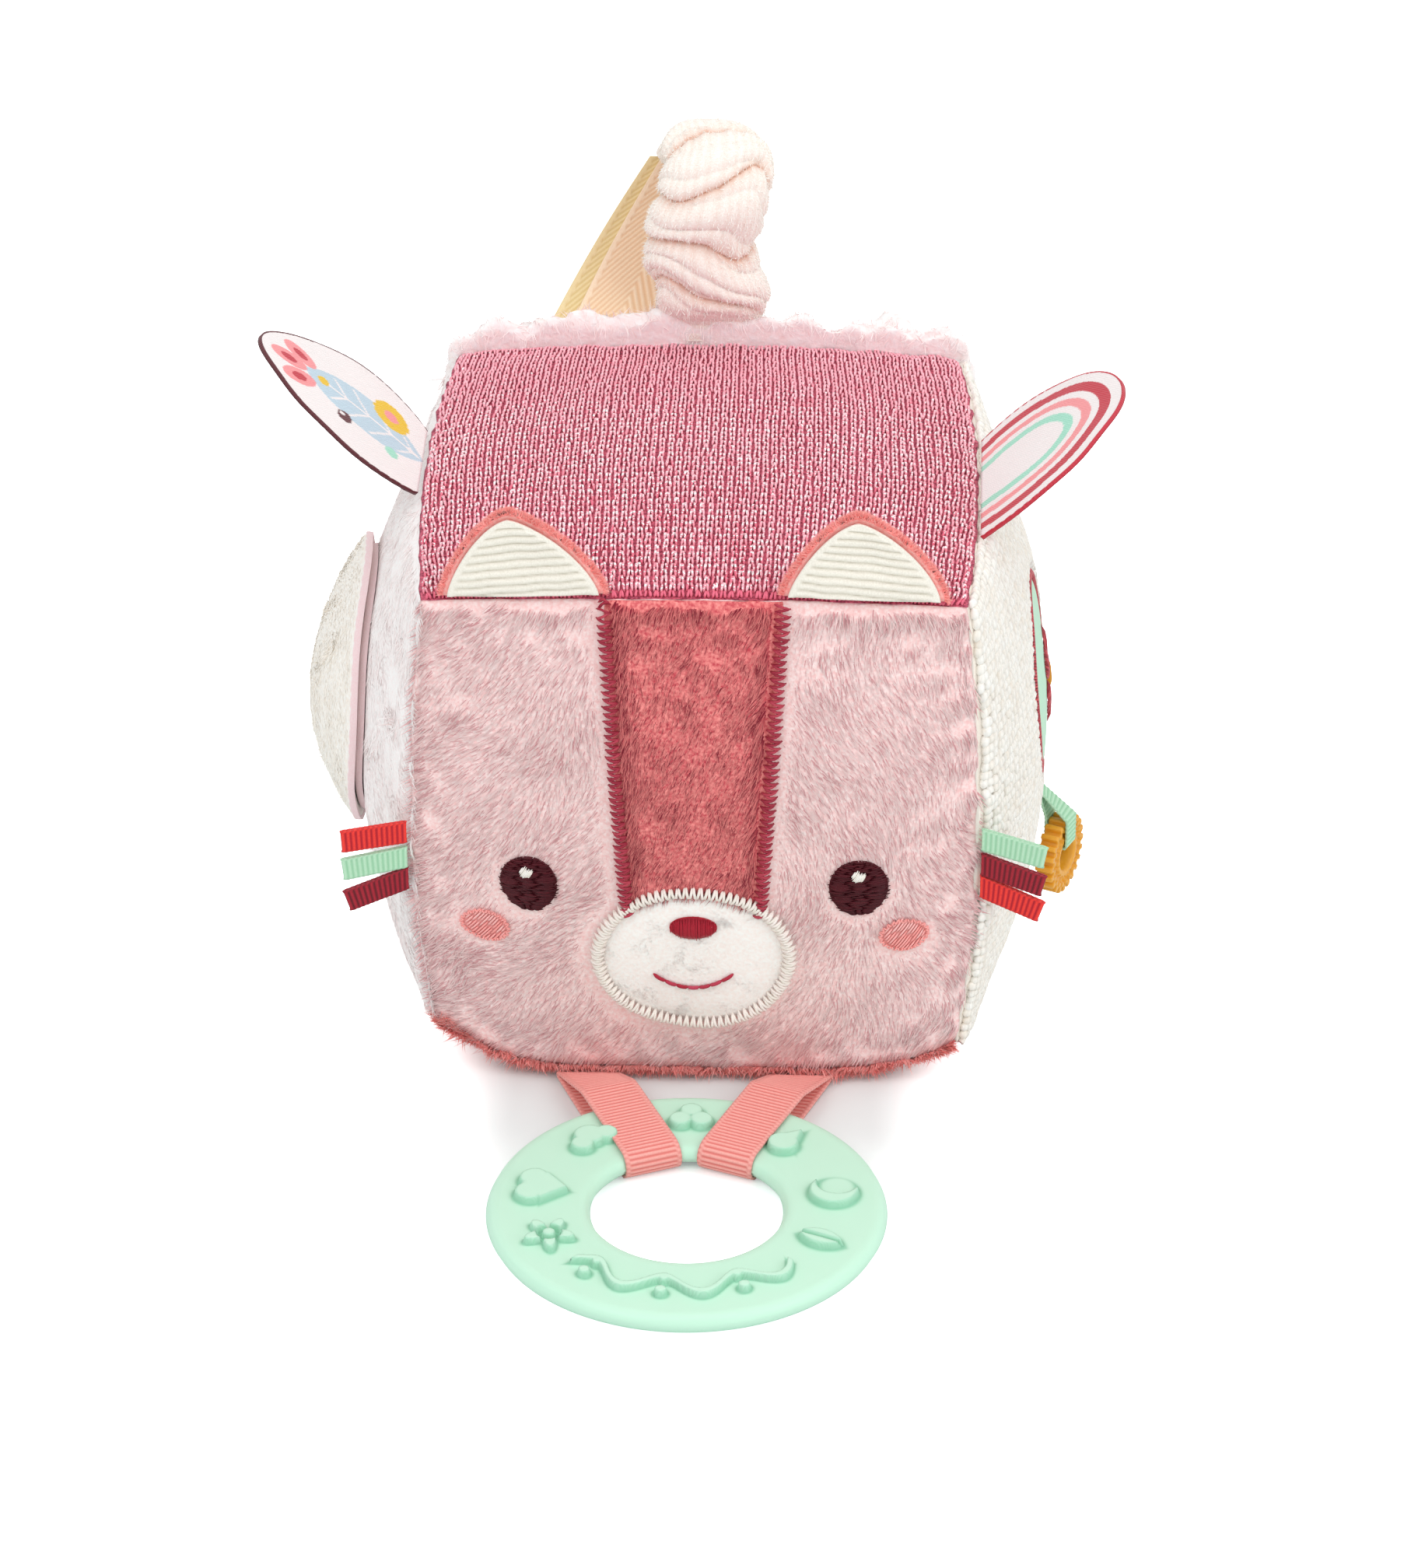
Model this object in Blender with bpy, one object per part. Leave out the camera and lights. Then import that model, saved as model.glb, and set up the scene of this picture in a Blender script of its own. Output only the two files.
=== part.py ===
"""Soft fabric activity block for a baby, as the separate pieces that it is sewn from.

Six cloth panels stand over a fibre filling with a rattle in it. An animal face is sewn on the
front, two ears, a gathered carrying loop, woven tags and ribbon loops stand in the seams, a mirror
lies under a padded flap, and a teething ring hangs on two ribbons.

Lengths are metres and +Z is up. The front looks along -Y, and the origin is the centre of the face
that the block stands on. Run it with: blender --background --python part.py
"""

import math

import bmesh
import bpy
import numpy as np
from mathutils import Vector

MM = 0.001
MERGE_DISTANCE = 0.001 * MM
SHARP_DEG = 40

# Clearances between sewn neighbours, and how finely a ribbon's fold and a quarter turn are drawn
GAP = 0.3 * MM
SEAM_INSET = 0.25 * MM
CUT_OVERRUN = 5 * MM
FOLD_POINTS = 5
QUARTER_POINTS = 3

# Stuffed block between its seams, and how far each face swells
BODY_WIDTH = 138 * MM
BODY_DEPTH = 145 * MM
BODY_HEIGHT = 140 * MM
SIDE_CROWN = 14 * MM
SIDE_BOW = 8 * MM
FRONT_CROWN = 4 * MM
BACK_CROWN = 7 * MM
END_BOW = 4 * MM
TOP_CROWN = 4 * MM
TOP_BOW = 5 * MM
CROWN_POWER = 2.2
PANEL_CELLS = 10
PANEL_THICKNESS = 2.6 * MM

# Underside: flat in the middle, and lifted towards its edges and corners
FLAT_SHARE = 0.5
EDGE_LIFT = 2.5 * MM
LEFT_CORNER_LIFT = 16 * MM
RIGHT_CORNER_LIFT = 8 * MM

# Rattle capsule in a pocket of the filling
RATTLE_RADIUS = 16 * MM
RATTLE_HEIGHT = 24 * MM
RATTLE_WALL = 1.4 * MM
RATTLE_LIP = 3 * MM
RATTLE_STEPS = 20
BALL_RADIUS = 4 * MM

# Face on the front: places as shares of the half width and half height
STRIPE_TOP_WIDTH = 45 * MM
STRIPE_FOOT_WIDTH = 35 * MM
STRIPE_CELLS = (6, 8)
PATCH_THICKNESS = 1.6 * MM
MUZZLE_WIDTH = 50 * MM
MUZZLE_HEIGHT = 43 * MM
MUZZLE_PLACE_SHARES = (0.0, -0.43)
EYE_WIDTH = 15 * MM
EYE_HEIGHT = 16.5 * MM
EYE_PLACE_SHARES = (0.61, -0.12)
CHEEK_WIDTH = 12 * MM
CHEEK_HEIGHT = 9 * MM
CHEEK_PLACE_SHARES = (0.78, -0.345)
STITCH_THICKNESS = 1.0 * MM
STITCH_CELLS = 5
GLINT_CELLS = 3
GLINT_WIDTH = 3.4 * MM
GLINT_SHIFT_SHARES = (-0.05, 0.5)
NOSE_WIDTH = 12 * MM
NOSE_HEIGHT = 7 * MM
NOSE_SHIFT_SHARE = 0.5
MOUTH_WIDTH = 20 * MM
MOUTH_DROP = 4 * MM
MOUTH_SHIFT_SHARE = -0.2
MOUTH_THREAD = 0.9 * MM
MOUTH_POINTS = 9

# Ears in the front top seam
EAR_WIDTH = 38 * MM
EAR_HEIGHT = 21 * MM
EAR_CORNER_MARGIN = 7.5 * MM
EAR_FRONT_THICKNESS = 1.6 * MM
EAR_BACK_THICKNESS = 2.2 * MM
EAR_RIM = 1.3 * MM
EAR_CUP = 1.8 * MM
EAR_EDGE = 0.35 * MM
EAR_OUTLINE_POWERS = (1.4, 0.7)
EAR_PAD_POWERS = (4, 6)
EAR_ROW_SHARES = (0.0, 0.06, 0.2, 0.4, 0.6, 0.78, 0.91, 0.985)
EAR_CELLS = 6

# Woven tags in the top side seams
TAG_THICKNESS = 0.9 * MM
TAG_RISE_DEG = 45
TAG_CURL = 4 * MM
TAG_BELLY_POWER = 0.8
TAG_TIP_POWER = 3
TAG_ROW_SHARES = (0.0, 0.12, 0.3, 0.5, 0.7, 0.85, 0.95, 0.99)
TAG_CELLS = 6
LEFT_TAG_WIDTH = 36 * MM
LEFT_TAG_REACH = 54 * MM
LEFT_TAG_BELLY_SHARE = 0.38
LEFT_TAG_PLACE_SHARE = -0.03
RIGHT_TAG_WIDTH = 54 * MM
RIGHT_TAG_REACH = 46 * MM
RIGHT_TAG_BELLY_SHARE = 0.08
RIGHT_TAG_PLACE_SHARE = -0.19

# Ribbon loops in the front side seams: height on the seam as a share, and slope outwards
WHISKER_WIDTH = 6 * MM
WHISKER_REACH = 16 * MM
WHISKER_RIBBON = 0.5 * MM
WHISKER_FORWARD_DEG = 14
WHISKER_SEAM_SHARES = {"left": (0.06, -0.06, -0.18), "right": (0.06, -0.05, -0.16)}
WHISKER_SLOPES_DEG = {"left": (-3, -6, -17), "right": (-10, -14, -18)}
WHISKER_NAMES = {"left": ("red", "mint", "wine"), "right": ("mint", "wine", "red")}

# Carrying loop in the back top seam: a gathered tube in front and a doubled tape behind
HANDLE_WIDTH = 28 * MM
HANDLE_LEG = 38 * MM
HANDLE_BEND_RADIUS = 12.5 * MM
HANDLE_BEND_DEG = 150
HANDLE_HALF_DEPTH = 6 * MM
HANDLE_WALL = 1.5 * MM
HANDLE_PUFF = 1.6 * MM
HANDLE_GATHERS = 4.5
HANDLE_ROOT_HALF = 1.0 * MM
HANDLE_ROOT_LENGTH = 12 * MM
HANDLE_TILT_DEG = 35
HANDLE_FLATNESS_POWER = 0.75
HANDLE_WALL_LIMIT_SHARE = 0.45
HANDLE_ROWS = 12
HANDLE_STEPS = 22
ELASTIC_WIDTH = 12 * MM
ELASTIC_THICKNESS = 0.5 * MM
TAPE_WIDTH = 21 * MM
TAPE_THICKNESS = 0.8 * MM
TAPE_ROOT_SHIFT = 27.5 * MM
TAPE_LAYER_SHIFT = 5.5 * MM
TAPE_STEPS = 8
TAPE_SAG = 5 * MM

# Mirror and padded flap on the left, patch and toothed ring on the right
MIRROR_RADIUS = 31 * MM
MIRROR_THICKNESS = 1.2 * MM
MIRROR_RIM_WIDTH = 4 * MM
MIRROR_RIM_THICKNESS = 1.8 * MM
MIRROR_HEIGHT_SHARE = 0.1
FLAP_RADIUS = 37 * MM
FLAP_EDGE = 1.4 * MM
FLAP_DOME = 9.5 * MM
DISC_CELLS = 8
RIM_STEPS = 28
PATCH_RADIUS = 24 * MM
PATCH_PLACE_SHARES = (-0.1, 0.22)
PATCH_BORDER = 3 * MM
GEAR_RADIUS = 11 * MM
GEAR_HOLE_RADIUS = 4.6 * MM
GEAR_THICKNESS = 5 * MM
GEAR_TEETH = 22
GEAR_TOOTH = 1.5 * MM
GEAR_TURN_DEG = 25
GEAR_PLACE_SHARES = (-0.14, -0.53)
GEAR_RIBBON = 0.5 * MM
GEAR_RIBBON_WIDTH = 6 * MM
GEAR_RIBBON_LENGTH = 8 * MM
GEAR_TOUCH_POINTS = 9

# Teething ring on two ribbons at the front bottom seam
RING_RADIUS = 50 * MM
RING_HOLE_RADIUS = 24.5 * MM
RING_THICKNESS = 6 * MM
RING_REACH = 67 * MM
RING_STEPS = 48
RING_EDGE_STEPS = 3
RIBBON_WIDTH = 15 * MM
RIBBON_THICKNESS = 0.6 * MM
RIBBON_ANGLE_DEG = 23

MIDDLE = np.array([0.0, 0.0, BODY_HEIGHT / 2])
SIGNS = {"left": -1, "right": 1}


def clear_scene():
    """Removes what the startup scene holds."""
    for obj in list(bpy.data.objects):
        bpy.data.objects.remove(obj)


def finish(name, hex_colour, roughness, metallic=0.0):
    """A Principled material from an sRGB colour."""
    channels = [int(hex_colour[i : i + 2], 16) / 255 for i in (1, 3, 5)]
    linear = [((c + 0.055) / 1.055) ** 2.4 if c > 0.04045 else c / 12.92 for c in channels]
    material = bpy.data.materials.get(name) or bpy.data.materials.new(name)
    material.use_nodes = True
    shader = material.node_tree.nodes["Principled BSDF"]
    shader.inputs["Base Color"].default_value = (*linear, 1)
    shader.inputs["Roughness"].default_value = roughness
    shader.inputs["Metallic"].default_value = metallic
    return material


def pivot(name, place):
    """An empty on a joint's axis, which carries the pieces that the joint moves."""
    empty = bpy.data.objects.new(name, None)
    empty.location = place
    bpy.context.collection.objects.link(empty)
    return empty


def add_solid(name, points, faces, material, parent=None):
    """One closed body from places in the block's frame, smooth, and carried by its pivot."""
    points = np.asarray(points, float).reshape(-1, 3)
    if parent:
        points = points - np.array(parent.location)
    mesh = bpy.data.meshes.new(name)
    mesh.from_pydata([Vector(p) for p in points], [], [list(map(int, f)) for f in faces])
    work = bmesh.new()
    work.from_mesh(mesh)
    bmesh.ops.remove_doubles(work, verts=work.verts, dist=MERGE_DISTANCE)
    bmesh.ops.recalc_face_normals(work, faces=work.faces)
    work.to_mesh(mesh)
    work.free()
    mesh.materials.append(material)
    mesh.shade_smooth()
    mesh.set_sharp_from_angle(angle=math.radians(SHARP_DEG))
    obj = bpy.data.objects.new(name, mesh)
    bpy.context.collection.objects.link(obj)
    obj.parent = parent
    return obj


def slab(name, low, high, material, parent=None, closed=False):
    """A sheet between two grids of places. A closed one joins its last row to its first."""
    rows, columns = low.shape[:2]
    index = np.arange(rows * columns).reshape(rows, columns)
    if closed:
        index = np.vstack([index, index[:1]])
    above = index + rows * columns
    corners = [np.s_[:-1, :-1], np.s_[1:, :-1], np.s_[1:, 1:], np.s_[:-1, 1:]]
    faces = [np.stack([above[c] for c in corners], axis=-1).reshape(-1, 4)]
    faces.append(np.stack([index[corners[i]] for i in (0, 3, 2, 1)], axis=-1).reshape(-1, 4))
    edges = [(index[:, 0], above[:, 0]), (index[:, -1], above[:, -1])]
    if not closed:
        edges += [(index[0], above[0]), (index[-1], above[-1])]
    for under, over in edges:
        faces.append(np.stack([under[:-1], under[1:], over[1:], over[:-1]], axis=-1))
    points = np.concatenate([low.reshape(-1, 3), high.reshape(-1, 3)])
    return add_solid(name, points, np.concatenate(faces), material, parent)


def lathe(name, profile, steps, material, place, parent=None, loop=True):
    """A profile of (radius, height) turned about the vertical through a place."""
    angles = np.linspace(0, 2 * math.pi, steps, endpoint=False)
    radius, height = np.array(profile).T
    points = np.stack(
        [
            np.outer(np.cos(angles), radius),
            np.outer(np.sin(angles), radius),
            np.broadcast_to(height, (steps, len(height))),
        ],
        axis=-1,
    ) + np.asarray(place)
    index = np.arange(steps * len(profile)).reshape(steps, -1)
    index = np.vstack([index, index[:1]])
    if loop:
        index = np.hstack([index, index[:, :1]])
    corners = [index[:-1, :-1], index[1:, :-1], index[1:, 1:], index[:-1, 1:]]
    return add_solid(name, points, np.stack(corners, axis=-1).reshape(-1, 4), material, parent)


def strip_sides(path, across, thickness, closed):
    """The two faces of a ribbon whose middle line is path and whose half width vectors are across."""
    if closed:
        run = np.roll(path, -1, axis=0) - np.roll(path, 1, axis=0)
    else:
        run = np.gradient(path, axis=0)
    normal = np.cross(run, across)
    normal /= np.linalg.norm(normal, axis=1, keepdims=True)
    edges = np.stack([path - across, path + across], axis=1)
    half = normal[:, None] * thickness / 2
    return edges - half, edges + half


def strip(name, path, across, thickness, material, parent=None, closed=False):
    """A ribbon along a path."""
    low, high = strip_sides(path, across, thickness, closed)
    return slab(name, low, high, material, parent, closed)


def flat_loop(root, run, side, length, inner_gap, thickness):
    """Middle line of a ribbon folded to a flat loop that starts round its root."""
    radius = (inner_gap + thickness) / 2
    turn = np.linspace(0, math.pi, FOLD_POINTS)
    path = [root + run * length + radius * (side * math.cos(a) + run * math.sin(a)) for a in turn]
    path += [root - radius * (side * math.cos(a) + run * math.sin(a)) for a in turn]
    return np.array(path)


def crown(first, second):
    """1 in the middle of a face and 0 along its seams."""
    return (1 - np.abs(first) ** CROWN_POWER) * (1 - np.abs(second) ** CROWN_POWER)


def bow(first, second):
    """1 in the middle of a face, a half in the middle of a seam and 0 at a corner."""
    return (2 - first**2 - second**2) / 2


def bottom_rise(x, y):
    """How far the underside is lifted: nothing in its flat middle, most at its corners."""
    ramp_x, ramp_y = (np.clip((np.abs(a) - FLAT_SHARE) / (1 - FLAT_SHARE), 0, 1) ** 2 for a in (x, y))
    corner = np.where(x < 0, LEFT_CORNER_LIFT, RIGHT_CORNER_LIFT)
    return EDGE_LIFT * np.maximum(ramp_x, ramp_y) + corner * ramp_x * ramp_y


def puffed(cube):
    """Places on the stuffed block's skin, for places on a cube with faces at -1 and 1."""
    x, y, z = np.moveaxis(np.asarray(cube, float), -1, 0)
    width = BODY_WIDTH / 2 + SIDE_CROWN * crown(y, z) + SIDE_BOW * bow(y, z)
    end_crown = np.where(y < 0, FRONT_CROWN, BACK_CROWN)
    depth = BODY_DEPTH / 2 + end_crown * crown(x, z) + END_BOW * bow(x, z)
    top = BODY_HEIGHT / 2 + TOP_CROWN * crown(x, y) + TOP_BOW * bow(x, y)
    bottom = BODY_HEIGHT / 2 - bottom_rise(x, y)
    height = np.where(z > 0, top, bottom)
    return np.stack([x * width, y * depth, BODY_HEIGHT / 2 + z * height], axis=-1)


def below_skin(cube, depth):
    """Places at a depth under the skin, towards the block's middle."""
    return MIDDLE + (puffed(cube) - MIDDLE) * (1 - depth / (BODY_WIDTH / 2))


def cube_face(axis, sign, inset):
    """Grid over one face of the cube, which stops short of its seams by inset."""
    steps = np.linspace(inset - 1, 1 - inset, PANEL_CELLS + 1)
    first, second = np.meshgrid(steps, steps, indexing="ij")
    parts = [first, second]
    parts.insert(axis, np.full_like(first, sign))
    return np.stack(parts, axis=-1)


def on_face(axis, sign, first, second, lift):
    """Places over a side (axis 0) or an end (axis 1) of the block.

    first runs along the face, second is the height, and lift stands straight out from it.
    """
    half, swell = ((BODY_DEPTH / 2, END_BOW), (BODY_WIDTH / 2, SIDE_BOW))[axis]
    z = (second - BODY_HEIGHT / 2) / (BODY_HEIGHT / 2)
    along = first / (half + swell * bow(1, z))
    parts = [along, z]
    parts.insert(axis, np.full_like(along, sign))
    place = puffed(np.stack(parts, axis=-1))
    ray = place - MIDDLE
    return place + ray * (lift / np.abs(ray[..., axis]))[..., None]


def from_shares(axis, shares):
    """A place on a face from its shares of the half length and the half height."""
    half = (BODY_DEPTH / 2, BODY_WIDTH / 2)[axis]
    return shares[0] * half, BODY_HEIGHT / 2 * (1 + shares[1])


def disc_grid(cells):
    """A square grid drawn in to a unit disc, with no pole."""
    steps = np.linspace(-1, 1, cells + 1)
    u, v = np.meshgrid(steps, steps, indexing="ij")
    return u * np.sqrt(1 - v**2 / 2), v * np.sqrt(1 - u**2 / 2)


def oval_patch(name, face, centre, size, lift, thickness, material, parent=None, cells=DISC_CELLS):
    """An oval sheet that follows a face of the block. thickness may be a function of the radius."""
    u, v = disc_grid(cells)
    first = centre[0] + u * size[0] / 2
    second = centre[1] + v * size[1] / 2
    thick = thickness(np.hypot(u, v)) if callable(thickness) else np.full_like(u, thickness)
    low = on_face(*face, first, second, np.full_like(u, lift))
    high = on_face(*face, first, second, lift + thick)
    return slab(name, low, high, material, parent)


def round_border(name, face, centre, inner, outer, lift, thickness, material):
    """A flat ring that follows a face of the block."""
    angles = np.linspace(0, 2 * math.pi, RIM_STEPS, endpoint=False)
    radius = np.array([inner, outer])
    first = centre[0] + np.outer(np.cos(angles), radius)
    second = centre[1] + np.outer(np.sin(angles), radius)
    low = on_face(*face, first, second, np.full_like(first, lift))
    high = on_face(*face, first, second, np.full_like(first, lift + thickness))
    return slab(name, low, high, material, closed=True)


def leaf(name, stance, net, half_width, reach, faces, material, parent):
    """A flap that stands on a base line, with its half width and its two faces as functions.

    stance is the base line's middle and direction and the way up, and net its rows and cells.
    """
    base, along, up = stance
    rows, cells = net
    v, u = np.meshgrid(rows, np.linspace(-1, 1, cells + 1), indexing="ij")
    normal = np.cross(along, up)
    flat = base + along * (u * half_width(v))[..., None] + up * (v * reach)[..., None]
    low, high = [flat + normal * face(u, v)[..., None] for face in faces]
    return slab(name, low, high, material, parent)


def square_up(way, along):
    """A unit vector near way and square to along."""
    way = way - along * way.dot(along)
    return way / np.linalg.norm(way)


def make_panels():
    """Six cloth panels, which stop at the seams."""
    cloths = {
        "front_panel": (1, -1, finish("short pile plush, light pink", "#EDB9BD", 0.9)),
        "back_panel": (1, 1, finish("long pile fur fabric, pale pink", "#FBDDDD", 0.95)),
        "left_panel": (0, -1, finish("short pile plush, blush white", "#F8EAEA", 0.9)),
        "right_panel": (0, 1, finish("chenille knit, cream", "#F7F0E6", 0.9)),
        "top_panel": (2, 1, finish("jersey knit, raspberry", "#DE6E8C", 0.7)),
        "bottom_panel": (2, -1, finish("short pile plush, coral", "#D9606A", 0.9)),
    }
    for name, (axis, sign, material) in cloths.items():
        cube = cube_face(axis, sign, SEAM_INSET / (BODY_WIDTH / 2))
        slab(name, below_skin(cube, PANEL_THICKNESS), puffed(cube), material)


def make_filling():
    """The fibre filling, with the pocket that the rattle sits in."""
    points, faces = [], []
    for axis in range(3):
        for sign in (-1, 1):
            cube = cube_face(axis, sign, 0)
            start = len(points) * cube[..., 0].size
            index = np.arange(cube[..., 0].size).reshape(cube.shape[:2]) + start
            corners = [index[:-1, :-1], index[1:, :-1], index[1:, 1:], index[:-1, 1:]]
            faces.append(np.stack(corners, axis=-1).reshape(-1, 4))
            points.append(below_skin(cube, PANEL_THICKNESS + GAP).reshape(-1, 3))
    white = finish("polyester fibre filling", "#F4F2EE", 0.95)
    filling = add_solid("fibre_filling", np.concatenate(points), np.concatenate(faces), white)
    top = rattle_floor() + RATTLE_HEIGHT + GAP
    profile = [(0, -CUT_OVERRUN), (RATTLE_RADIUS + GAP, -CUT_OVERRUN), (RATTLE_RADIUS + GAP, top), (0, top)]
    cutter = lathe("rattle_pocket_cutter", profile, RATTLE_STEPS, white, (0, 0, 0), loop=False)
    cutter.hide_render = True
    cutter.display_type = "WIRE"
    pocket = filling.modifiers.new("Rattle pocket", "BOOLEAN")
    pocket.operation = "DIFFERENCE"
    pocket.solver = "EXACT"
    pocket.object = cutter


def rattle_floor():
    """Height of the rattle's underside, on the bottom panel."""
    return PANEL_THICKNESS * BODY_HEIGHT / BODY_WIDTH + GAP


def make_rattle():
    """A two-part plastic capsule with one ball in it."""
    white = finish("moulded polypropylene, white", "#F2F2F2", 0.4)
    floor = rattle_floor()
    split = RATTLE_HEIGHT - RATTLE_LIP - RATTLE_WALL
    bore = RATTLE_RADIUS - RATTLE_WALL
    outside = [(0, 0), (RATTLE_RADIUS, 0), (RATTLE_RADIUS, split)]
    cup = outside + [(bore, split), (bore, RATTLE_WALL), (0, RATTLE_WALL)]
    lathe("rattle_cup", cup, RATTLE_STEPS, white, (0, 0, floor), loop=False)
    lid_floor = split + GAP
    plug = bore - GAP
    lid = [
        (0, RATTLE_HEIGHT),
        (0, RATTLE_HEIGHT - RATTLE_WALL),
        (plug - RATTLE_WALL, RATTLE_HEIGHT - RATTLE_WALL),
        (plug - RATTLE_WALL, lid_floor - RATTLE_LIP),
        (plug, lid_floor - RATTLE_LIP),
        (plug, lid_floor),
        (RATTLE_RADIUS, lid_floor),
        (RATTLE_RADIUS, RATTLE_HEIGHT),
    ]
    lathe("rattle_lid", lid, RATTLE_STEPS, white, (0, 0, floor))
    centre = (0, 0, floor + RATTLE_WALL + GAP + BALL_RADIUS)
    carrier = pivot("rattle_ball_pivot", centre)
    mesh = bpy.data.meshes.new("rattle_ball")
    work = bmesh.new()
    bmesh.ops.create_icosphere(work, subdivisions=2, radius=BALL_RADIUS)
    work.to_mesh(mesh)
    work.free()
    mesh.materials.append(finish("glossy bead, amber", "#C98A2B", 0.2))
    mesh.shade_smooth()
    ball = bpy.data.objects.new("rattle_ball", mesh)
    bpy.context.collection.objects.link(ball)
    ball.parent = carrier


def muzzle_top(x):
    """Height of the muzzle's upper outline at a place across the face."""
    centre = from_shares(1, MUZZLE_PLACE_SHARES)
    share = np.clip((x - centre[0]) / (MUZZLE_WIDTH / 2), -1, 1)
    return centre[1] + MUZZLE_HEIGHT / 2 * np.sqrt(1 - share**2)


def make_stripe():
    """The plush stripe from the top seam down to the muzzle."""
    columns = np.linspace(-1, 1, STRIPE_CELLS[0] + 1)
    rows = np.linspace(0, 1, STRIPE_CELLS[1] + 1)
    across, down = np.meshgrid(columns, rows, indexing="ij")
    foot_x = across * STRIPE_FOOT_WIDTH / 2
    foot = muzzle_top(foot_x) + 2 * GAP
    head = BODY_HEIGHT - GAP
    z = head + (foot - head) * down
    x = across * (STRIPE_TOP_WIDTH + (STRIPE_FOOT_WIDTH - STRIPE_TOP_WIDTH) * down) / 2
    low = on_face(1, -1, x, z, np.full_like(x, GAP))
    high = on_face(1, -1, x, z, np.full_like(x, GAP + PATCH_THICKNESS))
    slab("centre_stripe", low, high, finish("short pile plush, coral", "#D9606A", 0.9))


def make_face():
    """Muzzle, eyes, cheeks, nose and mouth of a plain animal face."""
    front = (1, -1)
    wine = finish("embroidery, dark wine", "#3A0C14", 0.45)
    white = finish("short pile plush, white", "#F8EFEF", 0.9)
    muzzle = from_shares(1, MUZZLE_PLACE_SHARES)
    oval_patch("muzzle_patch", front, muzzle, (MUZZLE_WIDTH, MUZZLE_HEIGHT), GAP, PATCH_THICKNESS, white)
    for side, sign in SIGNS.items():
        eye = from_shares(1, (sign * EYE_PLACE_SHARES[0], EYE_PLACE_SHARES[1]))
        cheek = from_shares(1, (sign * CHEEK_PLACE_SHARES[0], CHEEK_PLACE_SHARES[1]))
        glint = [c + s * size / 2 for c, s, size in zip(eye, GLINT_SHIFT_SHARES, (EYE_WIDTH, EYE_HEIGHT))]
        eye_size = (EYE_WIDTH, EYE_HEIGHT)
        oval_patch(f"eye_{side}", front, eye, eye_size, GAP, STITCH_THICKNESS, wine, cells=STITCH_CELLS)
        shine = finish("embroidery, white", "#FFFFFF", 0.5)
        over = STITCH_THICKNESS + 2 * GAP
        size = (GLINT_WIDTH, GLINT_WIDTH)
        thick = STITCH_THICKNESS
        oval_patch(f"eye_glint_{side}", front, glint, size, over, thick, shine, cells=GLINT_CELLS)
        rose = finish("embroidery, rose", "#E58C92", 0.5)
        cheek_size = (CHEEK_WIDTH, CHEEK_HEIGHT)
        oval_patch(f"cheek_{side}", front, cheek, cheek_size, GAP, STITCH_THICKNESS, rose, cells=STITCH_CELLS)
    over = PATCH_THICKNESS + 2 * GAP
    nose = (muzzle[0], muzzle[1] + NOSE_SHIFT_SHARE * MUZZLE_HEIGHT / 2)
    crimson = finish("embroidery, crimson", "#A8172E", 0.45)
    nose_size = (NOSE_WIDTH, NOSE_HEIGHT)
    oval_patch("nose", front, nose, nose_size, over, STITCH_THICKNESS, crimson, cells=STITCH_CELLS)
    make_mouth(muzzle, over + MOUTH_THREAD / 2, crimson)


def make_mouth(muzzle, lift, material):
    """A line of thread in a smile, as a tube on the muzzle."""
    share = np.linspace(-1, 1, MOUTH_POINTS)
    x = muzzle[0] + share * MOUTH_WIDTH / 2
    z = muzzle[1] + MOUTH_SHIFT_SHARE * MUZZLE_HEIGHT / 2 + MOUTH_DROP * (share**2 - 1)
    places = on_face(1, -1, x, z, np.full_like(x, lift))
    curve = bpy.data.curves.new("mouth", "CURVE")
    curve.dimensions = "3D"
    curve.bevel_depth = MOUTH_THREAD / 2
    curve.bevel_resolution = 1
    curve.use_fill_caps = True
    line = curve.splines.new("POLY")
    line.points.add(MOUTH_POINTS - 1)
    for point, place in zip(line.points, places):
        point.co = (*place, 1)
    curve.materials.append(material)
    bpy.context.collection.objects.link(bpy.data.objects.new("mouth", curve))


def seam_line(first_cube, second_cube, stand):
    """Middle and direction of a straight base line that stands over a seam."""
    ends = puffed(np.array([first_cube, second_cube]))
    along = ends[1] - ends[0]
    along /= np.linalg.norm(along)
    middle = puffed((np.array(first_cube) + second_cube) / 2)
    return middle + np.array([0, 0, stand]), along


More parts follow.
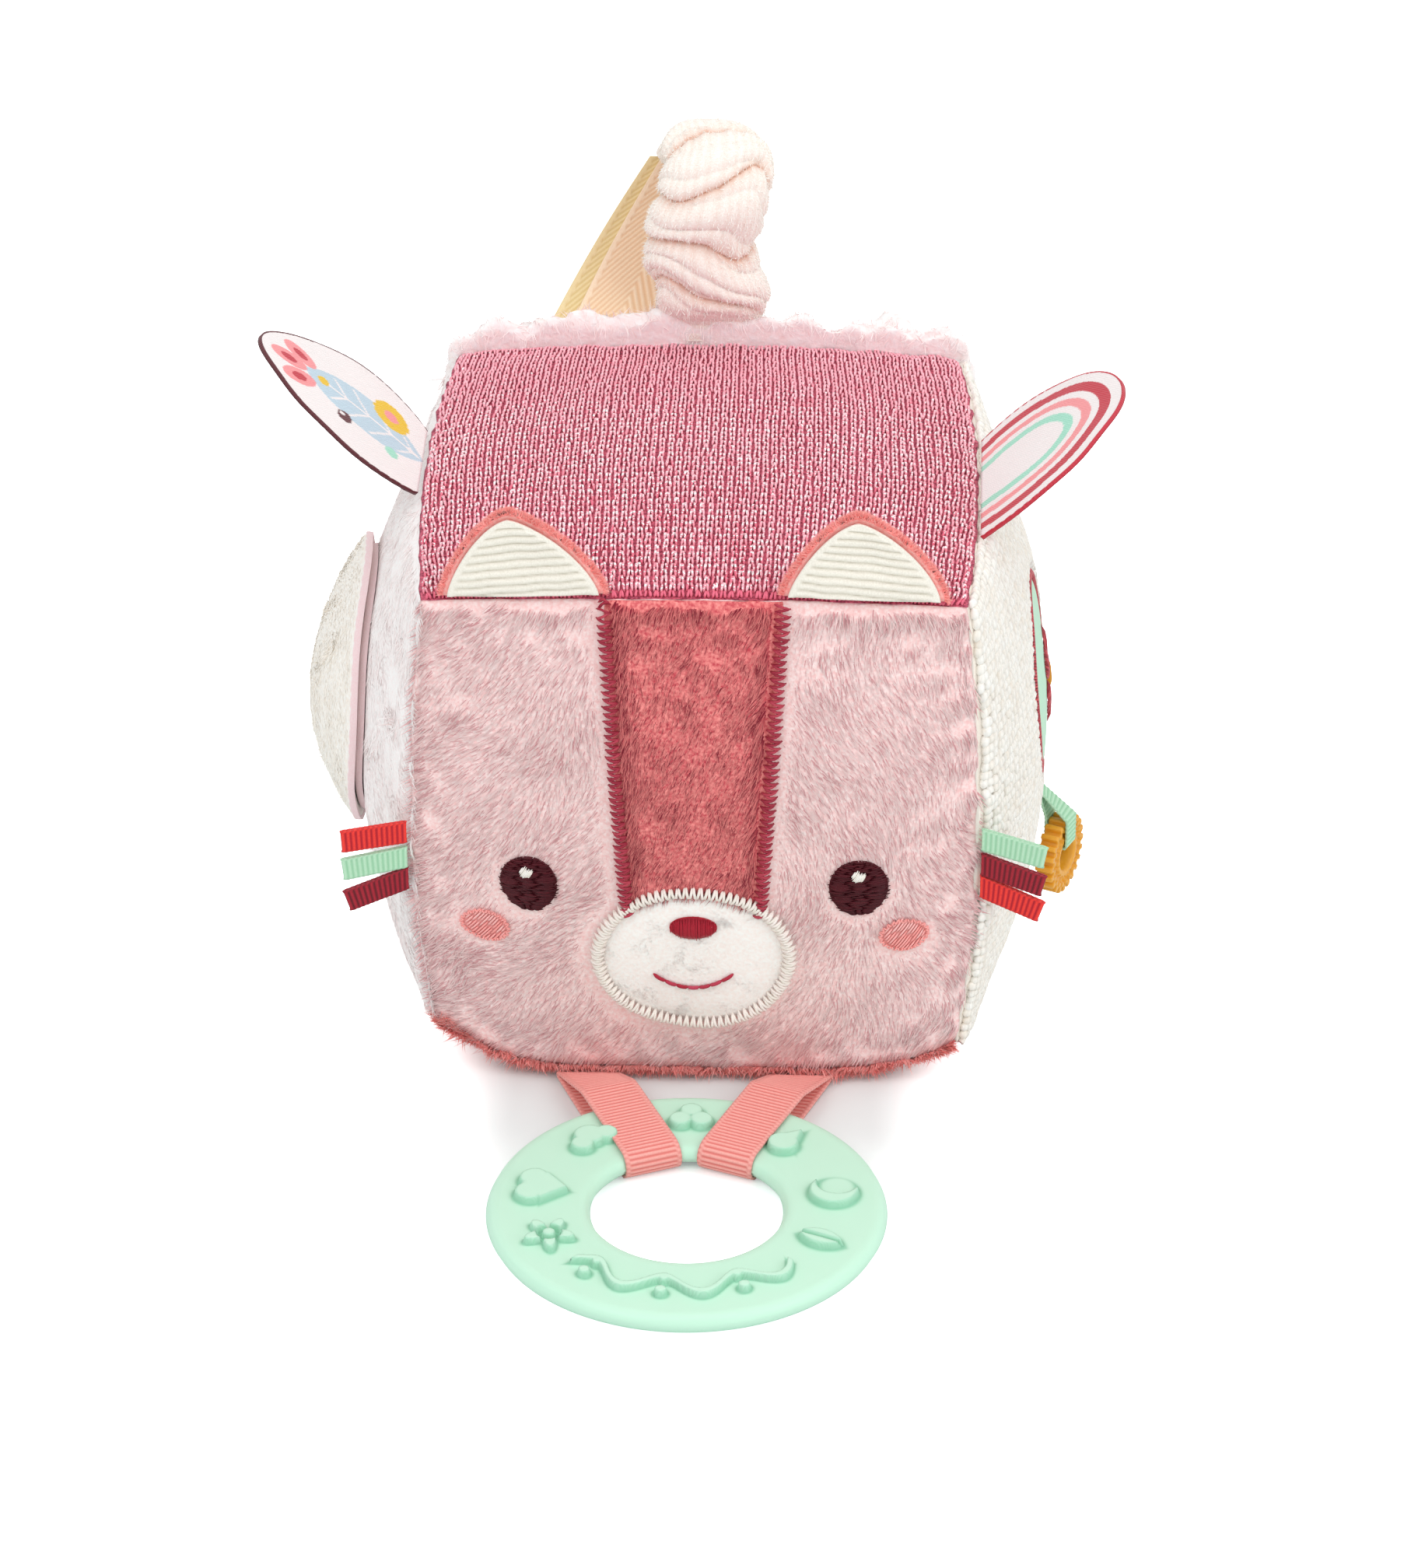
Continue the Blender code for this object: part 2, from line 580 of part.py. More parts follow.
def make_ears():
    """Two ears, each a ribbed front and a plush back sewn together round the rim."""
    ribbed = finish("corduroy, cream", "#F1ECE0", 0.85)
    plush = finish("short pile plush, coral", "#D9606A", 0.9)
    centre = (BODY_WIDTH / 2 - EAR_CORNER_MARGIN - EAR_WIDTH / 2) / (BODY_WIDTH / 2)
    half = EAR_WIDTH / BODY_WIDTH
    edge_half = GAP / 2 + EAR_EDGE
    for side, sign in SIGNS.items():
        ends = [(sign * centre - half, -1, 1), (sign * centre + half, -1, 1)]
        base, along = seam_line(*ends, edge_half + GAP)
        carrier = pivot(f"ear_{side}_pivot", base)
        stance = (base, along, square_up(np.array([0, 0, 1]), along))
        net = (EAR_ROW_SHARES, EAR_CELLS)
        front = (
            lambda u, v: ear_cup(u, v) + GAP / 2,
            lambda u, v: ear_cup(u, v) + GAP / 2 + ear_pad(u, v, EAR_FRONT_THICKNESS),
        )
        back = (
            lambda u, v: ear_cup(u, v) - GAP / 2 - ear_pad(u, v, EAR_BACK_THICKNESS),
            lambda u, v: ear_cup(u, v) - GAP / 2,
        )
        back_height = EAR_HEIGHT + EAR_RIM
        leaf(f"ear_{side}_front", stance, net, ear_outline, EAR_HEIGHT, front, ribbed, carrier)
        leaf(f"ear_{side}_back", stance, net, rim_outline, back_height, back, plush, carrier)


def ear_outline(v, rim=0.0):
    """Half width of an ear at a share of its height: wide at the seam and round at the tip."""
    fullness = (1 - v ** EAR_OUTLINE_POWERS[0]) ** EAR_OUTLINE_POWERS[1]
    return (EAR_WIDTH / 2 + rim) * fullness


def rim_outline(v):
    """Half width of an ear's back, which shows as a rim round its front."""
    return ear_outline(v, EAR_RIM)


def ear_cup(u, v):
    """How far an ear's middle is hollowed."""
    return -EAR_CUP * (1 - u**2) * np.sin(math.pi * v)


def ear_pad(u, v, full):
    """Thickness of an ear's layer, which thins to its edges."""
    rise = np.minimum(1, v / EAR_ROW_SHARES[2]) * (1 - v ** EAR_PAD_POWERS[1])
    return EAR_EDGE + (full - EAR_EDGE) * (1 - u ** EAR_PAD_POWERS[0]) * rise


def make_tag(side, width, reach, belly, place):
    """A woven satin tag that stands in a top side seam and leans out."""
    sign = SIGNS[side]
    half = width / BODY_DEPTH
    ends = [(sign, place - half, 1), (sign, place + half, 1)]
    base, along = seam_line(*ends, TAG_THICKNESS / 2 + GAP)
    carrier = pivot(f"tag_{side}_pivot", base)
    rise = math.radians(TAG_RISE_DEG)
    up = square_up(np.array([sign * math.cos(rise), 0, math.sin(rise)]), along)

    def outline(v):
        fullness = 1 + belly * np.sin(math.pi * v**TAG_BELLY_POWER)
        return width / 2 * fullness * np.sqrt(1 - v**TAG_TIP_POWER)

    faces = (
        lambda u, v: sign * TAG_CURL * v**2 - TAG_THICKNESS / 2,
        lambda u, v: sign * TAG_CURL * v**2 + TAG_THICKNESS / 2,
    )
    satin = finish("woven satin, white", "#F6F0F0", 0.4)
    net = (TAG_ROW_SHARES, TAG_CELLS)
    leaf(f"tag_{side}", (base, along, up), net, outline, reach, faces, satin, carrier)


def make_whiskers():
    """Three short loops of narrow ribbon in each front side seam."""
    colours = {"red": "#F23A33", "mint": "#A9D8B5", "wine": "#9B1B30"}
    for side, sign in SIGNS.items():
        rows = zip(WHISKER_NAMES[side], WHISKER_SEAM_SHARES[side], WHISKER_SLOPES_DEG[side])
        for name, height, slope in rows:
            forward, tilt = math.radians(WHISKER_FORWARD_DEG), math.radians(slope)
            run = np.array(
                [
                    sign * math.cos(forward) * math.cos(tilt),
                    -math.sin(forward) * math.cos(tilt),
                    math.sin(tilt),
                ]
            )
            side_way = np.array([sign * math.sin(forward), math.cos(forward), 0])
            width_way = np.cross(run, side_way)
            stand = GAP / 2 + WHISKER_RIBBON + GAP
            root = puffed([sign, -1, height]) + run * stand
            carrier = pivot(f"whisker_{side}_{name}_pivot", root)
            path = flat_loop(root, run, side_way, WHISKER_REACH, GAP, WHISKER_RIBBON)
            seam_way = np.array([0, 0, np.sign(width_way[2]) / math.cos(tilt)])
            at_root = np.arange(len(path))[:, None] >= len(path) / 2
            across = np.where(at_root, seam_way, width_way) * WHISKER_WIDTH / 2
            ribbon = finish(f"grosgrain ribbon, {name}", colours[name], 0.6)
            strip(f"whisker_{side}_{name}", path, across, WHISKER_RIBBON, ribbon, carrier, closed=True)


def handle_path(steps, start, stop):
    """Middle line of the gathered tube: a straight leg, then a bend backwards.

    start and stop are lengths along it. Returns the places and the outward normals.
    """
    bend = HANDLE_BEND_RADIUS * math.radians(HANDLE_BEND_DEG)
    length = np.linspace(start, HANDLE_LEG + bend - stop, steps + 1)
    angle = np.clip(length - HANDLE_LEG, 0, None) / HANDLE_BEND_RADIUS
    leg = np.minimum(length, HANDLE_LEG)
    y = HANDLE_BEND_RADIUS * (1 - np.cos(angle))
    z = leg + HANDLE_BEND_RADIUS * np.sin(angle)
    places = handle_root() + np.stack([np.zeros_like(y), y, z], axis=-1)
    normals = np.stack([np.zeros_like(y), -np.cos(angle), np.sin(angle)], axis=-1)
    return places, normals, length


def handle_root():
    """The carrying loop's place on the back top seam, where it tilts."""
    stand = HANDLE_ROOT_HALF * math.sin(math.radians(HANDLE_TILT_DEG)) + GAP
    return puffed([0, 1, 1]) + np.array([0, 0, stand])


def make_handle():
    """The gathered tube with its elastic, and the doubled tape that closes the loop."""
    carrier = pivot("handle_pivot", handle_root())
    places, normals, length = handle_path(HANDLE_STEPS, 0, 0)
    sideways = np.array([1.0, 0, 0])
    opening = np.clip(length / HANDLE_ROOT_LENGTH, 0, 1)
    ruffle = np.sin(2 * math.pi * HANDLE_GATHERS * length / length[-1]) * opening
    half_depth = HANDLE_ROOT_HALF + (HANDLE_HALF_DEPTH - HANDLE_ROOT_HALF) * np.sin(opening * math.pi / 2)
    half_depth = half_depth + HANDLE_PUFF * ruffle
    half_width = HANDLE_WIDTH / 2 + HANDLE_PUFF * ruffle / 2
    wall = np.minimum(HANDLE_WALL, half_depth * HANDLE_WALL_LIMIT_SHARE)
    angles = np.linspace(0, 2 * math.pi, HANDLE_ROWS, endpoint=False)
    cos, sin = np.cos(angles), np.sin(angles)
    flat = np.sign(cos) * np.abs(cos) ** HANDLE_FLATNESS_POWER

    def around(width, depth):
        side = (flat[:, None] * width)[..., None] * sideways
        return places + side + (sin[:, None] * depth)[..., None] * normals

    velour = finish("gathered velour, cream", "#FBEDE2", 0.9)
    inner = around(half_width - HANDLE_WALL, half_depth - wall)
    slab("handle_tube", inner, around(half_width, half_depth), velour, carrier, closed=True)
    path, _, _ = handle_path(HANDLE_STEPS, GAP, HANDLE_WALL)
    across = np.broadcast_to(sideways * ELASTIC_WIDTH / 2, path.shape)
    white = finish("flat elastic, white", "#F5F5F2", 0.7)
    strip("handle_elastic", path, across, ELASTIC_THICKNESS, white, carrier)
    make_tapes(carrier)


def make_tapes(carrier):
    """Two layers of cotton tape from the tube's end down to the seam beside the tube."""
    places, _, _ = handle_path(HANDLE_STEPS, 0, 0)
    run = places[-1] - places[-2]
    head = places[-1] + run / np.linalg.norm(run) * GAP * 2
    for name, layer in (("handle_tape_front", 0), ("handle_tape_back", 1)):
        shift = layer * TAPE_LAYER_SHIFT
        back = layer * (TAPE_THICKNESS + GAP)
        root = puffed([-(TAPE_ROOT_SHIFT + shift) / (BODY_WIDTH / 2), 1, 1])
        root[1:] = handle_root()[1:]
        start = head + np.array([-shift / 2 - HANDLE_WALL, back, 0])
        end = root + np.array([0, back, 0])
        share = np.linspace(0, 1, TAPE_STEPS + 1)[:, None]
        path = start + (end - start) * share
        path = path + np.array([0, TAPE_SAG, 0]) * np.sin(math.pi * share)
        slope = math.atan2(abs(end[0] - start[0]), abs(end[2] - start[2]))
        across = np.array([TAPE_WIDTH / 2 / math.cos(slope), 0, 0])
        across = np.broadcast_to(across, path.shape)
        cotton = finish("herringbone cotton tape, beige", "#E8C99A", 0.8)
        strip(name, path, across, TAPE_THICKNESS, cotton, carrier)


def make_mirror():
    """A round mirror in a soft rim, under a padded flap that hangs from its top edge."""
    left = (0, -1)
    centre = from_shares(0, (0, MIRROR_HEIGHT_SHARE))
    silver = finish("mirror foil, silver", "#D9DDE2", 0.08, 1.0)
    size = (2 * MIRROR_RADIUS, 2 * MIRROR_RADIUS)
    oval_patch("mirror_disc", left, centre, size, GAP, MIRROR_THICKNESS, silver)
    rim_inner = MIRROR_RADIUS + GAP
    rim_outer = rim_inner + MIRROR_RIM_WIDTH
    rose = finish("printed cotton, rose", "#E9A3B4", 0.8)
    round_border("mirror_rim", left, centre, rim_inner, rim_outer, GAP, MIRROR_RIM_THICKNESS, rose)
    lift = MIRROR_RIM_THICKNESS + 2 * GAP
    hinge = on_face(0, -1, np.array(centre[0]), np.array(centre[1] + FLAP_RADIUS), np.array(lift))
    carrier = pivot("flap_pivot", hinge)
    cream = finish("short pile plush, cream", "#F8F1E2", 0.9)
    flap_size = (2 * FLAP_RADIUS, 2 * FLAP_RADIUS)

    def dome(radius):
        return FLAP_EDGE + FLAP_DOME * np.clip(1 - radius**2, 0, 1)

    oval_patch("mirror_flap", left, centre, flap_size, lift, dome, cream, carrier)


def make_side_patch():
    """A round appliqué with a stitched border on the right."""
    right = (0, 1)
    centre = from_shares(0, PATCH_PLACE_SHARES)
    mint = finish("cotton patch, mint", "#BFE3D0", 0.8)
    size = (2 * PATCH_RADIUS, 2 * PATCH_RADIUS)
    oval_patch("side_patch", right, centre, size, GAP, STITCH_THICKNESS, mint)
    inner = PATCH_RADIUS + GAP
    outer = inner + PATCH_BORDER
    coral = finish("embroidery, coral", "#F0757A", 0.5)
    round_border("side_patch_border", right, centre, inner, outer, GAP, STITCH_THICKNESS, coral)


def make_gear():
    """A toothed ring that hangs on a ribbon loop against the right side."""
    along, height = from_shares(0, GEAR_PLACE_SHARES)
    clear = GAP * 2
    turn = math.radians(GEAR_TURN_DEG)
    plane_way = np.array([math.sin(turn), math.cos(turn), 0])
    axis_way = np.array([math.cos(turn), -math.sin(turn), 0])
    touch = np.linspace(-1, 1, GEAR_TOUCH_POINTS)
    rim_y = along + touch * GEAR_RADIUS
    top = height + GEAR_RADIUS
    surface = on_face(0, 1, rim_y, np.full_like(rim_y, top), np.full_like(rim_y, clear))
    reach = GEAR_THICKNESS / 2 * math.cos(turn) + GEAR_RADIUS * math.sin(turn)
    centre = np.array([surface[:, 0].max() + reach, along, height])
    root_z = height + GEAR_RADIUS + GEAR_RIBBON_LENGTH
    root_lift = GAP + gear_root_radius() + GEAR_RIBBON / 2
    root = on_face(0, 1, np.array(along), np.array(root_z), np.array(root_lift))
    swing = pivot("gear_ribbon_pivot", root)
    spin = pivot("toothed_ring_pivot", centre)
    angles = np.linspace(0, 2 * math.pi, 4 * GEAR_TEETH, endpoint=False)
    tooth = np.tile([0, 1, 1, 0], GEAR_TEETH)
    radial = np.outer(np.cos(angles), plane_way) + np.outer(np.sin(angles), [0, 0, 1])
    outer = GEAR_RADIUS - GEAR_TOOTH + GEAR_TOOTH * tooth
    sides = np.array([-1, 1])[None, :, None] * axis_way * GEAR_THICKNESS / 2
    low = centre + (radial * GEAR_HOLE_RADIUS)[:, None] + sides
    high = centre + (radial * outer[:, None])[:, None] + sides
    mustard = finish("moulded plastic, mustard", "#DFA32A", 0.35)
    slab("toothed_ring", low, high, mustard, spin, closed=True)
    make_gear_ribbon(root, centre, axis_way, plane_way, swing)


def gear_root_radius():
    """Radius of the fold at the toothed ring's ribbon root, at the ribbon's middle line."""
    return (GAP + GEAR_RIBBON) / 2


def make_gear_ribbon(root, centre, axis_way, plane_way, carrier):
    """The ribbon loop round the toothed ring's upper rim, which narrows to its root."""
    hold = GEAR_THICKNESS / 2 + GAP + GEAR_RIBBON / 2
    half_width = GEAR_RIBBON_WIDTH / 2
    floor = math.sqrt(GEAR_HOLE_RADIUS**2 - half_width**2) - GAP - GEAR_RIBBON / 2
    corner = GAP + GEAR_RIBBON
    neck = gear_root_radius()
    root_across = np.array([0, half_width, 0])
    ring_across = plane_way * half_width
    turn = np.linspace(0, math.pi, FOLD_POINTS)
    path = [root + neck * np.array([math.cos(a), 0, math.sin(a)]) for a in turn]
    across = [root_across] * len(turn)
    quarter = np.linspace(0, math.pi / 2, QUARTER_POINTS)
    near = [(-hold, GEAR_RADIUS + GAP)]
    near += [(-hold + corner - corner * math.cos(a), floor + corner - corner * math.sin(a)) for a in quarter]
    for way, height in near + [(-way, height) for way, height in near[::-1]]:
        path.append(centre + axis_way * way + np.array([0, 0, height]))
        across.append(ring_across)
    mint = finish("grosgrain ribbon, mint", "#A9D8B5", 0.6)
    strip("gear_ribbon", np.array(path), np.array(across), GEAR_RIBBON, mint, carrier, closed=True)


def ring_centre():
    """Middle of the teething ring, which lies on its ribbons in front of the block."""
    seam = puffed([0, -1, -1])
    return np.array([0, seam[1] - RING_REACH, RIBBON_THICKNESS + GAP + RING_THICKNESS / 2])


def ribbon_root():
    """Place on the front bottom seam about which the ribbons and the ring swing."""
    seam = puffed([0, -1, -1])
    outer = GAP / 2 + RIBBON_THICKNESS
    return np.array([0, seam[1] - outer - GAP, seam[2] - EDGE_LIFT / 4])


def make_teether():
    """The silicone ring and the two ribbon loops that hold it."""
    swing = pivot("ring_ribbon_pivot", ribbon_root())
    spin = pivot("teether_ring_pivot", ring_centre())
    edge = RING_THICKNESS / 2
    arc = np.linspace(-math.pi / 2, math.pi / 2, 2 * RING_EDGE_STEPS + 1)
    outer = [(RING_RADIUS - edge + edge * math.cos(a), edge * math.sin(a)) for a in arc]
    inner = [(RING_HOLE_RADIUS + edge - edge * math.cos(a), -edge * math.sin(a)) for a in arc]
    mint = finish("silicone, mint", "#B5E8CF", 0.45)
    lathe("teether_ring", outer + inner, RING_STEPS, mint, ring_centre(), spin)
    for side, sign in SIGNS.items():
        make_ring_ribbon(side, sign, swing)


def make_ring_ribbon(side, sign, carrier):
    """A ribbon loop that runs along a radius of the ring, over it, through its hole and back under it."""
    angle = math.radians(RIBBON_ANGLE_DEG)
    outward = np.array([sign * math.sin(angle), math.cos(angle), 0])
    square = np.array([math.cos(angle), -sign * math.sin(angle), 0])
    centre, root = ring_centre(), ribbon_root()
    sag = RING_HOLE_RADIUS - math.sqrt(RING_HOLE_RADIUS**2 - (RIBBON_WIDTH / 2) ** 2)
    wrap = RING_THICKNESS / 2 + GAP + RIBBON_THICKNESS / 2
    bend = RING_HOLE_RADIUS - sag + RING_THICKNESS / 2
    root_reach = (root[1] - centre[1]) / math.cos(angle)
    neck = (GAP + RIBBON_THICKNESS) / 2
    turn = np.linspace(math.pi / 2, -math.pi / 2, FOLD_POINTS)
    root_turn = np.linspace(-math.pi / 2, math.pi / 2, FOLD_POINTS)
    middle = root[2] - centre[2]
    skew = np.array([1 / math.cos(angle), 0, 0])
    rows = [(root_reach + neck * math.cos(a), middle + neck * math.sin(a), skew) for a in root_turn]
    rows.append((RING_RADIUS + RING_THICKNESS, wrap, square))
    rows.append((RING_RADIUS - RING_THICKNESS / 2, wrap, square))
    rows.append(((RING_RADIUS + bend) / 2, wrap, square))
    rows += [(bend - wrap * math.cos(a), wrap * math.sin(a), square) for a in turn]
    rows.append(((RING_RADIUS + bend) / 2, -wrap, square))
    rows.append((RING_RADIUS, -wrap, square))
    path = np.array([centre + outward * r + np.array([0, 0, z]) for r, z, _ in rows])
    across = np.array([way * RIBBON_WIDTH / 2 for _, _, way in rows])
    coral = finish("grosgrain ribbon, coral", "#F27C7C", 0.6)
    strip(f"ring_ribbon_{side}", path, across, RIBBON_THICKNESS, coral, carrier, closed=True)


def main():
    """Builds every piece of the block."""
    clear_scene()
    make_panels()
    make_filling()
    make_rattle()
    make_stripe()
    make_face()
    make_ears()
    make_tag("left", LEFT_TAG_WIDTH, LEFT_TAG_REACH, LEFT_TAG_BELLY_SHARE, LEFT_TAG_PLACE_SHARE)
    make_tag("right", RIGHT_TAG_WIDTH, RIGHT_TAG_REACH, RIGHT_TAG_BELLY_SHARE, RIGHT_TAG_PLACE_SHARE)
    make_whiskers()
    make_handle()
    make_mirror()
    make_side_patch()
    make_gear()
    make_teether()


main()
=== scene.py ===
"""Looks of a stuffed fabric activity cube for a baby: plush, knit, fur, ribbons and a silicone ring.

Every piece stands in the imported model's frame, in metres, with +Z up and the face towards -Y.
"""

import logging
import math
from dataclasses import dataclass, field
from enum import Enum
from typing import Callable, Optional, Sequence, Union

import bpy
import numpy as np
from bpy.types import ID, Material, Node, NodeSocket, Object, World
from mathutils import Matrix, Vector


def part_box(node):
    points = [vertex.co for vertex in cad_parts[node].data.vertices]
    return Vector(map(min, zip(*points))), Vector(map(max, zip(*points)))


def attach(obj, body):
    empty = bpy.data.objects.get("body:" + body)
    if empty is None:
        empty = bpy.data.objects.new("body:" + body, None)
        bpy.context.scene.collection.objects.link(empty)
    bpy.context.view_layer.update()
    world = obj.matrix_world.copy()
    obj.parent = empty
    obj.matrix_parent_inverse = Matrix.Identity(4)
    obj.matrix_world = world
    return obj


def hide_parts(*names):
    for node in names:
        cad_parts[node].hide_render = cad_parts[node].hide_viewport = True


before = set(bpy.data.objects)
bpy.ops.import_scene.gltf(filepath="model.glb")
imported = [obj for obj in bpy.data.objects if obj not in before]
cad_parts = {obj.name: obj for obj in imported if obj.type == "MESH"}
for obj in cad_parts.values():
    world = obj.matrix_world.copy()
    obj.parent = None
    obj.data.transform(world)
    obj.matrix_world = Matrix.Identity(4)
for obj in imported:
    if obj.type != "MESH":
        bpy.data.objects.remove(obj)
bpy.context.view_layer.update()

MM = 0.001
TURN = 2 * math.pi
LOG = logging.getLogger("block")
Array = np.ndarray
Lift = Union[float, Array]
Owner = Union[Material, World]
Setting = Union[str, float, bool]


class Side(Enum):
    """The two halves of the block, by the sign of X."""

    LEFT = -1
    RIGHT = 1

    @property
    def label(self) -> str:
        """The word that piece names use."""
        return self.name.lower()


class Colour(Enum):
    """sRGB colours of the cloths and plastics."""

    # Each pile's ROOT colour is the painted shade deep between its tufts, which its ground cloth also takes; some ROOT
    # colours also tint thread.
    PINK_TIP = "#FFE8E6"
    PINK_ROOT = "#F7C6C4"
    PINK_SHADE = "#DD9DA1"
    CORAL_TIP = "#FF9994"
    CORAL_ROOT = "#C8414E"
    CORAL_SHADE = "#8A1A30"
    EAR_TIP = "#FFC4BD"
    EAR_ROOT = "#FF9A94"
    WHITE_TIP = "#FFFCF9"
    WHITE_ROOT = "#FCF0EB"
    WHITE_SHADE = "#FBEEE9"
    BLUSH_TIP = "#FFFEFD"
    BLUSH_ROOT = "#FCF2F1"
    BLUSH_SHADE = "#F6E6E5"
    CREAM_TIP = "#FFFEFA"
    CREAM_ROOT = "#FAF2E8"
    CREAM_SHADE = "#F8F0E5"
    FUR_TIP = "#FFFFFF"
    FUR_ROOT = "#FFF3F1"
    FUR_SHADE = "#FFEBE9"
    KNIT_LIGHT = "#FFBECA"
    KNIT_DEEP = "#EC6F88"
    KNIT_SHADOW = "#7C1A3A"
    SILVER = "#FFFEFE"
    STRIPE_THREAD = "#CB4F60"
    STRIPE_THREAD_DEEP = "#8E1B33"
    CREAM_THREAD = "#F3ECE0"
    EYE_THREAD = "#34060F"
    WHITE_THREAD = "#FDFBF8"
    ROSE_THREAD = "#FFCCC9"
    CRIMSON_THREAD = "#A8122A"
    SMILE_THREAD = "#D0506A"
    # The VALLEY, CREASE and FOOT colours below are painted shade in the hollows of ribs, folds and motifs.
    CORDUROY = "#FBF6EB"
    CORDUROY_VALLEY_SHADE = "#BDB29C"
    VELOUR = "#FFFEF8"
    VELOUR_CREASE_SHADE = "#DDA386"
    TAPE = "#F0DCAE"
    TAPE_VALLEY_SHADE = "#DCC084"
    SATIN_WHITE = "#FBF6F5"
    SATIN_RED = "#C9263C"
    SATIN_PINK = "#FB9C9F"
    SATIN_MINT = "#A6E8D0"
    SATIN_BLUE = "#C3DCEA"
    SATIN_YELLOW = "#F2C81E"
    SATIN_DARK = "#5A1420"
    RED = "#FF4338"
    MINT = "#C3EACB"
    MINT_VALLEY_SHADE = "#9ACFA9"
    WINE = "#B22436"
    CORAL_RIBBON = "#FFB9B0"
    CORAL_RIBBON_VALLEY_SHADE = "#E0736D"
    VELOUR_TAPE = "#FDE6CA"
    VELOUR_TAPE_VALLEY_SHADE = "#EBC197"
    SILICONE = "#C8F2DA"
    SILICONE_FOOT_SHADE = "#8FCFAE"
    MUSTARD = "#EBA52A"
    MINT_COTTON = "#BFE3D0"
    ROSE_COTTON = "#F8DADD"
    CORAL_THREAD = "#EE6B70"
    FILLING = "#F4F2EE"
    POLYPROPYLENE = "#F2F2F2"
    BEAD = "#C98A2B"
    ELASTIC = "#F5F5F2"
    FOIL = "#E3E6EA"

    @property
    def linear(self) -> tuple[float, float, float, float]:
        """The colour as linear red, green, blue and alpha."""
        channels = [int(self.value[i : i + 2], 16) / 255 for i in (1, 3, 5)]
        bent = [((c + 0.055) / 1.055) ** 2.4 if c > 0.04045 else c / 12.92 for c in channels]
        return (bent[0], bent[1], bent[2], 1.0)


# Materials


def new_material(name: str, **values: float) -> tuple[Material, Node]:
    """Starts a material.

    Args:
        name: what the real material is.
        values: Principled sockets that are the same all over, with _ for a space.
    Returns:
        The material and its Principled node.
    """
    material = bpy.data.materials.new(name)
    material.use_nodes = True
    shader = material.node_tree.nodes["Principled BSDF"]
    for socket, value in values.items():
        shader.inputs[socket.replace("_", " ")].default_value = value
    return material, shader


def plug(owner: Owner, node: Node, inputs: dict) -> None:
    """Gives a node's inputs their values, or links them to the outputs of other nodes.

    Args:
        owner: the material or world of the node.
        node: the node.
        inputs: socket name or number to a value or to an output.
    """
    for key, value in inputs.items():
        if isinstance(value, NodeSocket):
            owner.node_tree.links.new(value, node.inputs[key])
        else:
            node.inputs[key].default_value = value


def add_node(
    owner: Owner, kind: str, inputs: dict, output: Union[int, str] = 0, **settings: Setting
) -> NodeSocket:
    """Adds one node with its settings and links.

    Args:
        owner: the material or world that gets it.
        kind: the node's type.
        inputs: socket name or number to a value, or to another node's output.
        output: name or number of the output that is wanted.
        settings: the node's own properties.
    Returns:
        That output.
    """
    node = owner.node_tree.nodes.new(kind)
    for key, value in settings.items():
        setattr(node, key, value)
    plug(owner, node, inputs)
    return node.outputs[output]


def grain(material: Material, pitch: float, detail: float = 2.0) -> NodeSocket:
    """Noise in the piece's own metres, whose grains are about pitch wide."""
    place = add_node(material, "ShaderNodeTexCoord", {}, "Object")
    return add_node(material, "ShaderNodeTexNoise", {"Vector": place, "Scale": 1 / pitch, "Detail": detail}, "Fac")


def twill_lines(material: Material, way: Sequence[float], pitch: float) -> NodeSocket:
    """Waves of -1 to 1 across the weave attribute's metres: the sine of a place's length along a way.

    Args:
        material: the material.
        way: the direction in which the waves follow each other.
        pitch: the length of one wave.
    Returns:
        The wave's output.
    """
    weave = add_node(material, "ShaderNodeAttribute", {}, "Vector", attribute_name="weave")
    inputs = {0: weave, 1: [c * TURN / pitch for c in way]}
    phase = add_node(material, "ShaderNodeVectorMath", inputs, "Value", operation="DOT_PRODUCT")
    return add_node(material, "ShaderNodeMath", {0: phase}, operation="SINE")


def raise_by(material: Material, shader: Node, height: NodeSocket, depth: float) -> None:
    """Gives the surface a relief of a depth in metres from a height of 0 to 1."""
    inputs = {"Height": height, "Distance": depth, "Strength": 1.0}
    plug(material, shader, {"Normal": add_node(material, "ShaderNodeBump", inputs, "Normal")})


@dataclass(frozen=True)
class PileFinish:
    """Cut pile of fine polyester hair with a soft bloom: painted shade deep between the tufts, pale at their tips."""

    name: str
    tip: Colour
    root: Colour
    shade: Colour
    sheen: float = 0.12

    def material(self) -> Material:
        """The pile's material: painted shade by how far along each hair a place is, and its lock's tone."""
        material, shader = new_material(self.name, Roughness=0.75, Sheen_Weight=self.sheen, Sheen_Roughness=0.5)
        tip = add_node(material, "ShaderNodeAttribute", {}, "Fac", attribute_name="tip")
        tone = add_node(material, "ShaderNodeAttribute", {}, "Fac", attribute_name="tone")
        # painted shade: the root colour deep in the pile, the tip colour at the tufts' ends
        depth = add_node(
            material, "ShaderNodeMix", {0: tip, 6: self.root.linear, 7: self.tip.linear}, 2, data_type="RGBA"
        )
        colour = add_node(material, "ShaderNodeMix", {0: tone, 6: depth, 7: self.shade.linear}, 2, data_type="RGBA")
        plug(material, shader, {"Specular IOR Level": 0.25, "Base Color": colour})
        return material


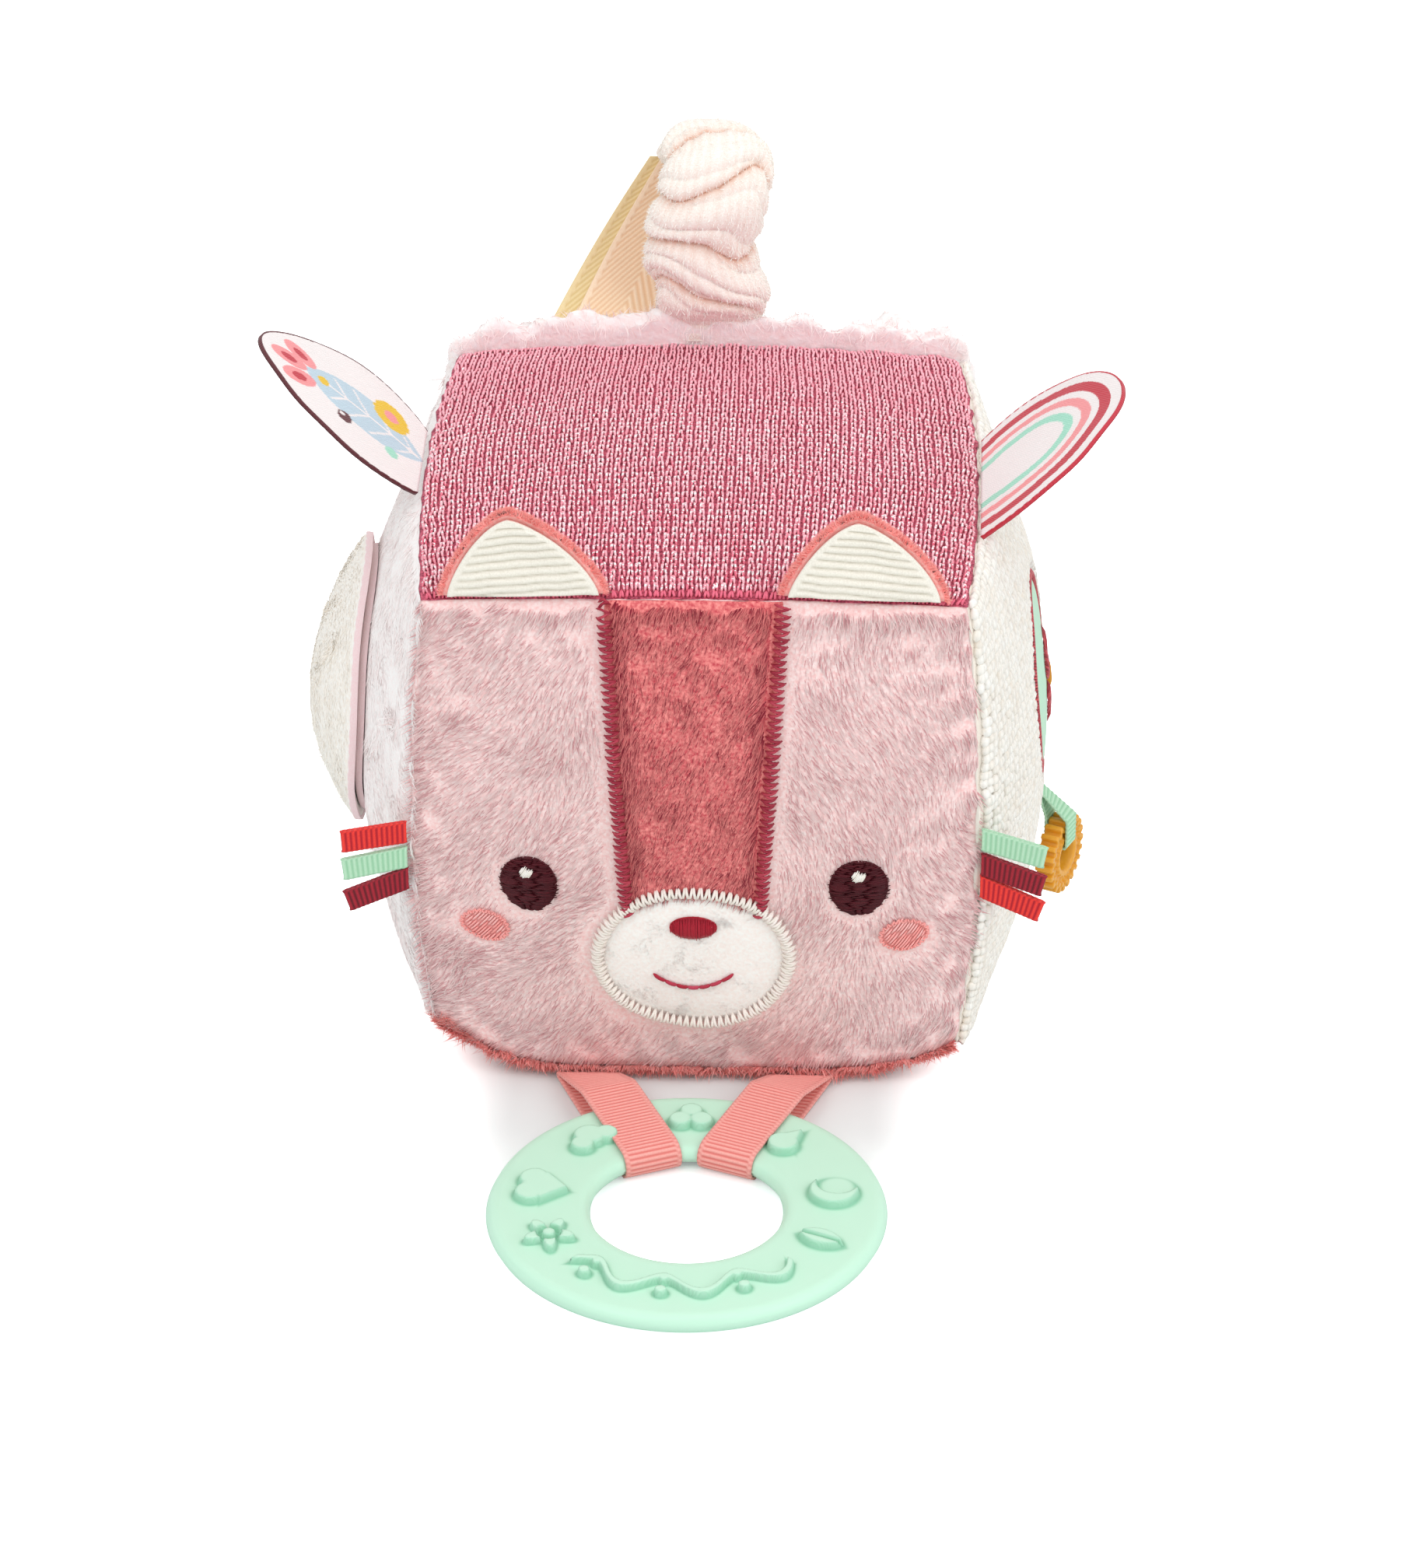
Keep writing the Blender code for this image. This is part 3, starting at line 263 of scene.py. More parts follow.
@dataclass(frozen=True)
class ClothFinish:
    """Plain cloth: a fine uneven grain takes the flatness off one colour.

    Its yarns are about 0.3 mm apart, and the grain is drawn three times as coarse so that it shows.
    """

    name: str
    light: Colour
    deep: Colour
    pitch: float = 0.9 * MM
    relief: float = 0.15 * MM
    roughness: float = 0.85
    sheen: float = 0.1

    def material(self) -> Material:
        """The cloth's material, mottled and slightly rough."""
        material, shader = new_material(self.name, Roughness=self.roughness, Sheen_Weight=self.sheen)
        noise = grain(material, self.pitch)
        share = add_node(material, "ShaderNodeMapRange", {"Value": noise, "From Min": 0.3, "From Max": 0.7}, "Result")
        inputs = {0: share, 6: self.deep.linear, 7: self.light.linear}
        plug(material, shader, {"Base Color": add_node(material, "ShaderNodeMix", inputs, 2, data_type="RGBA")})
        raise_by(material, shader, noise, self.relief)
        return material


@dataclass(frozen=True)
class YarnFinish:
    """Spun yarn or embroidery thread: fine twisted fibres run along it and catch the light.

    A fibre is about 0.02 mm, and is drawn as coarse as 0.25 mm so that it shows.
    """

    name: str
    light: Colour
    deep: Colour
    roughness: float = 0.55
    sheen: float = 0.08
    fibre: float = 0.25 * MM

    def material(self) -> Material:
        """The thread's material, with each thread a little lighter or deeper than the next."""
        material, shader = new_material(self.name, Roughness=self.roughness, Sheen_Weight=self.sheen)
        noise = grain(material, self.fibre)
        tone = add_node(material, "ShaderNodeAttribute", {}, "Fac", attribute_name="tone")
        toned = add_node(
            material, "ShaderNodeMix", {0: tone, 6: self.light.linear, 7: self.deep.linear}, 2, data_type="RGBA"
        )
        share = add_node(material, "ShaderNodeMapRange", {"Value": noise, "From Min": 0.25, "From Max": 1.3}, "Result")
        colour = add_node(material, "ShaderNodeMix", {0: share, 6: toned, 7: self.deep.linear}, 2, data_type="RGBA")
        plug(material, shader, {"Specular IOR Level": 0.2, "Base Color": colour})
        raise_by(material, shader, noise, 0.06 * MM)
        return material


@dataclass(frozen=True)
class LurexKnitFinish:
    """Jersey yarn plated with a silver film: matt pink loops with bright flecks on them.

    The film is a strip of about 0.3 mm, and is drawn 0.55 mm coarse so that it shows.
    """

    name: str

    def material(self) -> Material:
        """The knit's material: yarn by tone, and film where the loop's fleck and a fine noise agree.

        The film's share is the noise plus the fleck less a broad patchiness, stretched to a hard edge.
        """
        material, shader = new_material(self.name)
        noise = grain(material, 0.55 * MM, 1.0)
        tone = add_node(material, "ShaderNodeAttribute", {}, "Fac", attribute_name="tone")
        fleck = add_node(material, "ShaderNodeAttribute", {}, "Fac", attribute_name="fleck")
        inputs = {0: tone, 6: Colour.KNIT_LIGHT.linear, 7: Colour.KNIT_DEEP.linear}
        yarn = add_node(material, "ShaderNodeMix", inputs, 2, data_type="RGBA")
        met = add_node(material, "ShaderNodeMath", {0: noise, 1: fleck}, operation="ADD")
        inputs = {"Value": grain(material, 3 * MM, 3.0), "From Min": 1.7, "From Max": -0.7}
        patches = add_node(material, "ShaderNodeMapRange", inputs, "Result")
        film = add_node(material, "ShaderNodeMath", {0: met, 1: patches}, operation="SUBTRACT")
        film = add_node(material, "ShaderNodeMapRange", {"Value": film, "From Min": 0.52, "From Max": 0.58}, "Result")
        colour = add_node(material, "ShaderNodeMix", {0: film, 6: yarn, 7: Colour.SILVER.linear}, 2, data_type="RGBA")
        gloss = add_node(material, "ShaderNodeMapRange", {"Value": film, "To Min": 0.75, "To Max": 0.35}, "Result")
        plug(material, shader, {"Base Color": colour, "Roughness": gloss})
        raise_by(material, shader, noise, 0.1 * MM)
        return material


@dataclass(frozen=True)
class RibFinish:
    """Ribbed cloth or ribbon: painted shade makes its valleys deeper in colour than its ribs, and the same mix lays a
    print where the mesh marks one.

    Its threads are about 0.2 mm, and their grain is drawn 0.4 mm coarse so that it shows.
    """

    name: str
    ridge: Colour
    valley_shade_and_print: Colour
    roughness: float = 0.6
    sheen: float = 0.05

    def material(self) -> Material:
        """The ribbed material: painted shade or print by the deep attribute, and a fine grain of threads."""
        material, shader = new_material(self.name, Roughness=self.roughness, Sheen_Weight=self.sheen)
        noise = grain(material, 0.4 * MM)
        # deep: painted shade in valleys and creases, or a printed pattern where the mesh marks one
        deep = add_node(material, "ShaderNodeAttribute", {}, "Fac", attribute_name="deep")
        inputs = {0: deep, 6: self.ridge.linear, 7: self.valley_shade_and_print.linear}
        colour = add_node(material, "ShaderNodeMix", inputs, 2, data_type="RGBA")
        share = add_node(material, "ShaderNodeMapRange", {"Value": noise, "From Min": 0.35, "From Max": 1.8}, "Result")
        worn = add_node(material, "ShaderNodeMix", {0: share, 6: colour, 7: self.valley_shade_and_print.linear}, 2, data_type="RGBA")
        plug(material, shader, {"Specular IOR Level": 0.25, "Base Color": worn})
        raise_by(material, shader, noise, 0.05 * MM)
        return material


@dataclass(frozen=True)
class SatinFinish:
    """Woven satin label: smooth slanting twill lines with a low silky gloss, coloured by its weft, with painted shade
    in the twill's furrows.

    The twill is about 0.3 mm from line to line, and is drawn 0.8 mm coarse so that it shows.
    """

    name: str
    pitch: float = 0.8 * MM
    furrow_shade: tuple[float, ...] = (0.72, 0.66, 0.66, 1)

    def material(self) -> Material:
        """The label's material: weft colours from the mesh, with painted shade along the slanting twill's furrows."""
        material, shader = new_material(self.name, Roughness=0.5, Sheen_Weight=0.1)
        wave = twill_lines(material, (0.8, 0.6, 0), self.pitch)
        twill = add_node(material, "ShaderNodeMapRange", {"Value": wave, "From Min": -1, "From Max": 1}, "Result")
        share = add_node(material, "ShaderNodeMapRange", {"Value": twill, "From Min": -3, "From Max": 1}, "Result")
        weft = add_node(material, "ShaderNodeAttribute", {}, "Color", attribute_name="weft")
        inputs = {0: share, 6: self.furrow_shade, 7: (1, 1, 1, 1)}
        shade = add_node(material, "ShaderNodeMix", inputs, 2, data_type="RGBA")
        inputs = {0: 1.0, 6: weft, 7: shade}
        both = add_node(material, "ShaderNodeMix", inputs, 2, data_type="RGBA", blend_type="MULTIPLY")
        plug(material, shader, {"Base Color": both})
        raise_by(material, shader, twill, 0.08 * MM)
        return material


@dataclass(frozen=True)
class MouldedFinish:
    """Moulded silicone or plastic: one even colour with a barely uneven skin.

    A blasted tool leaves pits of about 0.1 mm, and they are drawn 0.6 mm coarse so that they show.
    """

    name: str
    colour: Colour
    roughness: float
    subsurface: float = 0.0
    metallic: float = 0.0
    # foot: the painted shade round a raised motif's foot
    foot: Optional[Colour] = None

    def material(self) -> Material:
        """The moulding's material: a faint relief as off a blasted tool, and painted shade at a motif's foot where a
        foot colour is given.
        """
        material, shader = new_material(self.name, Roughness=self.roughness, Metallic=self.metallic)
        colour = self.colour.linear
        if self.foot:
            deep = add_node(material, "ShaderNodeAttribute", {}, "Fac", attribute_name="deep")
            inputs = {0: deep, 6: colour, 7: self.foot.linear}
            colour = add_node(material, "ShaderNodeMix", inputs, 2, data_type="RGBA")
        plug(material, shader, {"Subsurface Weight": self.subsurface, "Subsurface Radius": (1.0, 1.0, 1.0)})
        plug(material, shader, {"Subsurface Scale": 1.5 * MM, "Base Color": colour})
        raise_by(material, shader, grain(material, 0.6 * MM), 0.01 * MM)
        return material


Finish = Union[
    PileFinish, ClothFinish, YarnFinish, LurexKnitFinish, RibFinish, SatinFinish, MouldedFinish, Material
]

# Shapes


@dataclass
class Surface:
    """Arrays of one mesh.

    points holds its places, faces the numbers of each face's corners, values one number, vector or
    colour for each place, normals the shading directions where the mesh sets its own, and smooth
    whether its faces are shaded as one.
    """

    points: Array
    faces: Array
    values: dict[str, Array] = field(default_factory=dict)
    normals: Optional[Array] = None
    smooth: bool = True


def joined(parts: Sequence[Surface]) -> Surface:
    """Several surfaces as one, with each one's corners counted on from the last.

    Args:
        parts: the surfaces, which carry the same values.
    Returns:
        The whole.
    """
    starts = np.cumsum([0] + [len(p.points) for p in parts[:-1]])
    faces = np.concatenate([p.faces + s for p, s in zip(parts, starts)])
    points = np.concatenate([p.points for p in parts])
    values = {key: np.concatenate([p.values[key] for p in parts]) for key in parts[0].values}
    own = parts[0].normals is not None
    normals = np.concatenate([p.normals for p in parts]) if own else None
    return Surface(points, faces, values, normals)


def new_object(name: str, data: ID) -> Object:
    """Puts a mesh, a lamp or a camera in the scene.

    Args:
        name: its name.
        data: the mesh, lamp or camera.
    Returns:
        The object.
    """
    made = bpy.data.objects.new(name, data)
    bpy.context.scene.collection.objects.link(made)
    return made


def add_piece(
    name: str, surface: Surface, finish: Finish, body: str, replaced: Sequence[str] = ()
) -> Object:
    """Makes a mesh object that rides on a body.

    Args:
        name: the piece's name.
        surface: its arrays.
        finish: a finish with a material method, or a material.
        body: the body that carries it.
        replaced: the nodes that it stands for.
    Returns:
        The object.
    """
    mesh = bpy.data.meshes.new(name)
    faces = np.ascontiguousarray(surface.faces, np.int32)
    mesh.vertices.add(len(surface.points))
    mesh.vertices.foreach_set("co", np.ascontiguousarray(surface.points, np.float32).ravel())
    mesh.loops.add(faces.size)
    mesh.loops.foreach_set("vertex_index", faces.ravel())
    mesh.polygons.add(len(faces))
    mesh.polygons.foreach_set("loop_start", np.arange(0, faces.size, faces.shape[1], dtype=np.int32))
    mesh.update(calc_edges=True)
    for key, value in surface.values.items():
        kinds = {1: ("FLOAT", "value"), 3: ("FLOAT_VECTOR", "vector"), 4: ("FLOAT_COLOR", "color")}
        kind, word = kinds[1 if value.ndim == 1 else value.shape[1]]
        attribute = mesh.attributes.new(key, kind, "POINT")
        attribute.data.foreach_set(word, np.ascontiguousarray(value, np.float32).ravel())
    if surface.smooth:
        mesh.shade_smooth()
    else:
        mesh.shade_flat()
    if surface.normals is not None:
        mesh.normals_split_custom_set_from_vertices(surface.normals.astype(np.float32))
    mesh.materials.append(finish if isinstance(finish, Material) else finish.material())
    piece = new_object(name, mesh)
    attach(piece, body)
    if replaced:
        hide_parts(*replaced)
    LOG.info(
        "%s: %d triangles, lowest %.2f mm", name, len(faces) * (faces.shape[1] - 2), surface.points[:, 2].min() / MM
    )
    return piece


def unit(vectors: Array) -> Array:
    """Vectors of length 1 along the last axis."""
    return vectors / np.maximum(np.linalg.norm(vectors, axis=-1, keepdims=True), 1e-12)


def ease(value: Array, low: float, high: float) -> Array:
    """0 below low and 1 above high, with a smooth S between them: three squares less two cubes."""
    share = np.clip((value - low) / (high - low), 0, 1)
    return share * share * (3 - 2 * share)


def ripple(places: Array, pitch: float, seed: int, waves: int = 8) -> Array:
    """Smooth noise of about -1 to 1: a sum of sine waves that run in chance directions.

    Args:
        places: places in metres.
        pitch: about the length of a wave.
        seed: for the directions and phases.
        waves: how many are added up.
    Returns:
        The noise at each place.
    """
    draw = np.random.default_rng(seed)
    ways = unit(draw.normal(size=(waves, places.shape[-1]))) * draw.uniform(0.7, 1.4, (waves, 1))
    phases = draw.uniform(0, TURN, waves)
    total = sum(np.sin(places @ (way * TURN / pitch) + phase) for way, phase in zip(ways, phases))
    return total / math.sqrt(waves)


def grid_faces(rows: int, columns: int, round_rows: bool = False, round_columns: bool = False) -> Array:
    """Corners of the four-sided faces of a grid, which may close on itself either way.

    Args:
        rows: places down the grid.
        columns: places across it.
        round_rows: whether the last row meets the first.
        round_columns: whether the last column meets the first.
    Returns:
        Faces by 4.
    """
    index = np.arange(rows * columns).reshape(rows, columns)
    if round_rows:
        index = np.vstack([index, index[:1]])
    if round_columns:
        index = np.hstack([index, index[:, :1]])
    corners = [index[:-1, :-1], index[1:, :-1], index[1:, 1:], index[:-1, 1:]]
    return np.stack(corners, axis=-1).reshape(-1, 4)


def sheet_between(low: Array, high: Array, values: Optional[dict[str, Array]] = None, closed: bool = False) -> Surface:
    """A closed sheet between two grids of places, with one more row at each edge to turn round it.

    Args:
        low: the under face's places, rows by columns.
        high: the upper face's places.
        values: grids that both faces carry.
        closed: whether the last row meets the first.
    Returns:
        The sheet, with its faces pointing out.
    """
    rows, columns = low.shape[:2]
    around = np.concatenate([high, low[:, ::-1]], axis=1)
    faces = grid_faces(rows, 2 * columns, closed, True)
    if not closed:
        ends = []
        for row in (0, rows - 1):
            start = row * 2 * columns
            up = start + np.arange(columns)
            down = start + 2 * columns - 1 - np.arange(columns)
            quads = np.stack([up[:-1], up[1:], down[1:], down[:-1]], axis=-1)
            ends.append(quads if row == 0 else quads[:, ::-1])
        faces = np.concatenate([faces, *ends])
    carried = {}
    for key, value in (values or {}).items():
        both = np.concatenate([value, value[:, ::-1]], axis=1)
        carried[key] = both.reshape(rows * 2 * columns, *value.shape[2:])
    return outward(Surface(around.reshape(-1, 3), faces, carried))


def outward(surface: Surface) -> Surface:
    """Turns a closed surface's faces to point out, by the sign of the volume that they enclose.

    Args:
        surface: the surface, of triangles or of four-sided faces.
    Returns:
        The same surface.
    """
    corners = surface.points[surface.faces] - surface.points.mean(axis=0)
    volume = np.einsum("ij,ij->i", np.cross(corners[:, 0], corners[:, 1]), corners[:, 2])
    if surface.faces.shape[1] == 4:
        volume = volume + np.einsum("ij,ij->i", np.cross(corners[:, 0], corners[:, 2]), corners[:, 3])
    if volume.sum() < 0:
        surface.faces = surface.faces[:, ::-1]
    return surface


def threads(paths: Array, radius: Array, up: Array, sides: int = 4, tone: Optional[Array] = None) -> Surface:
    """Closed round threads.

    Each thread is a circle carried along its path, with its ends drawn in and closed.

    Args:
        paths: places, threads by points by 3.
        radius: a number, or threads by points.
        up: the way out of the cloth, threads by 3 or threads by points by 3.
        sides: 4 or 6 sides.
        tone: a shade for each thread.
    Returns:
        All the threads as one surface.
    """
    count, length = paths.shape[:2]
    up = up[:, None] if up.ndim == 2 else up
    run = unit(np.gradient(paths, axis=1))
    side = unit(np.cross(run, np.broadcast_to(up, paths.shape)))
    top = np.cross(side, run)
    angles = np.arange(sides) * TURN / sides + TURN / sides / 2
    size = np.broadcast_to(radius, (count, length)) * 1.0
    size[:, [0, -1]] *= 0.35
    ring = side[:, :, None] * np.cos(angles)[:, None] + top[:, :, None] * np.sin(angles)[:, None]
    points = paths[:, :, None] + ring * size[:, :, None, None]
    one = grid_faces(length, sides, False, True)
    caps = [[0, 1, 2, 3]] if sides == 4 else [[0, 1, 2, 3], [0, 3, 4, 5]]
    last = (length - 1) * sides
    caps += [[last + c for c in reversed(cap)] for cap in caps]
    one = np.concatenate([one, caps])
    faces = one[None] + (np.arange(count) * length * sides)[:, None, None]
    shades = np.zeros(count) if tone is None else tone
    carried = {"tone": np.repeat(shades, length * sides)}
    return outward(Surface(points.reshape(-1, 3), faces.reshape(-1, 4), carried))


def framed(shape: Callable, first: Array, second: Array, turn: int = 1) -> tuple[Array, Array, Array, Array]:
    """A surface's places, its ways out and its two ways along, from places a small step apart.

    Args:
        shape: the places for two shares.
        first: shares one way.
        second: shares the other way.
        turn: 1 where the first way crossed with the second looks out, and -1 where it looks in.
    Returns:
        Places, ways out, ways along the first share and ways along the second.
    """
    step = 2e-3
    along = unit(shape(first + step, second) - shape(first - step, second))
    up = unit(shape(first, second + step) - shape(first, second - step))
    return shape(first, second), unit(np.cross(along, up)) * turn, along, up


@dataclass(frozen=True)
class Hair:
    """How the tufts of a pile grow.

    length and width are one tuft's, and lean is how far it lies over for each 1 that it rises. stray is
    its chance slant along the cloth, lock the width of the locks that the tufts gather in, pull how far
    they gather, flat its thickness for each 1 of width, joints and droop what bends a long one, and
    cloth how much its shading follows the cloth under it, where 0 leaves its own faces.
    """

    length: float
    width: float
    lean: float
    stray: float = 0.25
    lock: float = 5 * MM
    pull: float = 0.35
    flat: float = 0.6
    joints: int = 1
    droop: float = 0.0
    cloth: float = 0.75


def hairs(roots: Array, out: Array, comb: Array, hair: Hair, seed: int, scale: Optional[Array] = None) -> Surface:
    """Closed three-sided tufts that stand on a surface, flat side down.

    A tuft runs from its root along the way out plus the combing, and bends by droop with the square of
    its length. Its width shrinks to a point.

    Args:
        roots: places, tufts by 3.
        out: the surface's way out at each.
        comb: the way that the pile lies at each.
        hair: sizes.
        seed: for the chance slants.
        scale: a share of the length for each tuft.
    Returns:
        All the tufts as one surface.
    """
    draw = np.random.default_rng(seed)
    count = len(roots)
    gather = np.stack([ripple(roots, hair.lock, seed + i) for i in range(3)], axis=-1)
    flat = comb + gather * hair.pull + draw.normal(size=(count, 3)) * hair.stray
    flat = flat - out * np.einsum("ij,ij->i", flat, out)[:, None]
    way = unit(out + flat * hair.lean)
    length = hair.length * draw.uniform(0.7, 1.15, count) * (1.0 if scale is None else scale)
    side = unit(np.cross(way, out + draw.normal(size=(count, 3)) * 0.3))
    top = np.cross(side, way)
    bend = comb * hair.droop + gather * hair.droop * 0.4 - np.array([0, 0, hair.droop * 0.5])
    steps = np.arange(hair.joints) / hair.joints
    rows, shading = [], []
    for step in steps:
        middle = roots + (way * step + bend * step**2) * length[:, None]
        for angle in (-TURN / 12, TURN / 4, 7 * TURN / 12):
            wide, high = side * math.cos(angle), top * math.sin(angle)
            rows.append(middle + (wide + high * hair.flat) * hair.width / 2 * (1 - 0.5 * step))
            shading.append(out * hair.cloth + (wide + high) * (1 - hair.cloth))
    rows.append(roots + (way + bend) * length[:, None])
    shading.append(out * (hair.cloth + 0.1) + way * 0.3)
    points = np.stack(rows, axis=1)
    per = 3 * hair.joints + 1
    pairs = [(3 * ring + k, 3 * ring + (k + 1) % 3) for ring in range(hair.joints - 1) for k in range(3)]
    faces = [[0, 1, 2]] + [[b, a, a + 3] for a, b in pairs] + [[b, a + 3, b + 3] for a, b in pairs]
    last = per - 4
    faces += [[last + (k + 1) % 3, last + k, per - 1] for k in range(3)]
    # tip carries the painted shade: 0 at a tuft's root deep in the pile, 1 at its tip
    tip = np.concatenate([np.repeat(steps, 3), [1.0]])
    lock = 0.5 + 0.5 * ripple(roots * np.array([1, 1, 0.3]), hair.lock * 0.15, seed + 9)
    tone = np.clip(0.25 * lock + 1.5 * draw.random(count) ** 2 - 0.2, 0, 1)
    carried = {"tip": np.tile(tip**0.7, count), "tone": np.repeat(tone, per)}
    all_faces = np.array(faces)[None] + (np.arange(count) * per)[:, None, None]
    normals = unit(np.stack(shading, axis=1)).reshape(-1, 3) if hair.cloth > 0 else None
    return Surface(points.reshape(-1, 3), all_faces.reshape(-1, 3), carried, normals, hair.cloth > 0)


def sown(count: int) -> tuple[Array, Array]:
    """Evenly strewn shares of -1 to 1 both ways: steps of the two plastic ratios, less their whole parts."""
    number = np.arange(1, count + 1)
    return 2 * np.modf(number * 0.7548776662)[0] - 1, 2 * np.modf(number * 0.5698402910)[0] - 1


@dataclass
class StuffedBlock:
    """The stuffed shape that every sewn piece follows: a box whose faces swell between their seams."""

    width: float = 138 * MM
    depth: float = 145 * MM
    height: float = 140 * MM
    side_crown: float = 14 * MM
    side_bow: float = 8 * MM
    front_crown: float = 4 * MM
    back_crown: float = 7 * MM
    end_bow: float = 4 * MM
    top_crown: float = 4 * MM
    top_bow: float = 5 * MM
    crown_power: float = 2.2
    flat_share: float = 0.5
    edge_lift: float = 2.5 * MM
    left_corner_lift: float = 16 * MM
    right_corner_lift: float = 8 * MM
    cloth: float = 2.6 * MM
    seam_dip: float = 1.3 * MM
    seam_reach: float = 2.6 * MM
    pucker: float = 0.45 * MM
    pucker_pitch: float = 9 * MM

    @property
    def middle(self) -> Array:
        """The block's middle, from which its skin is pushed out or in."""
        return np.array([0.0, 0.0, self.height / 2])

    def crown(self, first: Array, second: Array) -> Array:
        """1 in the middle of a face and 0 along its seams."""
        return (1 - np.abs(first) ** self.crown_power) * (1 - np.abs(second) ** self.crown_power)

    def skin(self, cube: Array) -> Array:
        """Places on the skin: each half size plus its crown and its bow, less the lift of the bottom edges.

        Args:
            cube: places on a cube of -1 to 1.
        Returns:
            The places in metres.
        """
        x, y, z = np.moveaxis(np.asarray(cube, float), -1, 0)

        def bow(first: Array, second: Array) -> Array:
            """1 in the middle of a face and 0 at its corners."""
            return (2 - first**2 - second**2) / 2

        width = self.width / 2 + self.side_crown * self.crown(y, z) + self.side_bow * bow(y, z)
        end = np.where(y < 0, self.front_crown, self.back_crown)
        depth = self.depth / 2 + end * self.crown(x, z) + self.end_bow * bow(x, z)
        top = self.height / 2 + self.top_crown * self.crown(x, y) + self.top_bow * bow(x, y)
        ramps = [np.clip((np.abs(a) - self.flat_share) / (1 - self.flat_share), 0, 1) ** 2 for a in (x, y)]
        corner = np.where(x < 0, self.left_corner_lift, self.right_corner_lift)
        rise = self.edge_lift * np.maximum(*ramps) + corner * ramps[0] * ramps[1]
        height = np.where(z > 0, top, self.height / 2 - rise)
        return np.stack([x * width, y * depth, self.height / 2 + z * height], axis=-1)

    def cube(self, axis: int, sign: int, first: Array, second: Array) -> Array:
        """Places on one face of the cube.

        Args:
            axis: the axis that the face looks along.
            sign: its sign.
            first: places one way.
            second: places the other way.
        Returns:
            The cube places.
        """
        parts = [np.asarray(first, float), np.asarray(second, float)]
        parts.insert(axis, np.full_like(parts[0], sign))
        return np.stack(parts, axis=-1)

    def shares(self, axis: int, first: Array, second: Array) -> tuple[Array, Array]:
        """Cube places for lengths along a side or an end and heights, as the solids use them.

        Args:
            axis: 0 for a side and 1 for an end.
            first: lengths from the face's middle line.
            second: heights.
        Returns:
            The cube places both ways.
        """
        half, swell = ((self.depth / 2, self.end_bow), (self.width / 2, self.side_bow))[axis]
        z = (second - self.height / 2) / (self.height / 2)
        return first / (half + swell * (1 - z**2) / 2), z

    def dressed(self, axis: int, sign: int, first: Array, second: Array) -> Array:
        """Skin with its seams drawn in, puckers along them and the slight unevenness of stuffing.

        Args:
            axis: the axis that the face looks along.
            sign: its sign.
            first: cube places one way.
            second: cube places the other way.
        Returns:
            The places in metres.
        """
        place = self.skin(self.cube(axis, sign, first, second))
        ray = unit(place - self.middle)
        halves = [h / 2 for i, h in enumerate((self.width, self.depth, self.height)) if i != axis]
        gaps = [(1 - np.abs(a)) * h for a, h in zip((first, second), halves)]
        seam = np.minimum(*gaps)
        dip = self.seam_dip * np.exp(-((seam / self.seam_reach) ** 2))
        wave = ripple(place, self.pucker_pitch, 5 + axis) * self.pucker * np.exp(-seam / self.pucker_pitch)
        swell = ripple(place, 38 * MM, 11) * 0.5 * MM * ease(seam, 2 * MM, 20 * MM)
        under = ease(place[..., 2], 0.5 * MM, 6 * MM)
        return place + ray * ((wave + swell) * under - dip)[..., None]

    def patch(self, axis: int, sign: int, first: Array, second: Array) -> tuple[Array, Array, Array, Array]:
        """Places, ways out and the two ways along the skin, for cube places on a face."""
        turn = -sign if axis == 1 else sign
        return framed(lambda f, s: self.dressed(axis, sign, f, s), first, second, turn)

    def spot(self, axis: int, sign: int, first: Array, second: Array, lift: Lift) -> Array:
        """Places over a side or an end at lengths along it and heights, lifted off the skin."""
        place, out, _, _ = self.patch(axis, sign, *self.shares(axis, first, second))
        return place + out * np.broadcast_to(lift, out.shape[:-1])[..., None]

    def seam(self, first: Sequence[float], second: Sequence[float], stand: float) -> tuple[Array, Array]:
        """Middle and direction of a straight line over a seam, from two cube places.

        Args:
            first: the cube place of one end.
            second: that of the other end.
            stand: how far the line stands over the seam.
        Returns:
            The middle and the direction.
        """
        ends = self.skin(np.array([first, second], float))
        middle = self.skin((np.array(first, float) + second) / 2)
        return middle + np.array([0, 0, stand]), unit(ends[1] - ends[0])


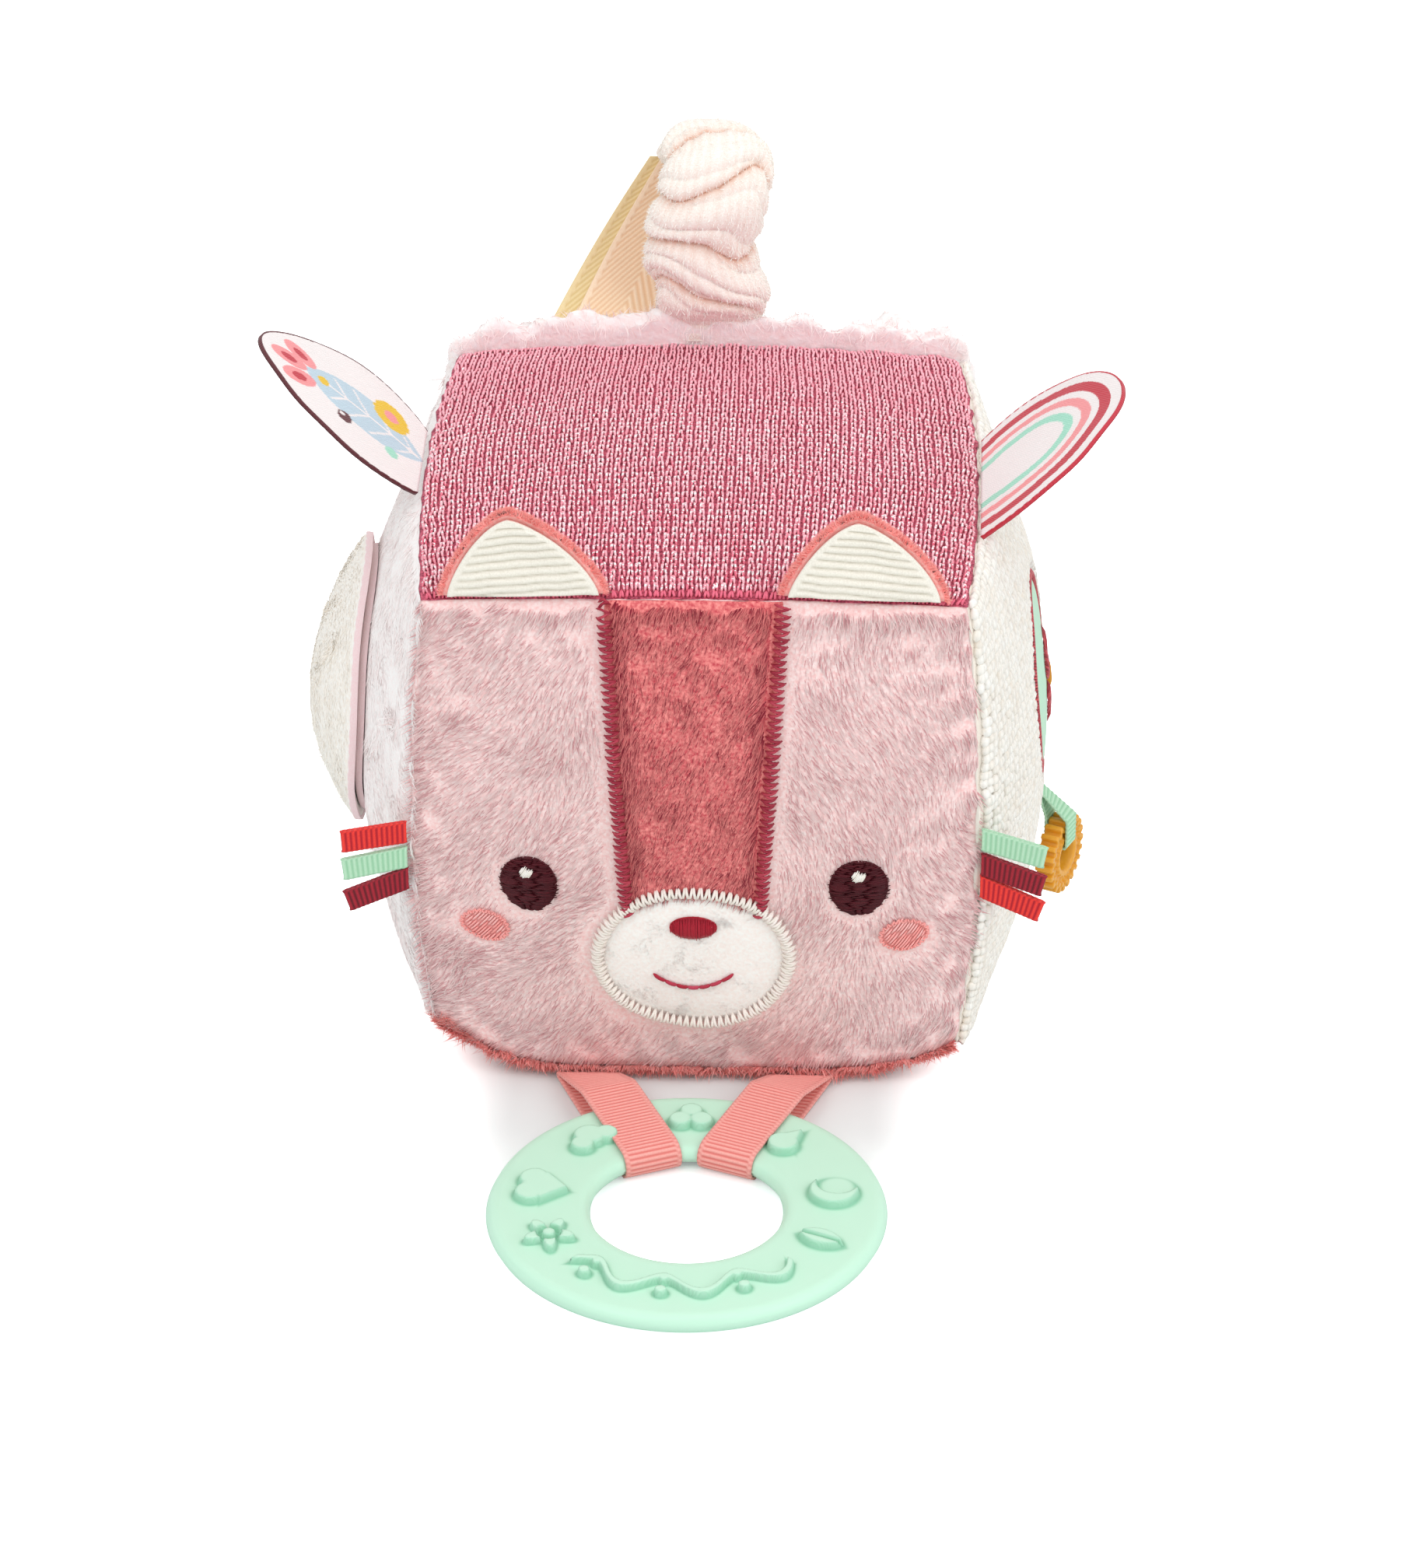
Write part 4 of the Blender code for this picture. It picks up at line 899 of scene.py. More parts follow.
@dataclass
class Stage:
    """Floor, light and camera."""

    lens: float = 122.47
    place: tuple[float, float, float] = (0.0353, -1.2492, 0.7603)
    pitch_deg: float = 29.73
    yaw_deg: float = -1.49
    lit: float = 0.68
    floor_half: float = 6.0
    board: tuple[float, ...] = (0.83, 0.87, 0.87, 1)
    glow_from: tuple[float, ...] = (0.045, 0.095, 0)
    glow_rate: tuple[float, ...] = (33, 15, 0)
    aim: tuple[float, ...] = (0, 0, 70 * MM)

    def build(self) -> None:
        """Makes the white floor and surround, three soft lamps and the camera."""
        self.make_floor()
        self.make_world()
        self.make_lamp("key", (-0.8, -1.0, 1.5), size=1.1, power=8.5)
        self.make_lamp("fill", (1.1, -0.7, 1.1), size=1.2, power=8.0)
        self.make_lamp("top", (0.1, 0.5, 1.7), size=1.2, power=4.0)
        self.make_camera()

    def make_floor(self) -> None:
        """A white floor that keeps the shadow and fades to plain white away from the block.

        The glow grows with the distance from a rectangle under the block, sooner at its sides.
        """
        mesh = bpy.data.meshes.new("floor")
        corners = [(x * self.floor_half, y * self.floor_half, 0) for x, y in ((-1, -1), (1, -1), (1, 1), (-1, 1))]
        mesh.from_pydata(corners, [], [(0, 1, 2, 3)])
        material, shader = new_material("white studio board, matt", Roughness=0.9)
        plug(material, shader, {"Base Color": self.board, "Specular IOR Level": 0.1})
        way = add_node(material, "ShaderNodeTexCoord", {}, "Object")
        steps = {"ABSOLUTE": None, "SUBTRACT": self.glow_from, "MAXIMUM": (0, 0, 0), "MULTIPLY": self.glow_rate}
        for operation, other in steps.items():
            inputs = {0: way} if other is None else {0: way, 1: other}
            way = add_node(material, "ShaderNodeVectorMath", inputs, "Vector", operation=operation)
        away = add_node(material, "ShaderNodeVectorMath", {0: way}, "Value", operation="LENGTH")
        inputs = {"Value": away, "To Min": 0.02}
        share = add_node(material, "ShaderNodeMapRange", inputs, interpolation_type="SMOOTHSTEP")
        seen = add_node(material, "ShaderNodeLightPath", {}, "Is Camera Ray")
        strength = add_node(material, "ShaderNodeMath", {0: share, 1: seen}, operation="MULTIPLY")
        glow = add_node(material, "ShaderNodeEmission", {"Color": (1, 1, 1, 1), "Strength": strength})
        both = add_node(material, "ShaderNodeAddShader", {0: shader.outputs[0], 1: glow})
        plug(material, material.node_tree.nodes["Material Output"], {"Surface": both})
        mesh.materials.append(material)
        new_object("floor", mesh)

    def make_world(self) -> None:
        """Even light from all round, and plain white where the camera or a reflection looks past the floor."""
        world = bpy.data.worlds.new("studio")
        bpy.context.scene.world = world
        world.use_nodes = True
        rays = {
            k: add_node(world, "ShaderNodeLightPath", {}, f"Is {ray} Ray") for k, ray in enumerate(("Camera", "Glossy"))
        }
        most = add_node(world, "ShaderNodeMath", rays, operation="MAXIMUM")
        level = add_node(world, "ShaderNodeMapRange", {"Value": most, "To Min": self.lit, "To Max": 1.0}, "Result")
        plug(world, world.node_tree.nodes["Background"], {"Strength": level, "Color": (1, 1, 1, 1)})

    def make_lamp(self, name: str, place: Sequence[float], size: float, power: float) -> None:
        """A square soft lamp that points at the block's middle.

        Args:
            name: the lamp's name.
            place: where it stands.
            size: the length of its edge.
            power: its watts.
        """
        lamp = bpy.data.lights.new(name, "AREA")
        lamp.size = size
        lamp.energy = power
        new_object(name, lamp).matrix_world = look_along(np.array(place), np.array(self.aim) - np.array(place))

    def make_camera(self) -> None:
        """The photograph's camera, fitted to the block's corners and the teething ring."""
        pitch, yaw = math.radians(self.pitch_deg), math.radians(self.yaw_deg)
        way = [math.sin(yaw) * math.cos(pitch), math.cos(yaw) * math.cos(pitch), -math.sin(pitch)]
        camera = bpy.data.cameras.new("camera")
        camera.lens = self.lens
        camera.sensor_width = 36.0
        camera.clip_start = 0.01
        holder = new_object("camera", camera)
        holder.matrix_world = look_along(np.array(self.place), np.array(way))
        bpy.context.scene.camera = holder


def look_along(place: Array, way: Array) -> Matrix:
    """The matrix of a lamp or camera that looks along a way with the sky upwards.

    Args:
        place: where it stands.
        way: where it looks.
    Returns:
        The matrix.
    """
    way = unit(way)
    right = unit(np.cross(way, [0, 0, 1]))
    matrix = np.eye(4)
    matrix[:3, :3] = np.stack([right, np.cross(right, way), -way], axis=1)
    matrix[:3, 3] = place
    return Matrix(matrix)


# Pieces


class Panel(Enum):
    """The block's faces: the axis that each looks along and its sign."""

    FRONT = (1, -1)
    BACK = (1, 1)
    LEFT = (0, -1)
    RIGHT = (0, 1)
    TOP = (2, 1)
    BOTTOM = (2, -1)

    @property
    def turn(self) -> int:
        """1 where the first way crossed with the second looks out of the block, and -1 where in."""
        axis, sign = self.value
        return -sign if axis == 1 else sign


@dataclass
class Cover:
    """Six sewn cloths, which the piles and knits stand on."""

    block: StuffedBlock
    cells: int = 60
    edge_share: float = 0.35
    lowest: float = 0.9 * MM

    def build(self) -> None:
        """Makes each cloth in the colour of its yarn's shaded roots."""
        grounds = {
            Panel.FRONT: ("front_plush", Colour.PINK_TIP, Colour.PINK_ROOT),
            Panel.BACK: ("pink_fur", Colour.FUR_TIP, Colour.FUR_ROOT),
            Panel.LEFT: ("blush_plush", Colour.BLUSH_TIP, Colour.BLUSH_ROOT),
            Panel.RIGHT: ("chenille", Colour.CREAM_SHADE, Colour.CREAM_ROOT),
            Panel.TOP: ("jersey", Colour.KNIT_DEEP, Colour.KNIT_SHADOW),
            Panel.BOTTOM: ("coral_plush", Colour.CORAL_TIP, Colour.CORAL_ROOT),
        }
        for panel, (slot, light, deep) in grounds.items():
            finish = ClothFinish(f"knitted polyester ground, {panel.name.lower()}", light, deep)
            self.make_cloth(panel, finish)

    def make_cloth(self, panel: Panel, finish: ClothFinish) -> None:
        """One cloth between its seams, with more rows near them.

        Args:
            panel: the face.
            finish: its material.
        """
        share = np.linspace(-1, 1, self.cells + 1)
        steps = self.edge_share * share + (1 - self.edge_share) * np.sin(share * math.pi / 2)
        first, second = np.meshgrid(steps, steps, indexing="ij")
        high = self.block.dressed(*panel.value, first, second)
        low = self.block.middle + (high - self.block.middle) * (1 - 2 * self.block.cloth / self.block.width)
        if panel is Panel.BOTTOM:
            high[..., 2] = np.maximum(high[..., 2], self.lowest)
            low[..., 2] = np.maximum(low[..., 2], self.lowest + self.block.cloth)
        name = panel.name.lower()
        piece = add_piece(f"{name}_cloth", sheet_between(low, high), finish, "block", [f"{name}_panel"])


@dataclass
class Pile:
    """Hairs sown over a surface of two shares of -1 to 1.

    length gives the share of full length at each place, where 0 is bare, and way gives the combing
    along the first and the second share.
    """

    name: str
    shape: Callable[[Array, Array], Array]
    turn: int
    finish: PileFinish
    slot: str
    hair: Hair
    count: int
    seed: int
    length: Callable[[Array, Array], Array] = lambda first, second: np.ones_like(first)
    way: Callable[[Array, Array], tuple] = lambda first, second: (0.2 * np.sin(3 * second), -1.0)
    body: str = "block"
    lowest: float = -1.0

    def build(self, replaced: Sequence[str] = ()) -> Object:
        """Sows the hairs and makes the piece.

        Args:
            replaced: the nodes that the piece stands for.
        Returns:
            The piece.
        """
        first, second = sown(self.count)
        share = np.broadcast_to(self.length(first, second), first.shape)
        kept = share > 0.04
        first, second, share = first[kept], second[kept], share[kept]
        place, out, along, up = framed(self.shape, first, second, self.turn)
        side, rise = self.way(first, second)
        comb = unit(
            along * np.broadcast_to(side, first.shape)[:, None] + up * np.broadcast_to(rise, first.shape)[:, None]
        )
        surface = hairs(place - out * 0.2 * MM, out, comb, self.hair, self.seed, share)
        surface.points[:, 2] = np.maximum(surface.points[:, 2], self.lowest)
        return add_piece(self.name, surface, self.finish, self.body, replaced)


@dataclass
class Knit:
    """Knitted stitches over one face: pairs of yarn legs that lean together at the top of each stitch."""

    block: StuffedBlock
    name: str
    panel: Panel
    slot: str
    wales: int
    courses: int
    yarn: float
    rise: float
    apart: float = 0.29
    meet: float = 0.1
    overlap: float = 0.62
    points: int = 5
    sides: int = 4
    seed: int = 3
    wander: float = 0.05

    def legs(self, low: float = -1.0, high: float = 1.0) -> Surface:
        """Yarn legs of the stitches whose course lies between two shares.

        Each leg runs along a straight line from the foot of its stitch to its head, bowed out of the
        cloth by half a sine, and dips under the next stitch at its end.

        Args:
            low: where the wanted courses begin.
            high: where they end.
        Returns:
            The legs, with each one's tone, fleck and course.
        """
        draw = np.random.default_rng(self.seed)
        step = 1 - 2 / self.wales, 2 / self.courses
        wale = np.linspace(-step[0], step[0], self.wales)
        course = np.arange(-1 + step[1] / 2, 1, step[1])
        course = course[(course >= low) & (course < high)]
        hand = np.array([-1.0, 1.0])
        grid = np.stack(np.meshgrid(wale, course, hand, indexing="ij"), axis=-1).reshape(-1, 3)
        wale, course, hand = grid.T
        wobble = draw.normal(size=(len(wale), 2)) * self.wander
        run = np.linspace(0, 1, self.points)
        pitch = 2 / self.wales
        apart_now = self.apart + (self.meet - self.apart) * run
        first = wale[:, None] + pitch * (hand[:, None] * apart_now + wobble[:, :1])
        second = course[:, None] + step[1] * (self.overlap * (2 * run - 1) + wobble[:, 1:])
        first, second = np.clip(first, -0.995, 0.995), np.clip(second, -0.995, 0.995)
        place, out, _, _ = self.block.patch(*self.panel.value, first, second)
        hump = np.sin(math.pi * (0.08 + 0.84 * run))
        lift = self.rise * hump + self.yarn * 0.35
        radius = self.yarn * (0.75 + 0.25 * hump) * draw.uniform(0.88, 1.12, (len(wale), 1))
        tone = np.clip(draw.normal(0.35, 0.25, len(wale)), 0, 1)
        surface = threads(place + out * lift[:, None], radius, out, self.sides, tone)
        fleck = np.broadcast_to(hump[None, :, None], (len(wale), self.points, self.sides))
        surface.values["fleck"] = fleck.reshape(-1) * 0.55
        surface.values["course"] = np.repeat(course, self.points * self.sides)
        return surface


@dataclass
class Needlework:
    """Pads and stitches over one side or end of the block, placed by lengths along it and heights."""

    block: StuffedBlock
    axis: int
    sign: int

    def on(self, first: Array, second: Array, lift: Lift) -> Array:
        """Places over the face."""
        return self.block.spot(self.axis, self.sign, first, second, lift)

    def oval(
        self, centre: Sequence[float], size: Sequence[float], lift: float, rise: float, power: float, cells: int = 24,
        edge: float = 0.15 * MM,
    ) -> Surface:
        """A pad over an oval.

        A square grid is drawn in to a disc, and the pad's thickness is rise times 1 less the radius
        to a power, plus an edge.

        Args:
            centre: length along the face and height.
            size: its width and height.
            lift: how far it lies off the skin.
            rise: its full thickness.
            power: how square its section is.
            cells: faces along each side.
            edge: the thickness at its rim.
        Returns:
            The pad.
        """
        steps = np.linspace(-1, 1, cells + 1)
        u, v = np.meshgrid(steps, steps, indexing="ij")
        u, v = u * np.sqrt(1 - v**2 / 2), v * np.sqrt(1 - u**2 / 2)
        first, second = centre[0] + u * size[0] / 2, centre[1] + v * size[1] / 2
        thick = edge + rise * (1 - np.clip(np.hypot(u, v), 0, 1) ** power)
        surface = sheet_between(self.on(first, second, lift), self.on(first, second, lift + thick))
        surface.values["tone"] = np.full(len(surface.points), 0.8)
        return surface

    def band(
        self, centre: Sequence[float], inner: float, outer: float, lift: float, rise: float, power: float = 2.0,
        cells: int = 12
    ) -> Surface:
        """A round band, whose thickness falls from its middle to its edges by a power.

        Args:
            centre: length along the face and height.
            inner: radius of its hole.
            outer: radius of its rim.
            lift: how far it lies off the skin.
            rise: its full thickness.
            power: how square its section is.
            cells: places across it.
        Returns:
            The band, with round dots in deep.
        """
        turn, w = np.meshgrid(np.linspace(0, TURN, 240, endpoint=False), np.linspace(-1, 1, cells), indexing="ij")
        radius = (inner + outer) / 2 + w * (outer - inner) / 2
        first, second = centre[0] + np.cos(turn) * radius, centre[1] + np.sin(turn) * radius
        thick = 0.1 * MM + rise * (1 - np.abs(w) ** power)
        dots = np.hypot(np.mod(turn * outer / (4.2 * MM), 1) - 0.5, w * 0.5) * 4.2
        low, high = self.on(first, second, lift), self.on(first, second, lift + thick)
        return sheet_between(low, high, {"deep": 1 - ease(dots, 0.7, 0.95)}, closed=True)

    def filling(
        self, centre: Sequence[float], size: Sequence[float], lift: float, rise: float, angle_deg: float = 0.0,
        pitch: float = 0.42 * MM, cuts: int = 3, ragged: float = 0.4 * MM, radius: float = 0.27 * MM, seed: int = 1,
    ) -> Surface:
        """Satin stitches that fill an oval over a low pad.

        Rows of thread lie one pitch apart across the oval, each as long as its chord give or take the
        ragged length, and each row is cut in a few stitches that dip into the cloth at their ends.

        Args:
            centre: length along the face and height.
            size: the oval's width and height.
            lift: how far the rim lies off the skin.
            rise: how much higher the middle lies.
            angle_deg: the slant of the rows.
            pitch: from row to row.
            cuts: stitches in a row.
            ragged: how uneven the rows' ends are.
            radius: half the thread's thickness.
            seed: for the chance lengths.
        Returns:
            The stitches.
        """
        draw = np.random.default_rng(seed)
        turn = math.radians(angle_deg)
        cos, sin = math.cos(turn), math.sin(turn)
        half = math.hypot(size[0] / 2 * cos, size[1] / 2 * sin), math.hypot(size[0] / 2 * sin, size[1] / 2 * cos)
        rows = max(4, round(2 * half[1] / pitch))
        cross = np.linspace(-1, 1, rows + 2)[1:-1]
        chord = half[0] * np.sqrt(1 - cross**2)[:, None] + draw.uniform(-1, 1, (rows, 2)) * ragged
        joint = np.linspace(-1, 1, cuts + 1)[None] + np.zeros((rows, 1))
        joint[:, 1:-1] += draw.uniform(-0.8, 0.8, (rows, cuts - 1)) / cuts
        ends = np.where(joint < 0, joint * chord[:, :1], joint * chord[:, 1:])
        run = np.linspace(0, 1, 5)
        along = ends[:, :-1, None] + (ends[:, 1:] - ends[:, :-1])[..., None] * run
        across = np.broadcast_to((cross * half[1])[:, None, None], along.shape)
        across = across + draw.normal(size=(rows, cuts, 1)) * 0.05 * MM
        share = np.clip(np.hypot(along / half[0], across / half[1]), 0, 1)
        high = lift + rise * (1 - share**4) + 0.16 * MM * np.sin(math.pi * run)
        return self.stitches(
            centre[0] + along * cos - across * sin, centre[1] + along * sin + across * cos, high, radius, draw
        )

    def crossing(
        self, line: Array, width: float, lift: float, rise: float, slant: float = 0.25,
        radius: float = 0.26 * MM, seed: int = 2,
    ) -> Surface:
        """Satin stitches across a line of places, each bowed out of the cloth by half a sine.

        Args:
            line: lengths along the face and heights, one pair for each stitch.
            width: half a stitch's length.
            lift: how far its ends lie off the skin.
            rise: how much higher its middle lies.
            slant: how far it leans along the line, for each 1 of width.
            radius: half the thread's thickness.
            seed: for the chance lengths.
        Returns:
            The stitches.
        """
        draw = np.random.default_rng(seed)
        run = unit(np.gradient(line, axis=0))
        square = np.stack([-run[:, 1], run[:, 0]], axis=-1)
        share = np.linspace(-1, 1, 6)
        size = width * draw.uniform(0.85, 1.15, (len(line), 1))
        lean = slant * width * np.where(np.arange(len(line)) % 2, 1.0, -1.0)[:, None]
        flat = line[:, None] + square[:, None] * (share * size)[..., None] + run[:, None] * (share * lean)[..., None]
        high = lift + rise * np.cos(share * math.pi / 2) + np.zeros((len(line), 1))
        return self.stitches(flat[..., 0], flat[..., 1], high, radius, draw)

    def stitches(self, first: Array, second: Array, high: Array, radius: float, draw: np.random.Generator) -> Surface:
        """Threads along places at heights over the face, with a chance tone each.

        Args:
            first: lengths along the face.
            second: heights.
            high: how far each place lies off the skin.
            radius: half the thread's thickness.
            draw: for the tones.
        Returns:
            The threads.
        """
        points = first.shape[-1]
        paths = self.on(first, second, high).reshape(-1, points, 3)
        out = unit(self.on(first, second, high + 1 * MM).reshape(-1, points, 3) - paths)
        return threads(paths, radius, out, 4, draw.random(len(paths)) * 0.8)


@dataclass
class Face:
    """A plain animal face: plush stripe, muzzle, eyes, cheeks, nose and mouth."""

    block: StuffedBlock
    gap: float = 0.3 * MM
    stripe_widths: tuple[float, float] = (45 * MM, 35 * MM)
    patch: float = 1.6 * MM
    muzzle_size: tuple[float, float] = (50 * MM, 43 * MM)
    muzzle_share: float = -0.43
    eye_size: tuple[float, float] = (15 * MM, 16.5 * MM)
    eye_shares: tuple[float, float] = (0.61, -0.12)
    cheek_size: tuple[float, float] = (12 * MM, 9 * MM)
    cheek_shares: tuple[float, float] = (0.78, -0.345)
    nose_size: tuple[float, float] = (12 * MM, 7 * MM)
    nose_share: float = 0.5
    glint: float = 3.4 * MM
    glint_shares: tuple[float, float] = (-0.05, 0.5)
    mouth_width: float = 20 * MM
    mouth_share: float = -0.2
    mouth_drop: float = 4 * MM
    stitch: float = 1.0 * MM
    border: float = 1.6 * MM

    def __post_init__(self) -> None:
        """Takes up the needle for the front."""
        self.needle = Needlework(self.block, 1, -1)

    def at(self, shares: Sequence[float]) -> Array:
        """Length across and height of a place given as shares of the front's half sizes."""
        return np.array([shares[0] * self.block.width / 2, self.block.height / 2 * (1 + shares[1])])

    @property
    def muzzle(self) -> Array:
        """The muzzle's middle."""
        return self.at((0, self.muzzle_share))

    def muzzle_top(self, x: Array) -> Array:
        """Height of the muzzle's upper outline: an ellipse."""
        share = np.clip(x / (self.muzzle_size[0] / 2), -1, 1)
        return self.muzzle[1] + self.muzzle_size[1] / 2 * np.sqrt(1 - share**2)

    def stripe_half(self, z: Array) -> Array:
        """Half the stripe's width at a height.

        Args:
            z: heights.
        Returns:
            Half widths.
        """
        foot = self.muzzle_top(np.array(0.0))
        down = np.clip((self.block.height - z) / (self.block.height - foot), 0, 1.2)
        return (self.stripe_widths[0] + (self.stripe_widths[1] - self.stripe_widths[0]) * down) / 2

    def outside(self, x: Array, z: Array, centre: Sequence[float], size: Sequence[float]) -> Array:
        """How far a place lies outside an oval."""
        reach = np.hypot((x - centre[0]) * 2 / size[0], (z - centre[1]) * 2 / size[1])
        return (reach - 1) * min(size) / 2

    def bare(self, first: Array, second: Array) -> Array:
        """Share of the pile's length that is left at a place of the front: none under the face's parts.

        Args:
            first: shares across the front.
            second: shares up it.
        Returns:
            The share of the length at each place.
        """
        z = self.block.height / 2 * (1 + second)
        x = first * (self.block.width / 2 + self.block.side_bow * (1 - second**2) / 2)
        clear = np.abs(x) - self.stripe_half(z) - self.border - 0.6 * MM
        clear = np.where(z < self.muzzle[1], 1.0, clear)
        clear = np.minimum(clear, self.outside(x, z, self.muzzle, self.muzzle_size) - self.border)
        for sign in (-1, 1):
            eye = self.at((sign * self.eye_shares[0], self.eye_shares[1]))
            cheek = self.at((sign * self.cheek_shares[0], self.cheek_shares[1]))
            clear = np.minimum(clear, self.outside(x, z, eye, self.eye_size) - 0.2 * MM)
            clear = np.minimum(clear, self.outside(x, z, cheek, self.cheek_size) + 0.1 * MM)
        return np.where(clear < 0, 0, 0.35 + 0.65 * ease(clear, 0, 3 * MM))

    def build(self) -> None:
        """Makes the stripe and the muzzle with their borders, then the embroidery."""
        self.make_stripe()
        self.make_muzzle()
        dark = YarnFinish(
            "rayon embroidery thread, dark wine", Colour.EYE_THREAD, Colour.SATIN_DARK, roughness=0.4, sheen=0.0
        )
        white = YarnFinish("rayon embroidery thread, white", Colour.WHITE_THREAD, Colour.CREAM_THREAD, roughness=0.45)
        rose = YarnFinish("rayon embroidery thread, rose", Colour.ROSE_THREAD, Colour.EAR_ROOT, roughness=0.45)
        for side in Side:
            eye = self.at((side.value * self.eye_shares[0], self.eye_shares[1]))
            stitches = self.needle.filling(
                eye, self.eye_size, lift=self.gap + 0.2 * MM, rise=self.stitch, ragged=0.7 * MM, cuts=3
            )
            pad = self.needle.oval(eye, self.eye_size, lift=0, rise=self.stitch, power=4)
            add_piece(f"{side.label}_eye", joined([pad, stitches]), dark, "block", [f"eye_{side.label}"])
            shine = [e + s * size / 2 for e, s, size in zip(eye, self.glint_shares, self.eye_size)]
            size = (self.glint, self.glint)
            stitches = self.needle.filling(
                shine, size, lift=self.stitch + 2 * self.gap, rise=0.35 * MM, angle_deg=60, cuts=1, ragged=0.5 * MM
            )
            add_piece(f"{side.label}_glint", stitches, white, "block", [f"eye_glint_{side.label}"])
            cheek = self.at((side.value * self.cheek_shares[0], self.cheek_shares[1]))
            stitches = self.needle.filling(
                cheek, self.cheek_size, lift=self.gap + 0.1 * MM, rise=0.45 * MM, angle_deg=55, pitch=0.8 * MM, cuts=2,
                ragged=0.3 * MM, radius=0.3 * MM,
            )
            pad = self.needle.oval(cheek, self.cheek_size, lift=0, rise=0.35 * MM, power=4)
            pad.values["tone"][:] = 0.2
            turn = np.linspace(0, TURN, 46)[:-1]
            line = cheek + np.stack([np.cos(turn), np.sin(turn)], axis=-1) * np.array(self.cheek_size) / 2
            edge = self.needle.crossing(
                line, width=0.5 * MM, lift=self.gap + 0.1 * MM, rise=0.7 * MM, slant=0.6, radius=0.24 * MM
            )
            edge.values["tone"][:] = 0.6
            pad = joined([pad, edge])
            add_piece(
                f"{side.label}_cheek", joined([pad, stitches]), rose, "block", [f"cheek_{side.label}"]
            )
        crimson = YarnFinish("rayon embroidery thread, crimson", Colour.CRIMSON_THREAD, Colour.WINE, roughness=0.4)
        nose = self.muzzle + np.array([0, self.nose_share * self.muzzle_size[1] / 2])
        over = self.patch + 2 * self.gap
        stitches = self.needle.filling(nose, self.nose_size, over, rise=self.stitch * 0.8, angle_deg=90, cuts=1)
        pad = self.needle.oval(nose, self.nose_size, lift=over - 0.4 * MM, rise=0.8 * MM, power=3)
        add_piece("nose_stitches", joined([pad, stitches]), crimson, "block", ["nose"])
        self.make_mouth(over)

    def make_mouth(self, over: float) -> None:
        """A line of long stitches on a smile: the drop grows with the square of the place across.

        Args:
            over: how far the muzzle's face lies off the skin.
        """
        centre = np.linspace(-1, 1, 8)[:-1] + 1 / 7
        run = np.linspace(-1, 1, 6)
        share = centre[:, None] + run / 7 * 1.15
        x = self.muzzle[0] + share * self.mouth_width / 2
        z = self.muzzle[1] + self.mouth_share * self.muzzle_size[1] / 2 + self.mouth_drop * (share**2 - 1)
        high = over + 0.35 * MM * np.cos(run * math.pi / 2) + np.zeros_like(x)
        finish = YarnFinish("cotton stranded thread, rose red", Colour.SMILE_THREAD, Colour.CRIMSON_THREAD)
        surface = self.needle.stitches(x, z, high, 0.5 * MM, np.random.default_rng(4))
        add_piece("mouth_stitches", surface, finish, "block", ["mouth"])

    def stripe(self, u: Array, v: Array, lift: Lift) -> Array:
        """Places over the stripe: across from side to side and up from the muzzle to the seam.

        Args:
            u: shares across.
            v: shares up.
            lift: how far the places lie off the skin.
        Returns:
            The places.
        """
        across = u * self.stripe_widths[1] / 2
        foot = self.muzzle_top(across) + self.gap
        z = foot + (self.block.height - self.gap - foot) * (v + 1) / 2
        return self.needle.on(u * self.stripe_half(z), z, lift)

    def make_stripe(self) -> None:
        """The plush stripe with satin stitches over its long edges."""
        steps = [np.linspace(-1, 1, n) for n in (24, 48)]
        u, v = np.meshgrid(*steps, indexing="ij")
        thick = self.patch * (1 - u**8)
        ground = ClothFinish("knitted polyester ground, coral", Colour.CORAL_TIP, Colour.CORAL_ROOT)
        cloth = sheet_between(self.stripe(u, v, 0.05 * MM), self.stripe(u, v, 0.15 * MM + thick * 0.8))
        add_piece("stripe_cloth", cloth, ground, "block", ["centre_stripe"])
        plush = PileFinish("short cut plush, coral", Colour.CORAL_TIP, Colour.CORAL_ROOT, Colour.CORAL_SHADE)
        Pile(
            "stripe_pile", shape=lambda f, s: self.stripe(f * 0.88, s, self.patch * 0.75),
            turn=1, finish=plush, slot="coral_plush",
            hair=Hair(
                length=4.5 * MM, width=0.45 * MM, lean=6.5, stray=0.15, lock=12 * MM, pull=0.15, flat=0.25, cloth=0.9,
            ),
            count=11000, seed=21,
            way=lambda f, s: (-0.35, -1.0),
        ).build()
        z = np.arange(self.muzzle[1] + 14 * MM, self.block.height - 1.5 * MM, 0.95 * MM)
        finish = YarnFinish(
            "rayon embroidery thread, dark coral", Colour.STRIPE_THREAD, Colour.STRIPE_THREAD_DEEP,
            roughness=0.5, sheen=0.0,
        )
        parts = []
        for sign in (-1, 1):
            line = np.stack([sign * self.stripe_half(z), z], axis=-1)
            parts.append(
                self.needle.crossing(
                    line, width=self.border * 1.2, lift=0.7 * MM, rise=1.9 * MM, slant=0.3, radius=0.42 * MM,
                    seed=5 + sign
                )
            )
        add_piece("stripe_border", joined(parts), finish, "block")

    def make_muzzle(self) -> None:
        """The plush muzzle with a satin stitched border."""
        ground = ClothFinish("knitted polyester ground, white", Colour.WHITE_TIP, Colour.WHITE_ROOT)
        pad = self.needle.oval(self.muzzle, self.muzzle_size, lift=0.1 * MM, rise=self.patch, power=6, cells=32)
        add_piece("muzzle_cloth", pad, ground, "block", ["muzzle_patch"])
        plush = PileFinish("short cut plush, white", Colour.WHITE_TIP, Colour.WHITE_ROOT, Colour.WHITE_SHADE)

